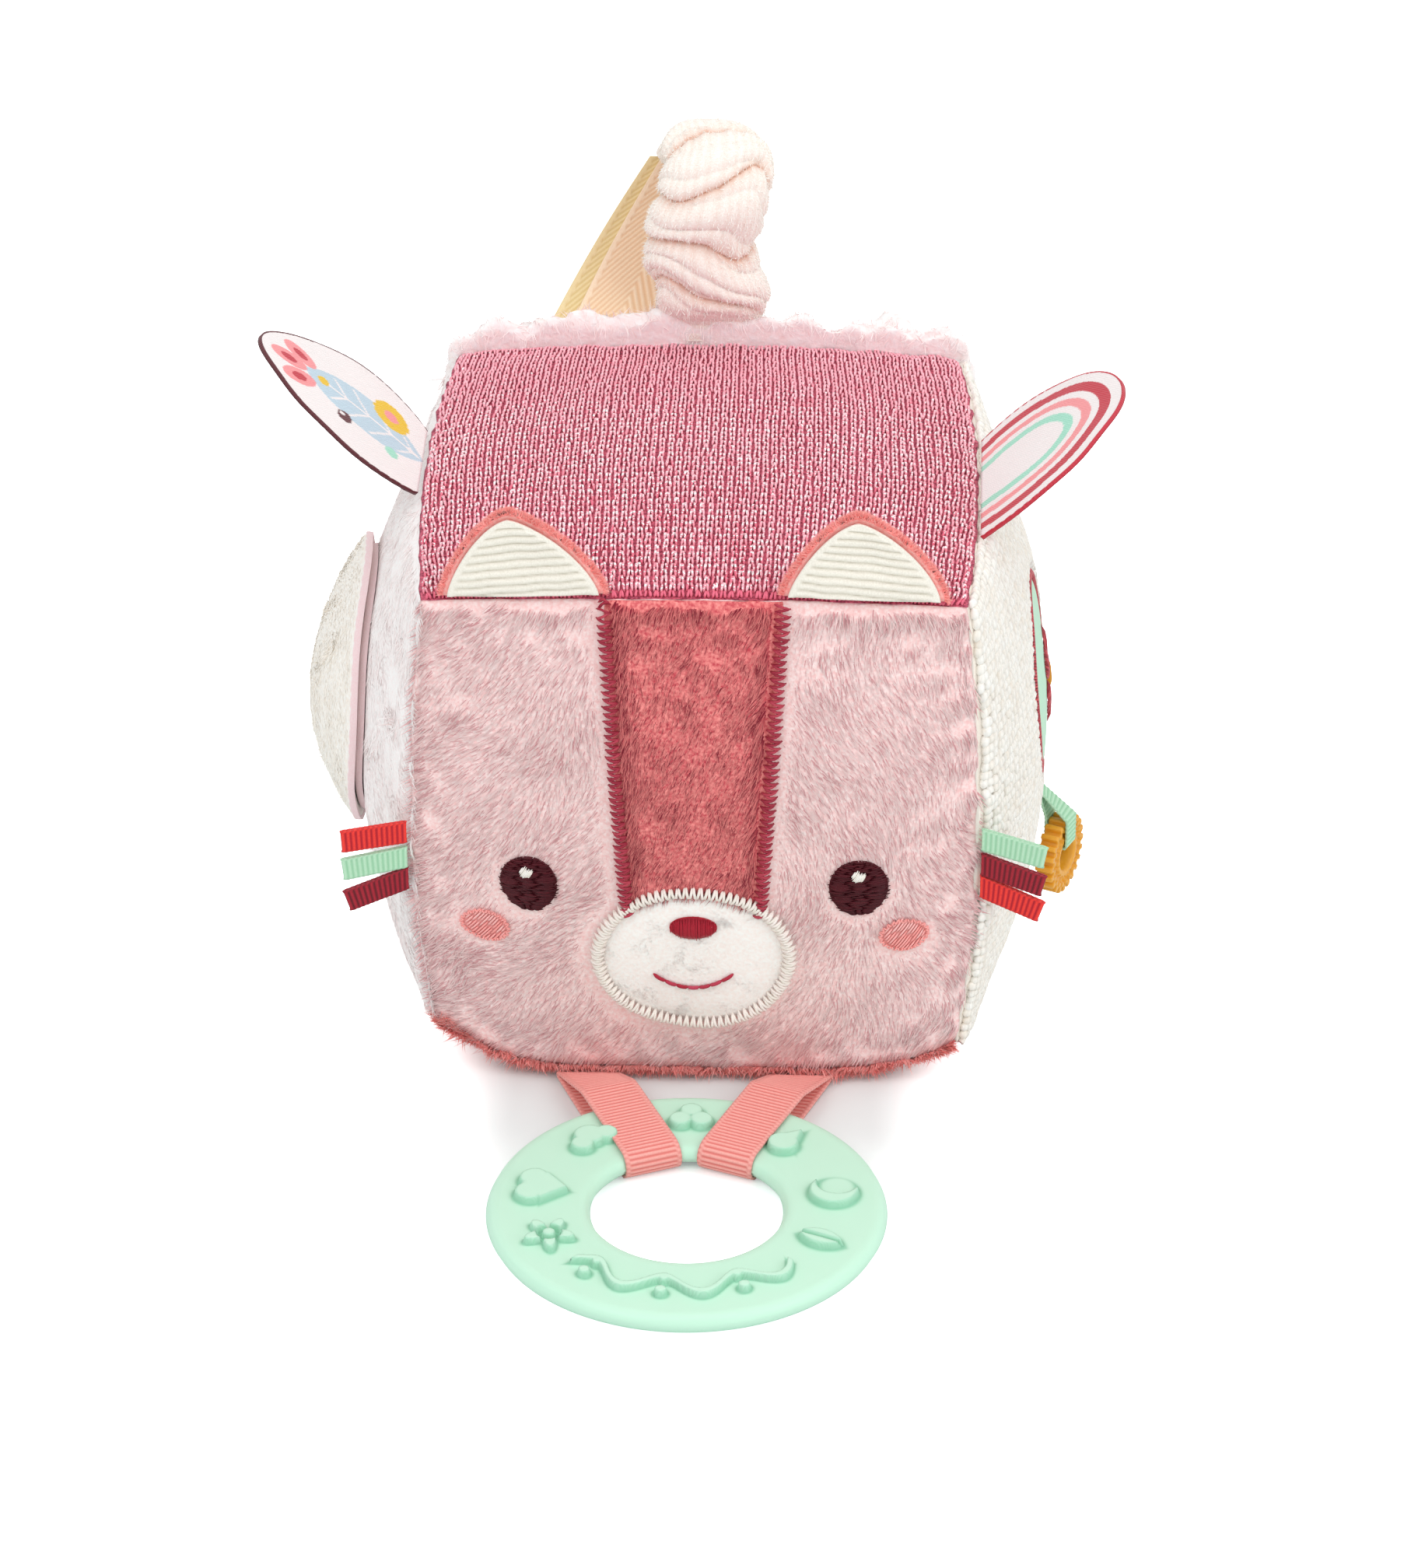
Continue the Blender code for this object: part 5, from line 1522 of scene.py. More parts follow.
        def round_place(u: Array, v: Array) -> Array:
            """The muzzle's places by a share of the turn and of the area.

            Args:
                u: shares of the turn.
                v: shares of the area.
            Returns:
                The places.
            """
            radius = np.sqrt(np.abs(v + 1) / 2) * 0.95
            x = self.muzzle[0] + radius * np.cos(u * math.pi) * self.muzzle_size[0] / 2
            z = self.muzzle[1] + radius * np.sin(u * math.pi) * self.muzzle_size[1] / 2
            return self.needle.on(x, z, 0.1 * MM + self.patch * (1 - radius**6))

        Pile(
            "muzzle_pile", round_place, turn=-1, finish=plush, slot="white_plush",
            hair=Hair(
                length=2.0 * MM, width=0.4 * MM, lean=6.0, stray=0.2, lock=9 * MM, pull=0.5, flat=0.2, cloth=0.9
            ), count=6000, seed=31, way=lambda f, s: (1.0, 0.0),
        ).build()
        turn = np.linspace(0, TURN, 171)[:-1]
        reach = np.array(self.muzzle_size) / 2 - 0.3 * MM
        line = self.muzzle + np.stack([np.cos(turn), np.sin(turn)], axis=-1) * reach
        finish = YarnFinish("rayon embroidery thread, cream", Colour.CREAM_THREAD, Colour.WHITE_ROOT)
        stitches = self.needle.crossing(
            line, width=self.border * 1.2, lift=0.6 * MM, rise=2.0 * MM, slant=0.2, radius=0.46 * MM
        )
        add_piece("muzzle_border", stitches, finish, "block")


@dataclass
class Flap:
    """A sewn leaf that stands on a straight line over a seam, in cloth coordinates.

    A place is the line's middle, plus the way along it by u times the half width, plus the way up by
    v times the reach, plus the way out by an offset. The lean shifts it along by the square of v.
    """

    base: Array
    along: Array
    up: Array
    reach: float
    half_width: Callable[[Array], Array]
    lean: float = 0.0

    @property
    def normal(self) -> Array:
        """The way out of the leaf's face."""
        return np.cross(self.along, self.up)

    def at(self, u: Array, v: Array, offset: Lift) -> Array:
        """Places of the leaf.

        Args:
            u: shares across.
            v: shares up.
            offset: how far the places lie out of the leaf.
        Returns:
            The places.
        """
        flat = self.along * (
            u * self.half_width(v) + self.lean * v**2
        )[..., None] + self.up * (v * self.reach)[..., None]
        return self.base + flat + self.normal * np.broadcast_to(offset, u.shape)[..., None]

    def net(self, cells: int, rows: int) -> tuple[Array, Array]:
        """A grid of u and v, with more rows towards the tip, where the outline turns fast.

        Args:
            cells: places across.
            rows: places up.
        Returns:
            The grids of u and of v.
        """
        share = np.linspace(0, 1, rows)
        v = (1 - (1 - share) ** 2.2) * 0.999
        u = np.linspace(-1, 1, cells)
        return tuple(np.meshgrid(v, u, indexing="ij")[::-1])


def square_up(way: Sequence[float], along: Array) -> Array:
    """A unit vector near way and square to along."""
    way = np.array(way, float)
    return unit(way - along * way.dot(along))


@dataclass
class Ear:
    """An ear: a corduroy front whose ribs run across it, and a plush back that shows as a rim."""

    block: StuffedBlock
    side: Side
    width: float = 38 * MM
    height: float = 21 * MM
    corner_margin: float = 7.5 * MM
    rim: float = 1.3 * MM
    front: float = 1.6 * MM
    back: float = 2.2 * MM
    cup: float = 1.8 * MM
    edge: float = 0.35 * MM
    gap: float = 0.3 * MM
    rib_pitch: float = 2.2 * MM
    rib: float = 0.55 * MM
    rib_slope: float = 0.07
    lean: float = -2.6 * MM

    def flap(self, rim: float) -> Flap:
        """The ear's leaf: its half width is a power of 1 less a power of the height.

        Args:
            rim: how much wider and taller than the ear it is.
        Returns:
            The leaf.
        """
        half = self.width / self.block.width
        centre = 1 - (2 * self.corner_margin + self.width) / self.block.width
        ends = [(self.side.value * centre + way * half, -1, 1) for way in (-1, 1)]
        base, along = self.block.seam(*ends, self.gap * 1.5 + self.edge)

        def outline(v: Array) -> Array:
            """Half the ear's width at a share of its height."""
            return (self.width / 2 + rim) * (1 - np.clip(v, 0, 1) ** 1.4) ** 0.7

        return Flap(base, along, square_up((0, 0, 1), along), self.height + rim, outline, self.lean)

    def hollow(self, u: Array, v: Array) -> Array:
        """How far the ear's middle lies back."""
        return -self.cup * (1 - u**2) * np.sin(math.pi * v)

    def pad(self, u: Array, v: Array, full: float) -> Array:
        """Thickness of a layer, which thins to its edges."""
        return self.edge + (full - self.edge) * (1 - u**4) * np.minimum(1, v / 0.2) * (1 - v**6)

    def build(self) -> None:
        """Makes the ribbed front and the plush back."""
        name, body = self.side.label, f"ear_{self.side.label}"
        flap = self.flap(0)
        u, v = flap.net(64, 110)
        inner = self.hollow(u, v) + self.gap / 2
        across, up = u * flap.half_width(v), v * flap.reach
        phase = (
            up + across * self.rib_slope * self.side.value + 0.12 * MM * ripple(flap.at(u, v, 0), 9 * MM, 3)
        ) / self.rib_pitch
        ribs = np.abs(np.cos(phase * math.pi)) ** 0.8
        margin = ease(np.minimum(flap.half_width(v) * (1 - np.abs(u)), flap.reach * (1 - v) * 0.9), 1.2 * MM, 2.0 * MM)
        high = inner + self.pad(u, v, self.front) + (ribs * margin + 0.5 * (1 - margin)) * self.rib
        cloth = RibFinish("cotton corduroy, cream", Colour.CORDUROY, Colour.CORDUROY_VALLEY_SHADE, roughness=0.85, sheen=0.3)
        # painted shade in the corduroy's valleys, which fades out towards the ear's edge
        values = {"deep": (1 - ribs) ** 1.5 * margin * 0.7}
        surface = sheet_between(flap.at(u, v, inner), flap.at(u, v, high), values)
        surface.values["weave"] = surface.points
        add_piece(f"ear_{name}_corduroy", surface, cloth, body, [f"ear_{name}_front"])
        rim = self.flap(self.rim)
        u, v = rim.net(30, 40)
        outer = self.hollow(u, v) - self.gap / 2
        ground = ClothFinish("knitted polyester ground, light coral", Colour.EAR_TIP, Colour.EAR_ROOT)
        surface = sheet_between(rim.at(u, v, outer - self.pad(u, v, self.back)), rim.at(u, v, outer))
        add_piece(f"ear_{name}_cloth", surface, ground, body, [f"ear_{name}_back"])
        self.make_pile(rim, body)

    def make_pile(self, rim: Flap, body: str) -> None:
        """Hairs over the back, and hairs that stand out all round the rim.

        Args:
            rim: the leaf of the ear's back.
            body: the body that carries it.
        """
        plush = PileFinish("short cut plush, light coral", Colour.EAR_TIP, Colour.EAR_ROOT, Colour.EAR_ROOT)

        def back(f: Array, s: Array) -> Array:
            """Places over the ear's back."""
            v = np.abs(s + 1) / 2 * 0.98
            return rim.at(f, v, self.hollow(f, v) - self.gap / 2 - self.pad(f, v, self.back))

        def edge(f: Array, s: Array) -> Array:
            """Places round its rim, by a share of the way round and one of the depth.

            Args:
                f: shares of the way round.
                s: shares of the depth.
            Returns:
                The places.
            """
            v = np.sin((f + 1) / 2 * math.pi) * 0.9995
            depth = -self.gap / 2 - (s + 1) / 2 * self.edge * 3
            return rim.at(np.where(f < 0, -1.0, 1.0), v, depth)

        hair = Hair(length=2.2 * MM, width=0.5 * MM, lean=4.0, stray=0.35, lock=3 * MM, pull=0.5, flat=0.2, cloth=0.85)
        Pile(
            f"{body}_pile", back, turn=-1, finish=plush, slot="coral_plush", hair=hair, count=3000, seed=51,
            way=lambda f, s: (0.0, 1.0), body=body,
        ).build()
        hair = Hair(length=2.1 * MM, width=0.45 * MM, lean=0.7, stray=0.9, lock=2 * MM, pull=0.9, flat=0.5, cloth=0)
        Pile(
            f"{body}_rim_pile", edge, turn=1, finish=plush, slot="coral_plush", hair=hair, count=5000, seed=52,
            way=lambda f, s: (0.0, 1.0), body=body,
        ).build()


@dataclass
class CarryingLoop:
    """A gathered velour tube that stands on the back seam and bends over, and two tapes that close the loop."""

    block: StuffedBlock
    width: float = 28 * MM
    leg: float = 38 * MM
    bend_radius: float = 12.5 * MM
    bend_deg: float = 150.0
    half_depth: float = 6 * MM
    root_half: float = 1.0 * MM
    root_length: float = 12 * MM
    tilt_deg: float = 35.0
    gap: float = 0.3 * MM
    gathers: float = 5.0
    puff: float = 3.8 * MM
    sag: float = 1.6 * MM
    tape_width: float = 21 * MM
    tape: float = 0.8 * MM
    tape_shift: float = 27.5 * MM
    layer_shift: float = 5.5 * MM
    tape_sag: float = 5 * MM
    tape_pitch: float = 1.5 * MM

    @property
    def root(self) -> Array:
        """The loop's place on the back top seam."""
        stand = self.root_half * math.sin(math.radians(self.tilt_deg)) + self.gap
        return self.block.skin([0, 1, 1]) + np.array([0, 0, stand])

    @property
    def length(self) -> float:
        """The tube's length along its middle."""
        return self.leg + self.bend_radius * math.radians(self.bend_deg)

    def middle(self, length: Array) -> tuple[Array, Array, Array]:
        """The tube's middle line: a straight leg and then a bend.

        Args:
            length: lengths along it.
        Returns:
            Places, ways forward and ways out of the front.
        """
        angle = np.clip(length - self.leg, 0, None) / self.bend_radius
        y = self.bend_radius * (1 - np.cos(angle))
        z = np.minimum(length, self.leg) + self.bend_radius * np.sin(angle)
        zero = np.zeros_like(y)
        run = np.stack([zero, np.sin(angle), np.cos(angle)], axis=-1)
        out = np.stack([zero, -np.cos(angle), np.sin(angle)], axis=-1)
        return self.root + np.stack([zero, y, z], axis=-1), run, out

    def build(self) -> None:
        """Makes the tube, its short pile and the tapes."""
        self.make_tube()
        self.make_tape("handle_tape_beige", 1, Colour.TAPE, Colour.TAPE_VALLEY_SHADE, "handle_tape_back")
        self.make_tape("handle_tape_herringbone", 0, Colour.VELOUR_TAPE, Colour.VELOUR_TAPE_VALLEY_SHADE, "handle_tape_front")

    def tube(self, share: Array, turn: Array) -> tuple[Array, Array, Array]:
        """The gathered skin.

        Round a flat oval, whose depth grows from the sewn root, bulges rise and fall with the root of a
        sine along the tube. Their creases wander round it, each bulge sags over the crease under it, and
        small pleats run across the creases.

        Args:
            share: from 0 at the root to 1 at the end.
            turn: angle round the tube.
        Returns:
            The places, the painted shade of the creases and of a rose band under the first folds, and the height of the
            velour's ribs.
        """
        opening = ease(share * self.length, 0.35 * self.root_length, 1.5 * self.root_length)
        wander = 0.95 * np.sin(turn + 0.6 + 5 * share) + 0.6 * np.sin(
            2 * turn + 1.9 - 7 * share
        ) + 0.35 * np.sin(3 * turn + 13 * share)
        phase = (share * self.gathers - 1.05) * math.pi + wander * 0.8
        bulge = np.abs(np.sin(phase)) ** 0.5
        second = np.abs(np.sin(phase * 2.3 + 1.7 * np.sin(turn + 2))) ** 0.6
        swell = opening * (0.72 * bulge + 0.28 * second)
        pleat = np.sin(turn * 17 + 4 * np.sin(9 * share)) * (1 - bulge) * opening
        ribs = 0.5 + 0.5 * np.cos(share * self.length * TURN / (2.1 * MM) + 0.8 * np.cos(turn))
        ribs = ribs * (1 - opening) + (0.5 + 0.5 * np.cos(turn * 36)) * opening
        cos, sin = np.cos(turn), np.sin(turn)
        half_depth = self.root_half + (self.half_depth - self.root_half) * np.sin(opening * math.pi / 2)
        half_depth = half_depth + (swell - 0.55 * opening) * self.puff * 1.1 + pleat * 0.5 * MM
        half_width = self.width / 2 + (swell - 0.42 * opening) * self.puff + pleat * 0.3 * MM
        half_width = half_width - 2.2 * MM * ease(share, 0.55, 1)
        place, run, out = self.middle(share * self.length)
        wide = np.sign(cos) * np.abs(cos) ** 0.8 * half_width + 2.2 * MM * np.sin(share * 10 + 0.5) * opening
        place = place + wide[..., None] * np.array([1.0, 0, 0]) + (sin * half_depth + ribs * 0.16 * MM)[..., None] * out
        place = place - run * (swell * self.sag * (1 - ease(share, 0.85, 1)))[..., None]
        # painted shade: a rose band under the first folds, on one side of the tube
        rose = 0.5 * ease(share * self.length, 9 * MM, 13 * MM) * ease(
            -share * self.length, -21 * MM, -16 * MM
        ) * ease(-sin, -0.2, 0.6)
        # painted shade, deepest in the creases between the bulges
        return place, np.clip(opening * (1 - bulge) ** 2.2 + rose * (1 - 0.6 * ribs), 0, 1), ribs

    def make_tube(self) -> None:
        """The tube, closed at both ends, and the fine pile on it."""
        share, turn = np.meshgrid(np.linspace(0, 1, 300), np.linspace(0, TURN, 150)[:-1], indexing="ij")
        place, deep, ribs = self.tube(share, turn)
        for row in (0, -1):
            place[row] = place[row].mean(axis=0) + (place[row] - place[row].mean(axis=0)) * 0.02
        # a little more painted shade between the velour's ribs
        deep = np.clip(deep + 0.15 * (1 - ribs), 0, 1)
        faces = grid_faces(*share.shape, False, True)
        surface = outward(Surface(place.reshape(-1, 3), faces, {"deep": deep.ravel(), "weave": place.reshape(-1, 3)}))
        cloth = RibFinish(
            "ribbed polyester velour, cream", Colour.VELOUR, Colour.VELOUR_CREASE_SHADE, roughness=0.9, sheen=0.15
        )
        tube = add_piece("handle_velour", surface, cloth, "handle", ["handle_tube"])
        nap = PileFinish("velour nap, cream", Colour.VELOUR, Colour.VELOUR, Colour.VELOUR)

        def skin(f: Array, s: Array) -> Array:
            """The tube's places, by a share of the turn and of the length."""
            return self.tube((s + 1) / 2 * 0.985, (f + 1) * math.pi)[0]

        hair = Hair(length=1.5 * MM, width=0.4 * MM, lean=1.6, stray=0.6, lock=2 * MM, pull=0.5, flat=0.3, cloth=0)
        Pile(
            "handle_nap", skin, turn=-1, finish=nap, slot="velour", hair=hair, count=9000, seed=61, body="handle"
        ).build()

    def make_tape(self, name: str, layer: int, light: Colour, deep: Colour, node: str) -> None:
        """One cotton tape: a sagging run from the tube's end to the seam, with herringbone lines.

        Args:
            name: the piece's name.
            layer: 0 for the tape in front and 1 for the one behind it.
            light: colour of its ridges.
            deep: the painted shade of its valleys.
            node: the solid that it stands for.
        """
        places, run, _ = self.middle(np.array([0, self.length]))
        head = places[1] + run[1] * self.gap * 2
        shift, back = layer * self.layer_shift, layer * (self.tape + self.gap)
        foot = self.block.skin([-(self.tape_shift + shift) / (self.block.width / 2), 1, 1])
        foot[1:] = places[0][1:]
        start = head + np.array([-shift / 2 - 1.5 * MM, back, 0])
        end = foot + np.array([0, back, 0])
        share, across = np.meshgrid(np.linspace(0, 1, 160), np.linspace(-1, 1, 70), indexing="ij")
        path = start + (end - start) * share[..., None]
        path = path + np.array([0, self.tape_sag, 0]) * np.sin(math.pi * share)[..., None]
        slope = math.atan2(abs(end[0] - start[0]), abs(end[2] - start[2]))
        half = self.tape_width / 2 / math.cos(slope)
        path = path + np.array([1.0, 0, 0]) * (across * half)[..., None]
        long = share * np.linalg.norm(end - start)
        wide = across * self.tape_width / 2
        folded = np.abs(np.mod(wide / (9 * MM), 2) - 1) * 9 * MM
        ridge = 0.5 + 0.5 * np.sin((long * 0.55 + folded) * TURN / self.tape_pitch)
        hem = ease(np.abs(across), 0.86, 0.9)
        height = ridge * (1 - hem) * 0.22 * MM + hem * 0.3 * MM
        normal = unit(np.cross(end - start, [1.0, 0, 0]))
        low = path - normal * (self.tape / 2 + height)[..., None]
        high = path + normal * (self.tape / 2 + height)[..., None]
        # painted shade in the herringbone's valleys, none on the hems
        values = {"deep": (1 - ridge) * (1 - hem) * 0.85}
        surface = sheet_between(low, high, values)
        surface.values["weave"] = surface.points
        piece = add_piece(
            name, surface, RibFinish(
                f"herringbone cotton tape, {name}", light, deep, roughness=0.8
            ), "handle",
            [node]
        )


@dataclass
class SatinTag:
    """A woven satin label that stands in a top side seam and curls outwards."""

    block: StuffedBlock
    side: Side
    width: float
    reach: float
    belly: float
    place: float
    thickness: float = 0.9 * MM
    rise_deg: float = 45.0
    curl: float = 4 * MM
    gap: float = 0.3 * MM

    def flap(self) -> Flap:
        """The label's leaf: its half width swells by half a sine and closes with a root at the tip."""
        half = self.width / self.block.depth
        ends = [(self.side.value, self.place + way * half, 1) for way in (-1, 1)]
        base, along = self.block.seam(*ends, self.thickness / 2 + self.gap)
        rise = math.radians(self.rise_deg)
        up = square_up((self.side.value * math.cos(rise), 0, math.sin(rise)), along)

        def half_width(v: Array) -> Array:
            """Half the label's width at a share of its reach."""
            fullness = 1 + self.belly * np.sin(math.pi * v**0.8)
            return self.width / 2 * fullness * np.sqrt(np.clip(1 - v**3, 0, 1))

        return Flap(base, along, up, self.reach, half_width)

    def edge_distance(self, flap: Flap, across: Array, up: Array) -> Array:
        """How far each place lies inside the label's outline.

        Args:
            flap: the leaf.
            across: lengths across the label.
            up: lengths up it.
        Returns:
            The distances.
        """
        v = 1 - np.linspace(1, 0, 120) ** 2.2
        half = flap.half_width(v)
        outline = np.concatenate([np.stack([w * half, v * flap.reach], axis=-1) for w in (-1, 1)])
        rows = [
            np.hypot(a[:, None] - outline[:, 0], b[:, None] - outline[:, 1]).min(axis=1) for a, b in zip(across, up)
        ]
        return np.array(rows)

    def weft(self, across: Array, up: Array, inside: Array) -> Array:
        """The woven colours at places in the label's own metres.

        Args:
            across: lengths across the label.
            up: lengths up it.
            inside: how far each place lies inside the outline.
        Returns:
            Linear colours.
        """
        if self.side is Side.RIGHT:
            return banded(inside / MM, [
                (0.5, Colour.SATIN_RED), (3.8, Colour.SATIN_WHITE), (7.3, Colour.SATIN_RED), (9.8, Colour.SATIN_WHITE),
                (12.8, Colour.SATIN_PINK), (15.3, Colour.SATIN_WHITE), (18.3, Colour.SATIN_MINT),
                (99, Colour.SATIN_WHITE),
            ])
        x, y = across / MM, up / MM
        colours = banded(inside / MM, [(0.5, Colour.SATIN_DARK), (3.0, Colour.SATIN_WHITE), (99, Colour.SATIN_WHITE)])

        def dye(where: Array, colour: Colour) -> None:
            """Colours the places where a shape's distance is below 0."""
            colours[where < 0] = colour.linear

        leaf = np.maximum(np.hypot(x - 17, y - 20), np.hypot(x + 17, y - 20)) - 26.5
        leaf = np.maximum(leaf, 3.6 - inside / MM)
        dye(leaf, Colour.SATIN_BLUE)
        vein = np.minimum(np.abs(x) - 0.5, np.abs(np.mod(y - np.abs(x) * 0.8, 7.5) - 3.7) - 0.45)
        dye(np.maximum(np.maximum(leaf + 1.2, vein), y - 34), Colour.SATIN_WHITE)
        for a, b, turn in ((-6.5, 41, 0.5), (5.5, 42, -0.45), (-0.5, 45, 0.05)):
            c, s = math.cos(turn), math.sin(turn)
            petal = np.hypot(((x - a) * c + (y - b) * s) / 3.3, (-(x - a) * s + (y - b) * c) / 5.6)
            dye(np.maximum(petal - 1, 2.2 - inside / MM), Colour.SATIN_PINK)
            dye(np.maximum(petal - 0.45, 2.2 - inside / MM), Colour.SATIN_RED)
        dots = (
            (9, 12, 6, Colour.SATIN_YELLOW), (9, 12, 2.3, Colour.SATIN_PINK), (-10, 26, 2.4, Colour.SATIN_DARK),
            (-9.3, 26.9, 0.8, Colour.SATIN_WHITE), (-9, 10, 2.2, Colour.SATIN_MINT), (0, 34, 1.8, Colour.SATIN_YELLOW),
        )
        for a, b, r, colour in dots:
            dye(np.hypot(x - a, y - b) - r, colour)
        return colours

    def build(self) -> None:
        """Makes the label as a closed thin sheet with its colours on both faces."""
        flap = self.flap()
        u, v = flap.net(130, 150)
        across, up = u * flap.half_width(v), v * flap.reach
        inside = self.edge_distance(flap, across, up)
        bend = self.side.value * self.curl * v**2
        roll = 0.35 * MM * ripple(np.stack([across, up], axis=-1), 26 * MM, 8) * v
        merrow = 0.12 * MM * np.exp(-((inside / (0.5 * MM)) ** 2))
        low, high = (flap.at(u, v, bend + roll + way * (self.thickness / 2 + merrow)) for way in (-1, 1))
        weave = np.stack([across, up, np.zeros_like(up)], axis=-1)
        surface = sheet_between(low, high, {"weft": self.weft(across, up, inside), "weave": weave})
        name = f"tag_{self.side.label}"
        satin = SatinFinish(f"woven polyester satin label, {self.side.label}")
        piece = add_piece(f"{name}_satin", surface, satin, name, [name])


def banded(value: Array, bands: Sequence[tuple[float, Colour]]) -> Array:
    """Colours by the first band whose upper end lies over the value.

    Args:
        value: lengths in millimetres.
        bands: upper ends and their colours.
    Returns:
        Linear colours.
    """
    ends = np.array([end for end, _ in bands])
    table = np.array([colour.linear for _, colour in bands])
    return table[np.minimum(np.searchsorted(ends, value), len(bands) - 1)]


@dataclass
class Ribbon:
    """A woven grosgrain loop along a closed path, whose cross ribs and selvedges stand out of it."""

    path: Array
    across: Array
    thickness: float
    rib_pitch: float = 1.35 * MM
    rib: float = 0.28 * MM
    cells: int = 14
    step: float = 0.28 * MM
    smooth: float = 0.7 * MM

    def surface(self) -> Surface:
        """The ribbon between its two faces.

        The path is taken again at even steps and smoothed by a running mean. The thickness adds half a
        cosine along it for the ribs, and a finer one in the selvedges.
        """
        path = np.vstack([self.path, self.path[:1]])
        across = np.vstack([self.across, self.across[:1]])
        reach = np.concatenate([[0], np.cumsum(np.linalg.norm(np.diff(path, axis=0), axis=1))])
        rows = round(reach[-1] / self.step)
        ribs = round(reach[-1] / self.rib_pitch)
        place = np.linspace(0, reach[-1], rows, endpoint=False)
        window = max(1, round(self.smooth / self.step)) * 2 + 1

        def even(values: Array) -> Array:
            """Values at even steps, each the mean of its neighbours round the loop.

            Args:
                values: vectors along the loop.
            Returns:
                The evened vectors.
            """
            taken = np.stack([np.interp(place, reach, values[:, k]) for k in range(3)], axis=-1)
            rolled = [np.roll(taken, shift, axis=0) for shift in range(-(window // 2), window // 2 + 1)]
            return np.mean(rolled, axis=0)

        path, across = even(path), even(across)
        run = np.roll(path, -1, axis=0) - np.roll(path, 1, axis=0)
        normal = unit(np.cross(run, across))
        u = np.linspace(-1, 1, self.cells)
        phase = place / reach[-1] * ribs
        ridge = np.broadcast_to((0.5 + 0.5 * np.cos(phase * TURN))[:, None], (rows, self.cells))
        edge = ease(np.abs(u), 0.82, 0.9)[None]
        loops = (0.5 + 0.5 * np.cos(phase * TURN + math.pi))[:, None]
        height = self.thickness / 2 - self.rib / 2 + self.rib * (ridge * (1 - edge) + (0.4 + 0.6 * loops) * edge)
        middle = path[:, None] + across[:, None] * u[:, None]
        lift = normal[:, None] * height[..., None]
        # painted shade between the cross ribs and between the selvedge loops
        deep = (1 - ridge) ** 1.5 * (1 - edge) + edge * (1 - loops) * 0.5
        wide = np.linalg.norm(across, axis=1)[:, None] * u
        weave = np.stack([wide, np.broadcast_to(place[:, None], wide.shape), np.zeros_like(wide)], axis=-1)
        return sheet_between(middle - lift, middle + lift, {"deep": deep, "weave": weave}, closed=True)


@dataclass
class SeamRibbons:
    """Three short loops of narrow ribbon in each front side seam."""

    block: StuffedBlock
    width: float = 6 * MM
    reach: float = 16 * MM
    ribbon: float = 0.5 * MM
    gap: float = 0.3 * MM
    forward_deg: float = 14.0
    fold_points: int = 13
    places: dict = field(default_factory=lambda: {
        Side.LEFT: (("red", 0.06, -3), ("mint", -0.06, -6), ("wine", -0.18, -17)),
        Side.RIGHT: (("mint", 0.06, -10), ("wine", -0.05, -14), ("red", -0.16, -18)),
    })

    def build(self) -> None:
        """Makes each loop: out of the seam, round a small fold and back to its root."""
        # the second colour of each pair is the painted shade in the ribbon's valleys
        dyes = {
            "red": (Colour.RED, Colour.CRIMSON_THREAD), "mint": (Colour.MINT, Colour.MINT_VALLEY_SHADE),
            "wine": (Colour.WINE, Colour.SATIN_DARK)
        }
        finishes = {key: RibFinish(f"polyester grosgrain ribbon, {key}", *pair, 0.55) for key, pair in dyes.items()}
        materials = {key: finish.material() for key, finish in finishes.items()}
        forward = math.radians(self.forward_deg)
        radius = (self.gap + self.ribbon) / 2
        turn = np.linspace(0, math.pi, self.fold_points)[:, None]
        for side, rows in self.places.items():
            for name, height, slope in rows:
                tilt = math.radians(slope)
                flat = math.cos(tilt)
                run = np.array([side.value * math.cos(forward) * flat, -math.sin(forward) * flat, math.sin(tilt)])
                sideways = np.array([side.value * math.sin(forward), math.cos(forward), 0])
                wide = np.cross(run, sideways)
                root = self.block.skin([side.value, -1, height]) + run * (self.gap * 1.5 + self.ribbon)
                fold = radius * (sideways * np.cos(turn) + run * np.sin(turn))
                path = np.concatenate([root + run * self.reach + fold, root - fold])
                seam = np.array([0, 0, np.sign(wide[2]) / math.cos(tilt)])
                at_root = np.arange(len(path))[:, None] >= len(turn)
                across = np.where(at_root, seam, wide) * self.width / 2
                whole = f"whisker_{side.label}_{name}"
                surface = Ribbon(path, across, self.ribbon, smooth=0.3 * MM, cells=12).surface()
                add_piece(f"{whole}_grosgrain", surface, materials[name], whole, [whole])


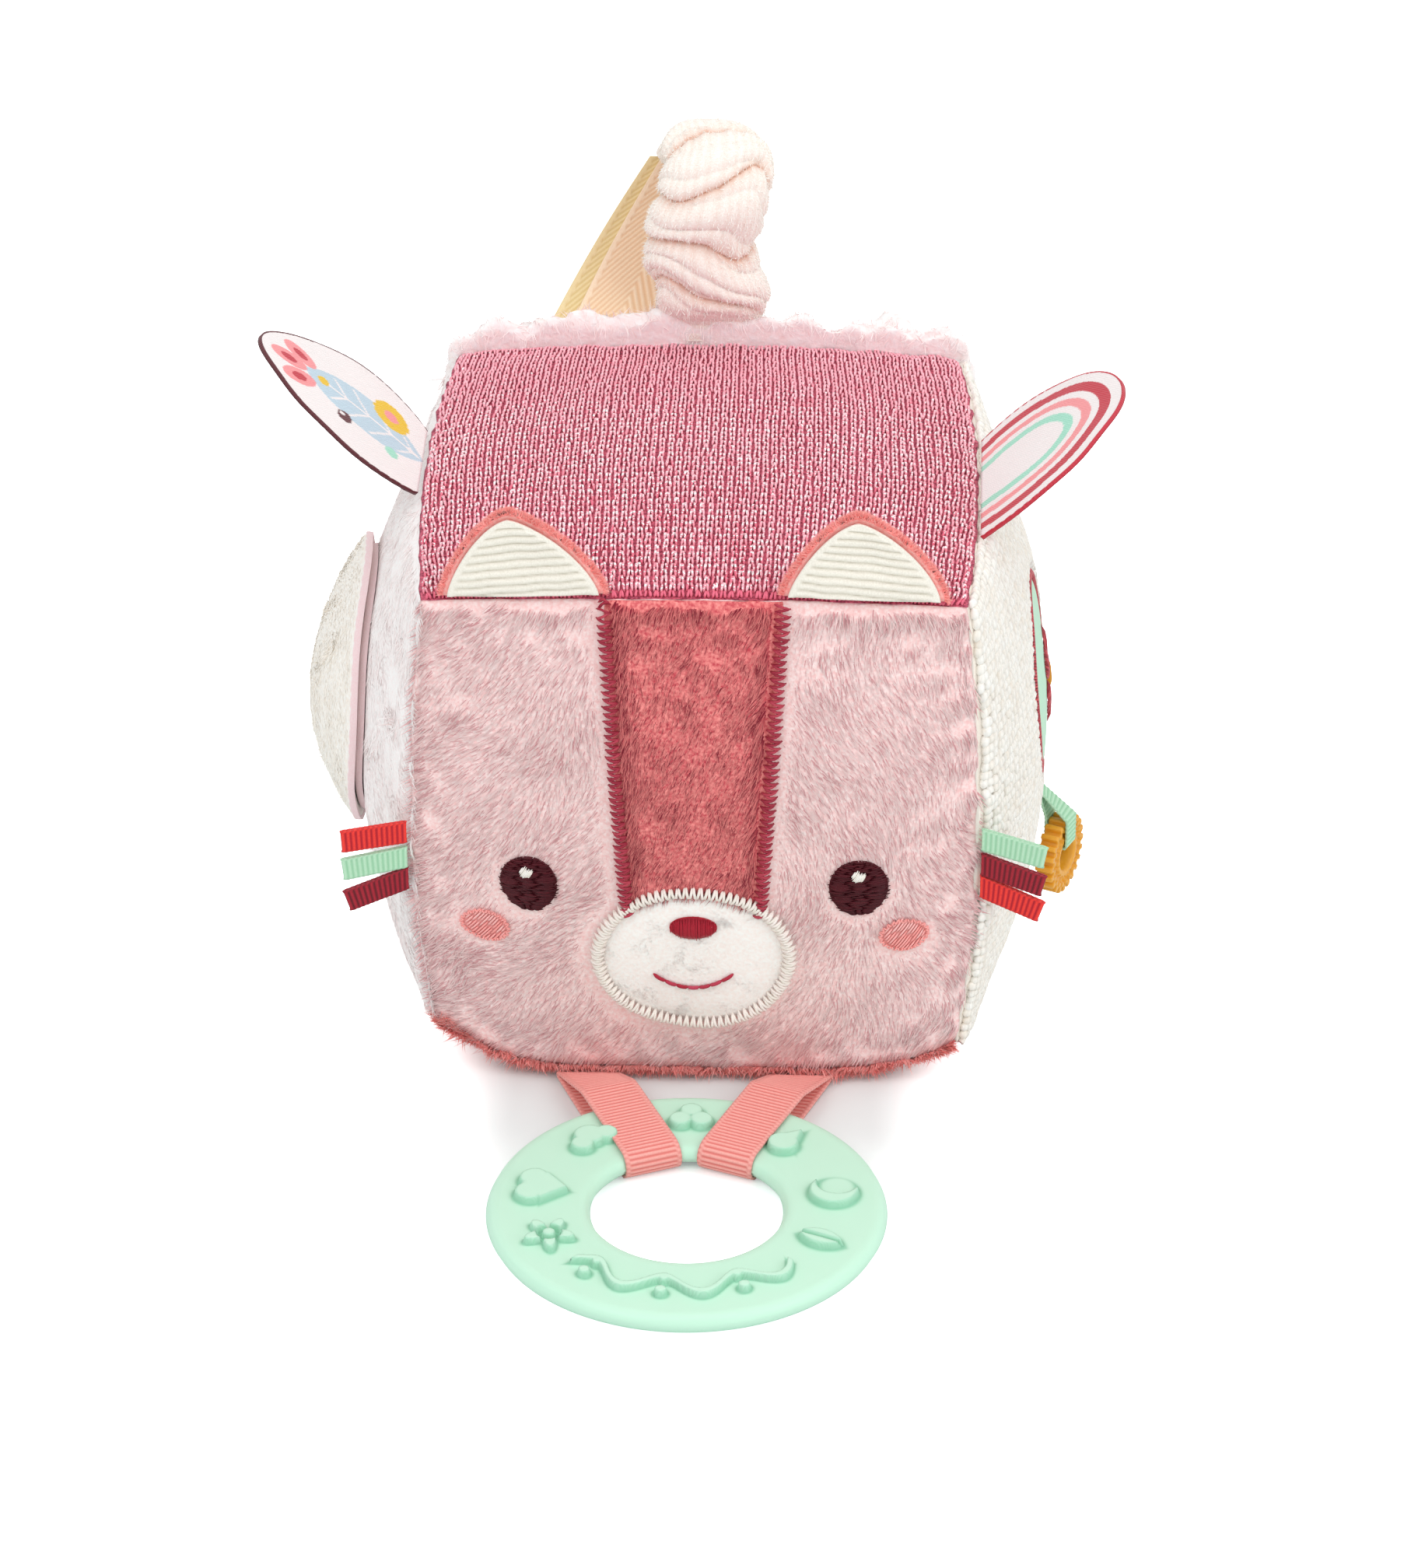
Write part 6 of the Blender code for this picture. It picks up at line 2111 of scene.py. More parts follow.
@dataclass
class TeethingRing:
    """A moulded silicone ring with raised motifs, on two ribbon loops sewn in the bottom front seam."""

    block: StuffedBlock
    radius: float = 50 * MM
    hole: float = 24.5 * MM
    thickness: float = 6 * MM
    reach: float = 67 * MM
    sink: float = 0.45 * MM
    relief: float = 1.9 * MM
    parting: float = 0.35 * MM
    around: int = 800
    ribbon: float = 0.6 * MM
    ribbon_width: float = 15 * MM
    ribbon_deg: float = 23.0
    gap: float = 0.3 * MM
    edge_lift: float = 2.5 * MM

    @property
    def centre(self) -> Array:
        """The ring's middle, in front of the block."""
        seam = self.block.skin([0, -1, -1])
        return np.array([0, seam[1] - self.reach, self.ribbon + self.gap + self.thickness / 2])

    def motifs(self, x: Array, y: Array) -> Array:
        """Distance to the nearest motif, at places on the ring in millimetres from its middle.

        Each motif is a distance to circles and lines in its own turned frame, below 0 inside it.

        Args:
            x: lengths to the right.
            y: lengths towards the block.
        Returns:
            The distances in millimetres.
        """
        radius, angle = np.hypot(x, y), np.arctan2(y, x)
        nearest = np.full_like(x, 9.0)

        def frame_at(degrees: float) -> tuple[Array, Array]:
            """Lengths along and out from a place on the ring's middle line.

            Args:
                degrees: where on the middle line.
            Returns:
                The two lengths, on the motif's own scale.
            """
            turn = math.radians(degrees)
            a, b = x - 37.2 * math.cos(turn), y - 37.2 * math.sin(turn)
            return (-a * math.sin(turn) + b * math.cos(turn)) / 1.4, (a * math.cos(turn) + b * math.sin(turn)) / 1.4

        def disc(a: Array, b: Array, u: float, v: float, r: float) -> Array:
            """Distance to a circle of radius r round (u, v)."""
            return np.hypot(a - u, b - v) - r

        a, b = frame_at(172)
        heart = np.minimum.reduce(
            [disc(a, b, -2.2, 1.6, 2.7), disc(a, b, 2.2, 1.6, 2.7), (np.abs(a) + np.abs(b + 0.6) - 4.3) * 0.7]
        )
        a, b = frame_at(205)
        petals = np.hypot(a, b) - 3.4 - 1.3 * np.cos(5 * np.arctan2(a, b))
        flower = np.maximum(petals, 0.5 - np.abs(np.hypot(a, b) - 1.7))
        a, b = frame_at(8)
        moon = np.maximum(disc(a, b, 0, 0, 4.4), 3.7 - np.hypot(a - 2.1, b - 0.9))
        a, b = frame_at(-25)
        leaf = np.maximum(disc(a, b, -3.2, 0, 5.4), disc(a, b, 3.2, 0, 5.4))
        leaf = np.maximum(leaf, 0.35 - np.abs(a))
        a, b = frame_at(48)
        drop = np.minimum(disc(a, b, 0, -1.2, 2.8), np.maximum(np.abs(a) * 0.9 + (b - 4.2) * 0.45, -1.2 - b))
        a, b = frame_at(132)
        cloud = np.minimum.reduce([disc(a, b, -2.8, -0.6, 2.1), disc(a, b, 2.8, -0.6, 2.1), disc(a, b, 0, 0.8, 2.9)])
        a, b = frame_at(90)
        clover = np.minimum.reduce([disc(a, b, -1.9, -0.6, 2.1), disc(a, b, 1.9, -0.6, 2.1), disc(a, b, 0, 2.2, 2.1)])
        span = np.degrees(np.mod(angle + math.pi / 2 + math.pi, TURN) - math.pi)
        wave = np.abs(radius - 37.2 - 3.0 * np.sin(np.radians(span * 12))) - 1.15
        wave = np.maximum(wave, (np.abs(span) - 46) * 0.6)
        dots = np.hypot((np.mod(span + 15 + 7.5, 30) - 15) * 0.65, radius - 37.2 + 2.6) - 1.5
        beads = np.hypot((np.mod(span - 7.5, 30) - 15) * 0.65, radius - 37.2 - 2.6) - 1.5
        dots = np.maximum(np.minimum(dots, beads), (np.abs(span) - 42) * 0.6)
        for shape in (heart, flower, moon, leaf, drop, cloud, clover, wave, dots):
            nearest = np.minimum(nearest, shape)
        return nearest

    def build(self) -> None:
        """Makes the ring and its ribbons."""
        edge = self.thickness / 2
        arc = np.linspace(-math.pi / 2, math.pi / 2, 11)[1:-1]
        face = np.linspace(self.radius - edge, self.hole + edge, 58)
        back = np.linspace(self.hole + edge, self.radius - edge, 12)
        radius = np.concatenate(
            [self.radius - edge + edge * np.cos(arc), face, self.hole + edge - edge * np.cos(arc), back]
        )
        height = np.concatenate([edge * np.sin(arc), np.full(58, edge), edge * np.sin(arc[::-1]), np.full(12, -edge)])
        turn, _ = np.meshgrid(np.linspace(0, TURN, self.around, endpoint=False), radius, indexing="ij")
        ridge = self.parting * np.exp(-((height / (0.3 * MM)) ** 2)) * np.sign(radius - 37 * MM)
        x, y = np.cos(turn) * (radius + ridge), np.sin(turn) * (radius + ridge)
        flat = ease(height, 0.6 * edge, edge) - ease(-height, 0.6 * edge, edge)
        near = np.where(height >= edge * 0.99, self.motifs(x / MM, y / MM), 9.0)
        z = height - flat * self.sink + ease(-near, -0.18, 0.18) * self.relief
        # painted shade round the foot of each raised motif
        foot = {"deep": np.exp(-(((near - 0.3) / 0.55) ** 2)).ravel()}
        points = self.centre + np.stack([x, y, z], axis=-1)
        surface = outward(Surface(points.reshape(-1, 3), grid_faces(self.around, len(radius), True, True), foot))
        silicone = MouldedFinish(
            "moulded silicone, mint", Colour.SILICONE, roughness=0.42, subsurface=0.1, foot=Colour.SILICONE_FOOT_SHADE
        )
        add_piece("ring_silicone", surface, silicone, "teether_ring", ["teether_ring"])
        grosgrain = RibFinish(
            "polyester grosgrain ribbon, coral", Colour.CORAL_RIBBON, Colour.CORAL_RIBBON_VALLEY_SHADE, roughness=0.5
        ).material()
        for side in Side:
            path, across = self.ribbon_path(side.value)
            surface = Ribbon(path, across, self.ribbon, cells=22, step=0.26 * MM, smooth=1.2 * MM).surface()
            name = f"ring_ribbon_{side.label}"
            surface.points[:, 2] = np.maximum(surface.points[:, 2], 0.03 * MM)
            piece = add_piece(f"{name}_grosgrain", surface, grosgrain, "ring_ribbons", [name])

    def ribbon_path(self, sign: int) -> tuple[Array, Array]:
        """A loop from the seam along a radius of the ring, over it, through its hole and back under it.

        Args:
            sign: -1 for the left ribbon and 1 for the right one.
        Returns:
            Places along the loop, and half the ribbon's width at each as a vector.
        """
        angle = math.radians(self.ribbon_deg)
        outward_way = np.array([sign * math.sin(angle), math.cos(angle), 0])
        square = np.array([math.cos(angle), -sign * math.sin(angle), 0])
        seam = self.block.skin([0, -1, -1])
        root = np.array([0, seam[1] - self.gap * 1.5 - self.ribbon, seam[2] - self.edge_lift / 4])
        sag = self.hole - math.sqrt(self.hole**2 - (self.ribbon_width / 2) ** 2)
        wrap = self.thickness / 2 + self.gap + self.ribbon / 2
        bend = self.hole - sag + self.thickness / 2
        root_reach = (root[1] - self.centre[1]) / math.cos(angle)
        neck = (self.gap + self.ribbon) / 2
        middle = root[2] - self.centre[2]
        skew = np.array([1 / math.cos(angle), 0, 0])
        turn = np.linspace(-math.pi / 2, math.pi / 2, 13)
        rows = [(root_reach + neck * math.cos(a), middle + neck * math.sin(a), skew) for a in turn]
        over = [
            (self.radius + self.thickness, square), (self.radius - self.thickness / 2, square),
            ((self.radius + bend) / 2, square)
        ]
        rows += [(reach, wrap, way) for reach, way in over]
        rows += [(bend - wrap * math.cos(a), wrap * math.sin(a), square) for a in turn[::-1]]
        rows += [((self.radius + bend) / 2, -wrap, square), (self.radius, -wrap, square)]
        path = np.array([self.centre + outward_way * r + np.array([0, 0, z]) for r, z, _ in rows])
        return path, np.array([way * self.ribbon_width / 2 for _, _, way in rows])


@dataclass
class MirrorFlap:
    """A round foil mirror in a printed rim, under a padded plush flap that hangs from its upper edge."""

    block: StuffedBlock
    radius: float = 31 * MM
    foil: float = 1.2 * MM
    rim_width: float = 4 * MM
    rim: float = 1.8 * MM
    height_share: float = 0.1
    flap_radius: float = 37 * MM
    edge: float = 1.4 * MM
    dome: float = 9.5 * MM
    gap: float = 0.3 * MM

    def build(self) -> None:
        """Makes the foil, the rim, the flap with its binding, and the flap's pile."""
        needle = Needlework(self.block, 0, -1)
        centre = (0.0, self.block.height / 2 * (1 + self.height_share))
        foil = needle.oval(
            centre, size=(2 * self.radius,) * 2, lift=self.gap, rise=self.foil - 0.15 * MM, power=24, cells=40
        )
        mirror = MouldedFinish("metallised polyester foil", Colour.FOIL, roughness=0.12, subsurface=0.0, metallic=1.0)
        add_piece("mirror_foil", foil, mirror, "block", ["mirror_disc"])
        inner = self.radius + self.gap
        band = needle.band(centre, inner, inner + self.rim_width, self.gap, self.rim, power=3)
        band.values["weave"] = band.points
        cotton = RibFinish(
            "printed cotton poplin, rose with white dots", Colour.ROSE_COTTON, Colour.WHITE_THREAD, roughness=0.8
        )
        add_piece("mirror_rim_cotton", band, cotton, "block", ["mirror_rim"])
        lift = self.rim + 2.5 * self.gap
        pad = needle.oval(
            centre, size=(2 * self.flap_radius,) * 2, lift=lift, rise=self.dome, power=2, cells=40, edge=self.edge
        )
        ground = ClothFinish("knitted polyester ground, cream", Colour.CREAM_TIP, Colour.CREAM_ROOT)
        add_piece("flap_cloth", pad, ground, "mirror_flap", ["mirror_flap"])
        reach = self.flap_radius
        binding = needle.band(
            centre, inner=reach - 0.7 * MM, outer=reach + 0.4 * MM, lift=lift - 0.05 * MM, rise=self.edge + 0.3 * MM,
            power=2.5
        )
        binding.values["weave"] = binding.points
        add_piece("flap_binding", binding, cotton, "mirror_flap")

        def over(u: Array, v: Array) -> Array:
            """The flap's places by a share of the turn and of the area.

            Args:
                u: shares of the turn.
                v: shares of the area.
            Returns:
                The places.
            """
            radius = np.sqrt(np.abs(v + 1) / 2) * 0.95
            first = centre[0] + radius * np.cos(u * math.pi) * reach
            second = centre[1] + radius * np.sin(u * math.pi) * reach
            return needle.on(first, second, lift + self.edge + self.dome * (1 - radius**2))

        plush = PileFinish("short cut plush, cream", Colour.CREAM_TIP, Colour.CREAM_ROOT, Colour.CREAM_SHADE)
        hair = Hair(length=3 * MM, width=0.55 * MM, lean=7.0, stray=0.2, lock=10 * MM, pull=0.4, flat=0.16, cloth=0)
        Pile(
            "flap_pile", over, turn=1, finish=plush, slot="cream_plush", hair=hair, count=9000, seed=71,
            way=lambda f, s: (1.0, 0.3), body="mirror_flap",
        ).build()


@dataclass
class SidePatch:
    """A round cotton appliqué with a stitched border, and a plain stitched flower on it."""

    block: StuffedBlock
    radius: float = 24 * MM
    shares: tuple[float, float] = (-0.1, 0.22)
    border: float = 3 * MM
    stitch: float = 1.0 * MM
    gap: float = 0.3 * MM

    def build(self) -> None:
        """Makes the patch, its border and the flower."""
        needle = Needlework(self.block, 0, 1)
        centre = np.array([self.shares[0] * self.block.depth / 2, self.block.height / 2 * (1 + self.shares[1])])
        patch = needle.oval(
            centre, size=(2 * self.radius,) * 2, lift=self.gap, rise=self.stitch * 0.7, power=12, cells=40
        )
        cotton = ClothFinish("cotton poplin, mint", Colour.MINT_COTTON, Colour.MINT, pitch=0.7 * MM, relief=0.1 * MM)
        add_piece("patch_cotton", patch, cotton, "block", ["side_patch"])
        turn = np.linspace(0, TURN, 420)[:-1]
        line = centre + np.stack([np.cos(turn), np.sin(turn)], axis=-1) * (self.radius + self.border / 2)
        coral = YarnFinish("rayon embroidery thread, coral", Colour.CORAL_THREAD, Colour.CORAL_SHADE, roughness=0.45)
        border = needle.crossing(line, width=self.border / 2, lift=self.gap * 0.7, rise=0.9 * MM, slant=0.12)
        add_piece("patch_border", border, coral, "block", ["side_patch_border"])
        petals = []
        for k in range(6):
            angle = k * TURN / 6 + 0.3
            place = centre + np.array([math.cos(angle), math.sin(angle)]) * 8.5 * MM
            petals.append(needle.filling(
                place, (8 * MM, 8 * MM), self.stitch + self.gap, rise=0.7 * MM, angle_deg=math.degrees(angle),
                cuts=1, ragged=0.3 * MM,
            ))
        add_piece("patch_petals", joined(petals), coral, "block")
        heart = needle.filling(
            centre, (8 * MM, 8 * MM), self.stitch + self.gap, rise=1.1 * MM, angle_deg=45, cuts=2, ragged=0.2 * MM
        )
        mustard = YarnFinish("rayon embroidery thread, mustard", Colour.MUSTARD, Colour.BEAD, roughness=0.45)
        add_piece("patch_flower_heart", heart, mustard, "block")


@dataclass
class ToothedRing:
    """A moulded toothed ring on a ribbon loop that hangs against the right side."""

    block: StuffedBlock
    radius: float = 11 * MM
    hole: float = 4.6 * MM
    thickness: float = 5 * MM
    teeth: int = 22
    tooth: float = 1.5 * MM
    turn_deg: float = 25.0
    ribbon: float = 0.5 * MM
    ribbon_width: float = 6 * MM
    ribbon_length: float = 8 * MM
    gap: float = 0.3 * MM

    def build(self) -> None:
        """Makes the ring and its ribbon, about the middle of the solid that they dress."""
        low, high = (np.array(corner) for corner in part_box("toothed_ring"))
        centre = (low + high) / 2
        turn = math.radians(self.turn_deg)
        plane = np.array([math.sin(turn), math.cos(turn), 0])
        axis = np.array([math.cos(turn), -math.sin(turn), 0])
        self.make_ring(centre, plane, axis)
        self.make_ribbon(centre, plane, axis)

    def make_ring(self, centre: Array, plane: Array, axis: Array) -> None:
        """A profile carried round, with a groove in each face.

        The rim is pushed in between the teeth by a steep sine.

        Args:
            centre: the ring's middle.
            plane: its level direction.
            axis: the way through its hole.
        """
        angle = np.linspace(0, TURN, self.teeth * 16, endpoint=False)[:, None]
        teeth = ease(np.cos(angle * self.teeth), -0.35, 0.35)
        rim = self.radius - self.tooth * (1 - teeth)
        half = self.thickness / 2
        share = np.array([0, 0.08, 0.2, 0.3, 0.36, 0.5, 0.6, 0.68, 0.74, 0.9, 0.97, 1.0])
        dip = np.array([0.5, 0.1, 0, 0, 0.7, 0.8, 0.8, 0.7, 0, 0, 0.08, 0.4]) * MM
        radius = self.hole + (rim - self.hole) * share
        face = half - dip + np.zeros_like(radius)
        around = np.concatenate([radius, radius[:, ::-1]], axis=1)
        height = np.concatenate([face, -face[:, ::-1]], axis=1)
        radial = np.cos(angle) * plane + np.sin(angle) * np.array([0, 0, 1.0])
        points = centre + radial[:, None] * around[..., None] + axis * height[..., None]
        surface = outward(Surface(points.reshape(-1, 3), grid_faces(*around.shape, True, True)))
        mustard = MouldedFinish("moulded ABS, mustard", Colour.MUSTARD, roughness=0.32, subsurface=0.05)
        add_piece("toothed_ring_plastic", surface, mustard, "toothed_ring", ["toothed_ring"])

    def make_ribbon(self, centre: Array, plane: Array, axis: Array) -> None:
        """A loop from its root on the side, round the ring's upper rim and through its hole.

        Args:
            centre: the ring's middle.
            plane: its level direction.
            axis: the way through its hole.
        """
        neck = (self.gap + self.ribbon) / 2
        height = centre[2] + self.radius + self.ribbon_length
        place = self.block.skin(self.block.cube(0, 1, *self.block.shares(0, np.array(centre[1]), np.array(height))))
        ray = place - self.block.middle
        root = place + ray * (self.gap + neck + self.ribbon / 2) / abs(ray[0])
        hold = self.thickness / 2 + self.gap + self.ribbon / 2
        half = self.ribbon_width / 2
        floor = math.sqrt(self.hole**2 - half**2) - self.gap - self.ribbon / 2
        corner = self.gap + self.ribbon
        path = [root + neck * np.array([math.cos(a), 0, math.sin(a)]) for a in np.linspace(0, math.pi, 11)]
        across = [np.array([0, half, 0])] * len(path)
        near = [(-hold, self.radius + self.gap)]
        bend = np.linspace(0, math.pi / 2, 7)
        near += [(-hold + corner * (1 - math.cos(a)), floor + corner * (1 - math.sin(a))) for a in bend]
        for way, up in near + [(-way, up) for way, up in near[::-1]]:
            path.append(centre + axis * way + np.array([0, 0, up]))
            across.append(plane * half)
        grosgrain = RibFinish("polyester grosgrain ribbon, pale mint", Colour.MINT, Colour.MINT_VALLEY_SHADE, roughness=0.55)
        surface = Ribbon(
            np.array(path), np.array(across), self.ribbon, smooth=0.25 * MM, cells=12, step=0.2 * MM
        ).surface()
        add_piece("gear_ribbon_grosgrain", surface, grosgrain, "gear_ribbon", ["gear_ribbon"])


@dataclass
class Inside:
    """The filling, the rattle and the elastic, which the cloth hides."""

    block: StuffedBlock
    depth: float = 2.9 * MM
    cells: int = 26
    rattle_radius: float = 16.3 * MM

    def build(self) -> None:
        """Makes the filling with its pocket and gives the inner solids their materials."""
        steps = np.linspace(-1, 1, self.cells)
        first, second = np.meshgrid(steps, steps, indexing="ij")
        parts = []
        for panel in Panel:
            skin = self.block.skin(self.block.cube(*panel.value, first, second))
            lump = 0.6 * MM * (1 + ripple(skin, 14 * MM, 91)) / 2
            share = 1 - (self.depth + lump) / (self.block.width / 2)
            points = self.block.middle + (skin - self.block.middle) * share[..., None]
            faces = grid_faces(*first.shape)
            parts.append(Surface(points.reshape(-1, 3), faces if panel.turn > 0 else faces[:, ::-1]))
        whole = joined(parts)
        fibre = ClothFinish(
            "loose hollow polyester fibre", Colour.FILLING, Colour.CREAM_SHADE, pitch=2 * MM, relief=0.6 * MM,
            roughness=0.95
        )
        filling = add_piece("filling_fibre", outward(whole), fibre, "block", ["fibre_filling"])
        self.cut_pocket(filling)
        plastic = MouldedFinish(
            "moulded polypropylene, white", Colour.POLYPROPYLENE, roughness=0.4, subsurface=0.1
        ).material()
        amber = MouldedFinish("glossy acrylic bead, amber", Colour.BEAD, roughness=0.15, subsurface=0.2).material()
        woven = ClothFinish(
            "woven rubber and polyester elastic, white", Colour.ELASTIC, Colour.TAPE,
            pitch=0.6 * MM, relief=0.15 * MM, roughness=0.7,
        )
        dressed = {
            "rattle_cup": plastic, "rattle_lid": plastic, "rattle_ball": amber, "handle_elastic": woven.material()
        }
        for name, material in dressed.items():
            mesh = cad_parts[name].data
            for index in range(max(1, len(mesh.materials))):
                if mesh.materials:
                    mesh.materials[index] = material
                else:
                    mesh.materials.append(material)

    def cut_pocket(self, filling: Object) -> None:
        """Takes the rattle's pocket out of the filling, from under it to just over the lid.

        Args:
            filling: the filling's object.
        """
        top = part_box("rattle_lid")[1][2] + 0.3 * MM
        angle = np.linspace(0, TURN, 48, endpoint=False)
        ring = np.stack([np.cos(angle), np.sin(angle)], axis=-1) * self.rattle_radius
        low, high = (np.column_stack([ring, np.full(48, z)]) for z in (-5 * MM, top))
        points = np.concatenate([low, high])
        faces = [list(range(47, -1, -1)), list(range(48, 96))]
        faces += [[k, (k + 1) % 48, 48 + (k + 1) % 48, 48 + k] for k in range(48)]
        mesh = bpy.data.meshes.new("pocket")
        mesh.from_pydata(points.tolist(), [], faces)
        cutter = new_object("pocket", mesh)
        weld = filling.modifiers.new("weld", "WELD")
        weld.merge_threshold = 0.01 * MM
        pocket = filling.modifiers.new("pocket", "BOOLEAN")
        pocket.operation, pocket.solver, pocket.object = "DIFFERENCE", "EXACT", cutter
        graph = bpy.context.evaluated_depsgraph_get()
        cut = bpy.data.meshes.new_from_object(filling.evaluated_get(graph))
        filling.modifiers.clear()
        filling.data = cut
        bpy.data.objects.remove(cutter)


def build_piles(block: StuffedBlock, face: Face) -> None:
    """Sows the front, left, back and bottom cloths.

    Args:
        block: the block.
        face: the face, which leaves parts of the front bare.
    """
    pink = PileFinish("short cut plush, light pink", Colour.PINK_TIP, Colour.PINK_ROOT, Colour.PINK_SHADE)
    blush = PileFinish("short cut plush, blush white", Colour.BLUSH_TIP, Colour.BLUSH_ROOT, Colour.BLUSH_SHADE)
    coral = PileFinish("short cut plush, light coral", Colour.EAR_TIP, Colour.EAR_ROOT, Colour.CORAL_TIP)
    fur = PileFinish("long pile fur, pale pink", Colour.FUR_TIP, Colour.FUR_ROOT, Colour.FUR_SHADE)
    short = Hair(length=4.2 * MM, width=0.5 * MM, lean=7.5, stray=0.15, lock=20 * MM, pull=0.25, flat=0.18, cloth=0.9)
    long = Hair(
        length=9 * MM, width=0.65 * MM, lean=4.0, stray=0.3, lock=9 * MM, pull=0.6, flat=0.25, joints=2, droop=0.2,
        cloth=0
    )

    def skin(panel: Panel) -> Callable[[Array, Array], Array]:
        """The dressed skin of one face."""
        return lambda f, s: block.dressed(*panel.value, f, s)

    def streaks(first: Array, second: Array) -> tuple:
        """Combing downwards that swings a little from side to side across the face.

        Args:
            first: shares across.
            second: shares up.
        Returns:
            The combing along each share.
        """
        return 0.65 * first - 0.35 + 0.5 * np.sin(
            2.3 * second + 1.7 * first
        ) + 0.25 * np.sin(7 * first - 5 * second), -1.0

    def bed(first: Array, second: Array) -> Array:
        """The fur's down: soft locks off the back, and a round lip that leans up over the top seam.

        The lip's height falls as the square root of 1 - t to the sixth over the last part of the back.

        Args:
            first: shares across the back.
            second: shares up it.
        Returns:
            The places.
        """
        place, out, _, _ = block.patch(*Panel.BACK.value, first, second)
        over = np.stack([1.6 * first**7, np.full_like(first, -1.3), np.full_like(first, 2.2)], axis=-1)
        out = unit(out + over * ease(second, 0.7, 1)[..., None])
        high = ease(second, 0.5, 0.92)
        lump = 5.5 + (
            9 + 2.5 * ripple(place, 15 * MM, 35)
        ) * high + 1.5 * ripple(place, 9 * MM, 33) + 0.7 * ripple(place, 4 * MM, 34)
        lip = np.sqrt(np.maximum(1 - np.clip((second - 0.7) / 0.3, 0, 1) ** 6, 0.001))
        edge = (1 - np.minimum(np.abs(first), 1) ** 24) * (1 - np.abs(np.clip(second, -1, 0)) ** 30)
        return place + out * (lump * MM * lip * np.maximum(edge, 0.03))[..., None]

    def fur_way(first: Array, second: Array) -> tuple:
        """The fur hangs down and parts towards the sides."""
        return 1.2 * first**3 + 0.3 * np.sin(5 * first), -1.0

    def outwards(first: Array, second: Array) -> tuple:
        """The underside's pile lies away from its middle."""
        return first**3, second**3 - 0.05

    for side in Side:

        def half(first: Array, second: Array, sign: int = side.value) -> Array:
            """Hairs on one half of the front, where the face leaves it bare."""
            return np.where(first * sign > 0, face.bare(first, second), 0)

        Pile(
            f"front_pile_{side.label}", skin(Panel.FRONT), Panel.FRONT.turn, pink, "front_plush", short,
            count=32000, seed=7, length=half, way=streaks, lowest=0.05 * MM,
        ).build()

        def fur_half(first: Array, second: Array, sign: int = side.value) -> Array:
            """Full length over one half of the back, below its lip."""
            return np.where((first * sign > 0) & (second < 0.84), 1.0, 0)

        Pile(
            f"back_fur_{side.label}", bed, Panel.BACK.turn, fur, "pink_fur", long,
            count=12000, seed=8, length=fur_half, way=fur_way, lowest=0.1 * MM,
        ).build()

    def clear_of_mirror(first: Array, second: Array) -> Array:
        """No hairs under the mirror and its rim."""
        reach = np.hypot(first * block.depth / 2, (second - 0.1) * block.height / 2) - 36 * MM
        return np.where(reach < 0, 0, 1.0)

    Pile(
        "left_pile", skin(Panel.LEFT), Panel.LEFT.turn, blush, "blush_plush",
        hair=Hair(
            length=4 * MM, width=0.55 * MM, lean=8.0, stray=0.15, lock=16 * MM, pull=0.5, flat=0.16, cloth=0
        ), count=22000, seed=9, length=clear_of_mirror, way=streaks,
        lowest=0.05 * MM
    ).build()
    crest = Hair(length=4 * MM, width=0.35 * MM, lean=5.0, stray=0.5, lock=7 * MM, pull=0.6, flat=0.2, cloth=0)
    Pile(
        "back_fur_crest", shape=lambda f, s: bed(f, 0.86 + 0.13 * s), turn=Panel.BACK.turn, finish=fur, slot="pink_fur",
        hair=crest, count=2600, seed=12, way=lambda f, s: (1.4 * f**5 + 0.3 * np.sin(6 * f), 1.0),
    ).build()
    steps = np.sin(np.linspace(-1, 1, 110) * math.pi / 2)
    first, second = np.meshgrid(steps, steps, indexing="ij")
    low, high = block.dressed(*Panel.BACK.value, first, second), bed(first, second)
    for grid in (low, high):
        grid[..., 2] = np.maximum(grid[..., 2], 1 * MM)
    down = ClothFinish(
        "fur down, pale pink", Colour.FUR_TIP, Colour.FUR_ROOT, pitch=2 * MM, relief=0.4 * MM, roughness=0.9
    )
    add_piece("back_fur_down", sheet_between(low, high), down, "block")
    brim = Hair(length=6 * MM, width=0.6 * MM, lean=3.2, stray=0.3, lock=4 * MM, pull=0.5, flat=0.4, cloth=0)
    Pile(
        "bottom_fringe", shape=lambda f, s: block.dressed(
            *Panel.BOTTOM.value, f * 0.97, -0.95 + 0.04 * s
        ), turn=Panel.BOTTOM.turn, finish=coral,
        slot="coral_plush", hair=brim, count=7000, seed=13, way=lambda f, s: (0.7 * f**5, -1.0), lowest=0.05 * MM,
    ).build()
    fringe = Hair(length=3.2 * MM, width=0.6 * MM, lean=4.5, stray=0.35, lock=4 * MM, pull=0.5, flat=0.2, cloth=0.85)
    Pile(
        "bottom_pile", skin(Panel.BOTTOM), Panel.BOTTOM.turn, coral, "coral_plush", fringe, count=22000, seed=10,
        length=lambda f, s: 0.5 + 0.5 * ease(
            np.maximum(np.abs(f), np.abs(s)), 0.6, 0.95
        ), way=outwards, lowest=0.05 * MM,
    ).build()


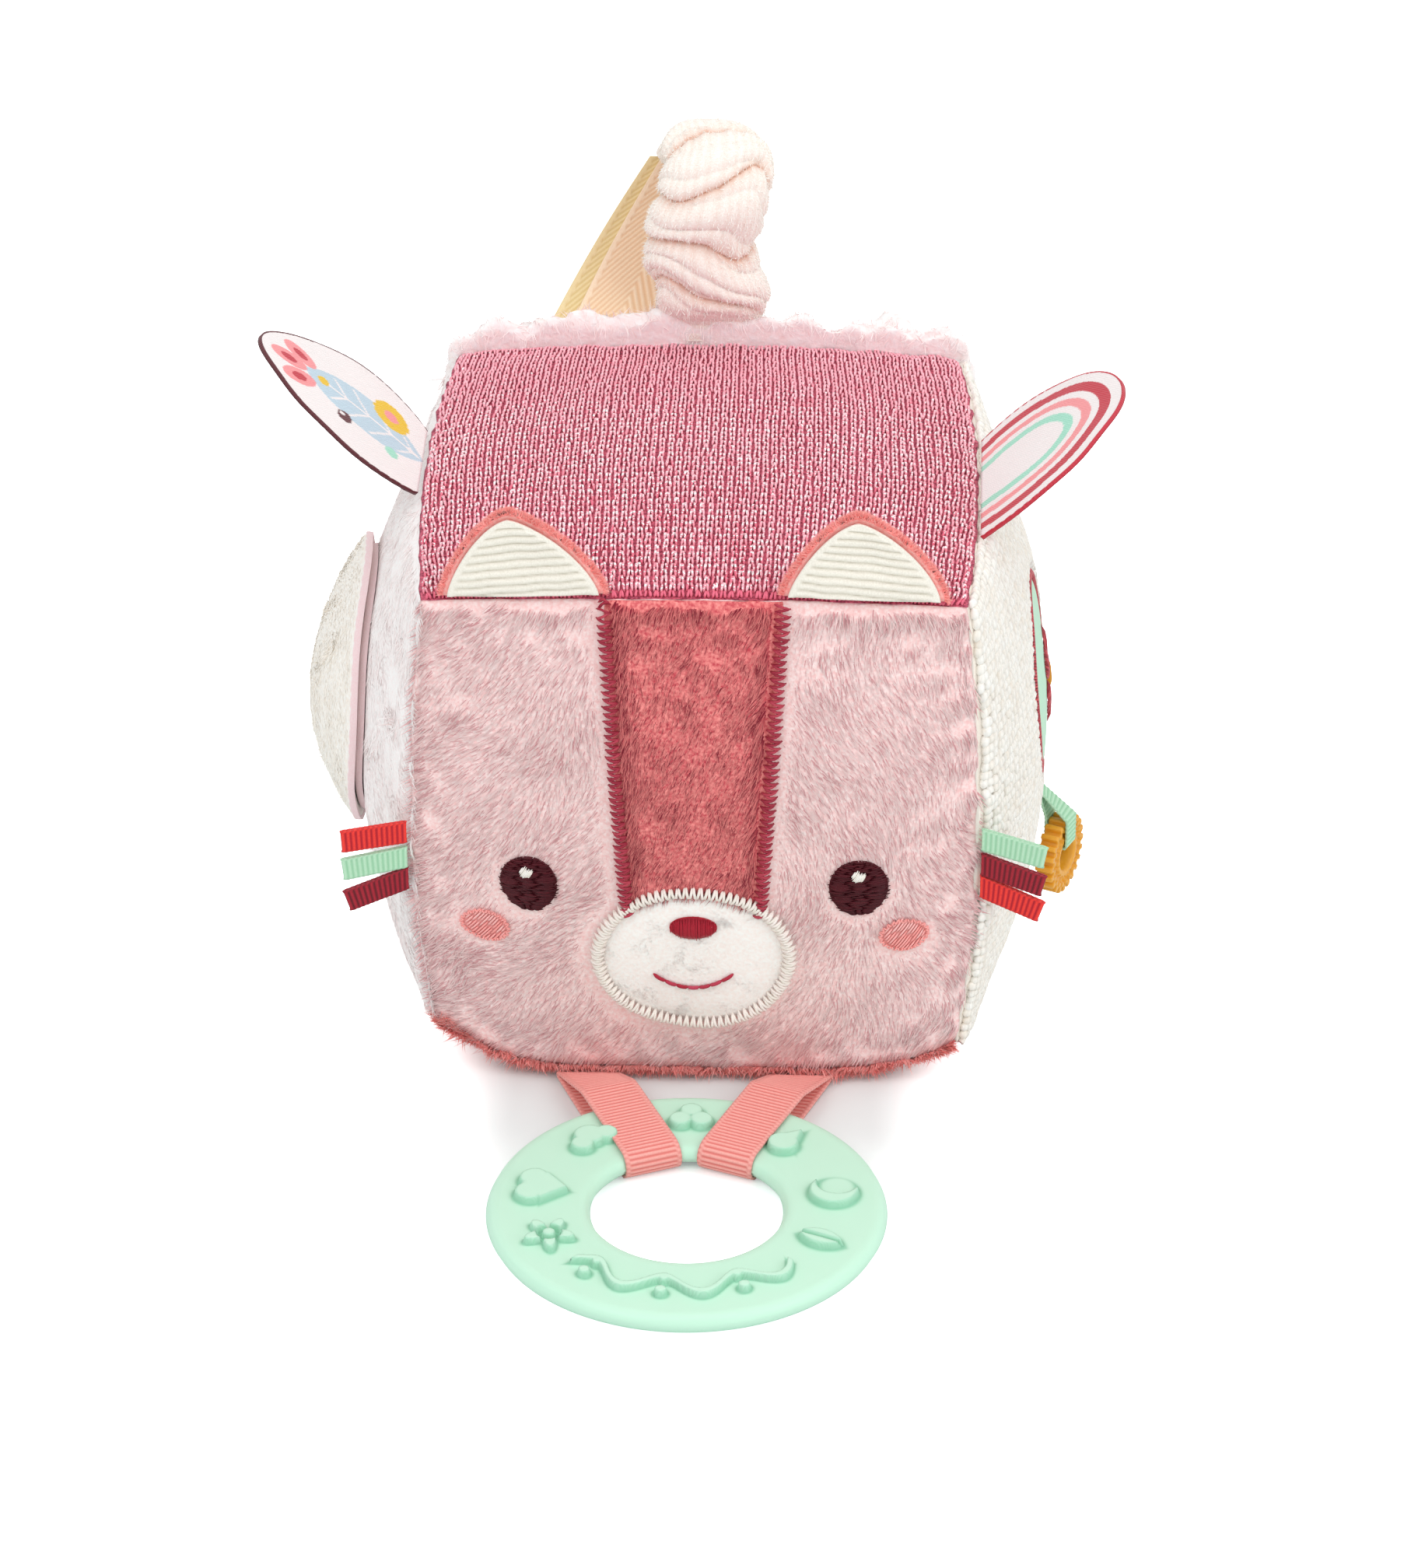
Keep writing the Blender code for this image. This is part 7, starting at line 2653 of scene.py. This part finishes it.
def build_knits(block: StuffedBlock) -> None:
    """Knits the top in silvered jersey and the right side in chenille.

    Args:
        block: the block.
    """
    jersey = Knit(block, "top_knit", Panel.TOP, "jersey", wales=64, courses=55, yarn=0.43 * MM, rise=0.55 * MM)
    lurex = LurexKnitFinish("jersey of matt yarn plated with silver film, raspberry").material()
    for half, (low, high) in {"front": (-1, 0), "back": (0, 1)}.items():
        surface = jersey.legs(low, high)
        course = surface.values.pop("course")
        edge = ease(-course, 0.955, 0.965)
        surface.values["tone"] = np.clip(surface.values["tone"] * (0.9 - 0.5 * course) + edge, 0, 1)
        surface.values["fleck"] *= (1 - edge) * (1 - 0.3 * ease(course, 0.1, 0.7))
        add_piece(f"top_knit_{half}", surface, lurex, "block")
    chenille = Knit(
        block, "right_knit", Panel.RIGHT, "chenille", wales=46, courses=56, yarn=1.25 * MM, rise=0.4 * MM, seed=4,
        wander=0.08
    )
    yarn = YarnFinish(
        "chenille yarn, cream", Colour.CREAM_TIP, Colour.CREAM_SHADE, roughness=0.9, sheen=0.1, fibre=0.5 * MM
    )
    surface = chenille.legs()
    low, high = (np.array(corner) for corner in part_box("side_patch_border"))
    away = np.linalg.norm((surface.points - (low + high) / 2)[:, 1:], axis=1) - (high[2] - low[2]) / 2
    surface.points[:, 0] -= 2.5 * MM * (1 - ease(away, -0.5 * MM, 1.0 * MM))
    del surface.values["course"], surface.values["fleck"]
    add_piece("right_knit", surface, yarn, "block")


def build_all(block: StuffedBlock) -> None:
    """Builds the pieces in order.

    Args:
        block: the block.
    """
    Inside(block).build()
    Cover(block).build()
    face = Face(block)
    build_piles(block, face)
    build_knits(block)
    face.build()
    for side in Side:
        Ear(block, side).build()
    SatinTag(block, Side.LEFT, width=36 * MM, reach=54 * MM, belly=0.38, place=-0.03).build()
    SatinTag(block, Side.RIGHT, width=54 * MM, reach=46 * MM, belly=0.08, place=-0.19).build()
    SeamRibbons(block).build()
    CarryingLoop(block).build()
    MirrorFlap(block).build()
    SidePatch(block).build()
    ToothedRing(block).build()
    TeethingRing(block).build()


def main() -> None:
    """Builds the stage and the block, and logs each piece's triangles and lowest point."""
    logging.basicConfig(level=logging.INFO, format="%(message)s")
    scene = bpy.context.scene
    scene.view_settings.view_transform = "Standard"
    Stage().build()
    build_all(StuffedBlock())


if __name__ == "__main__":
    main()
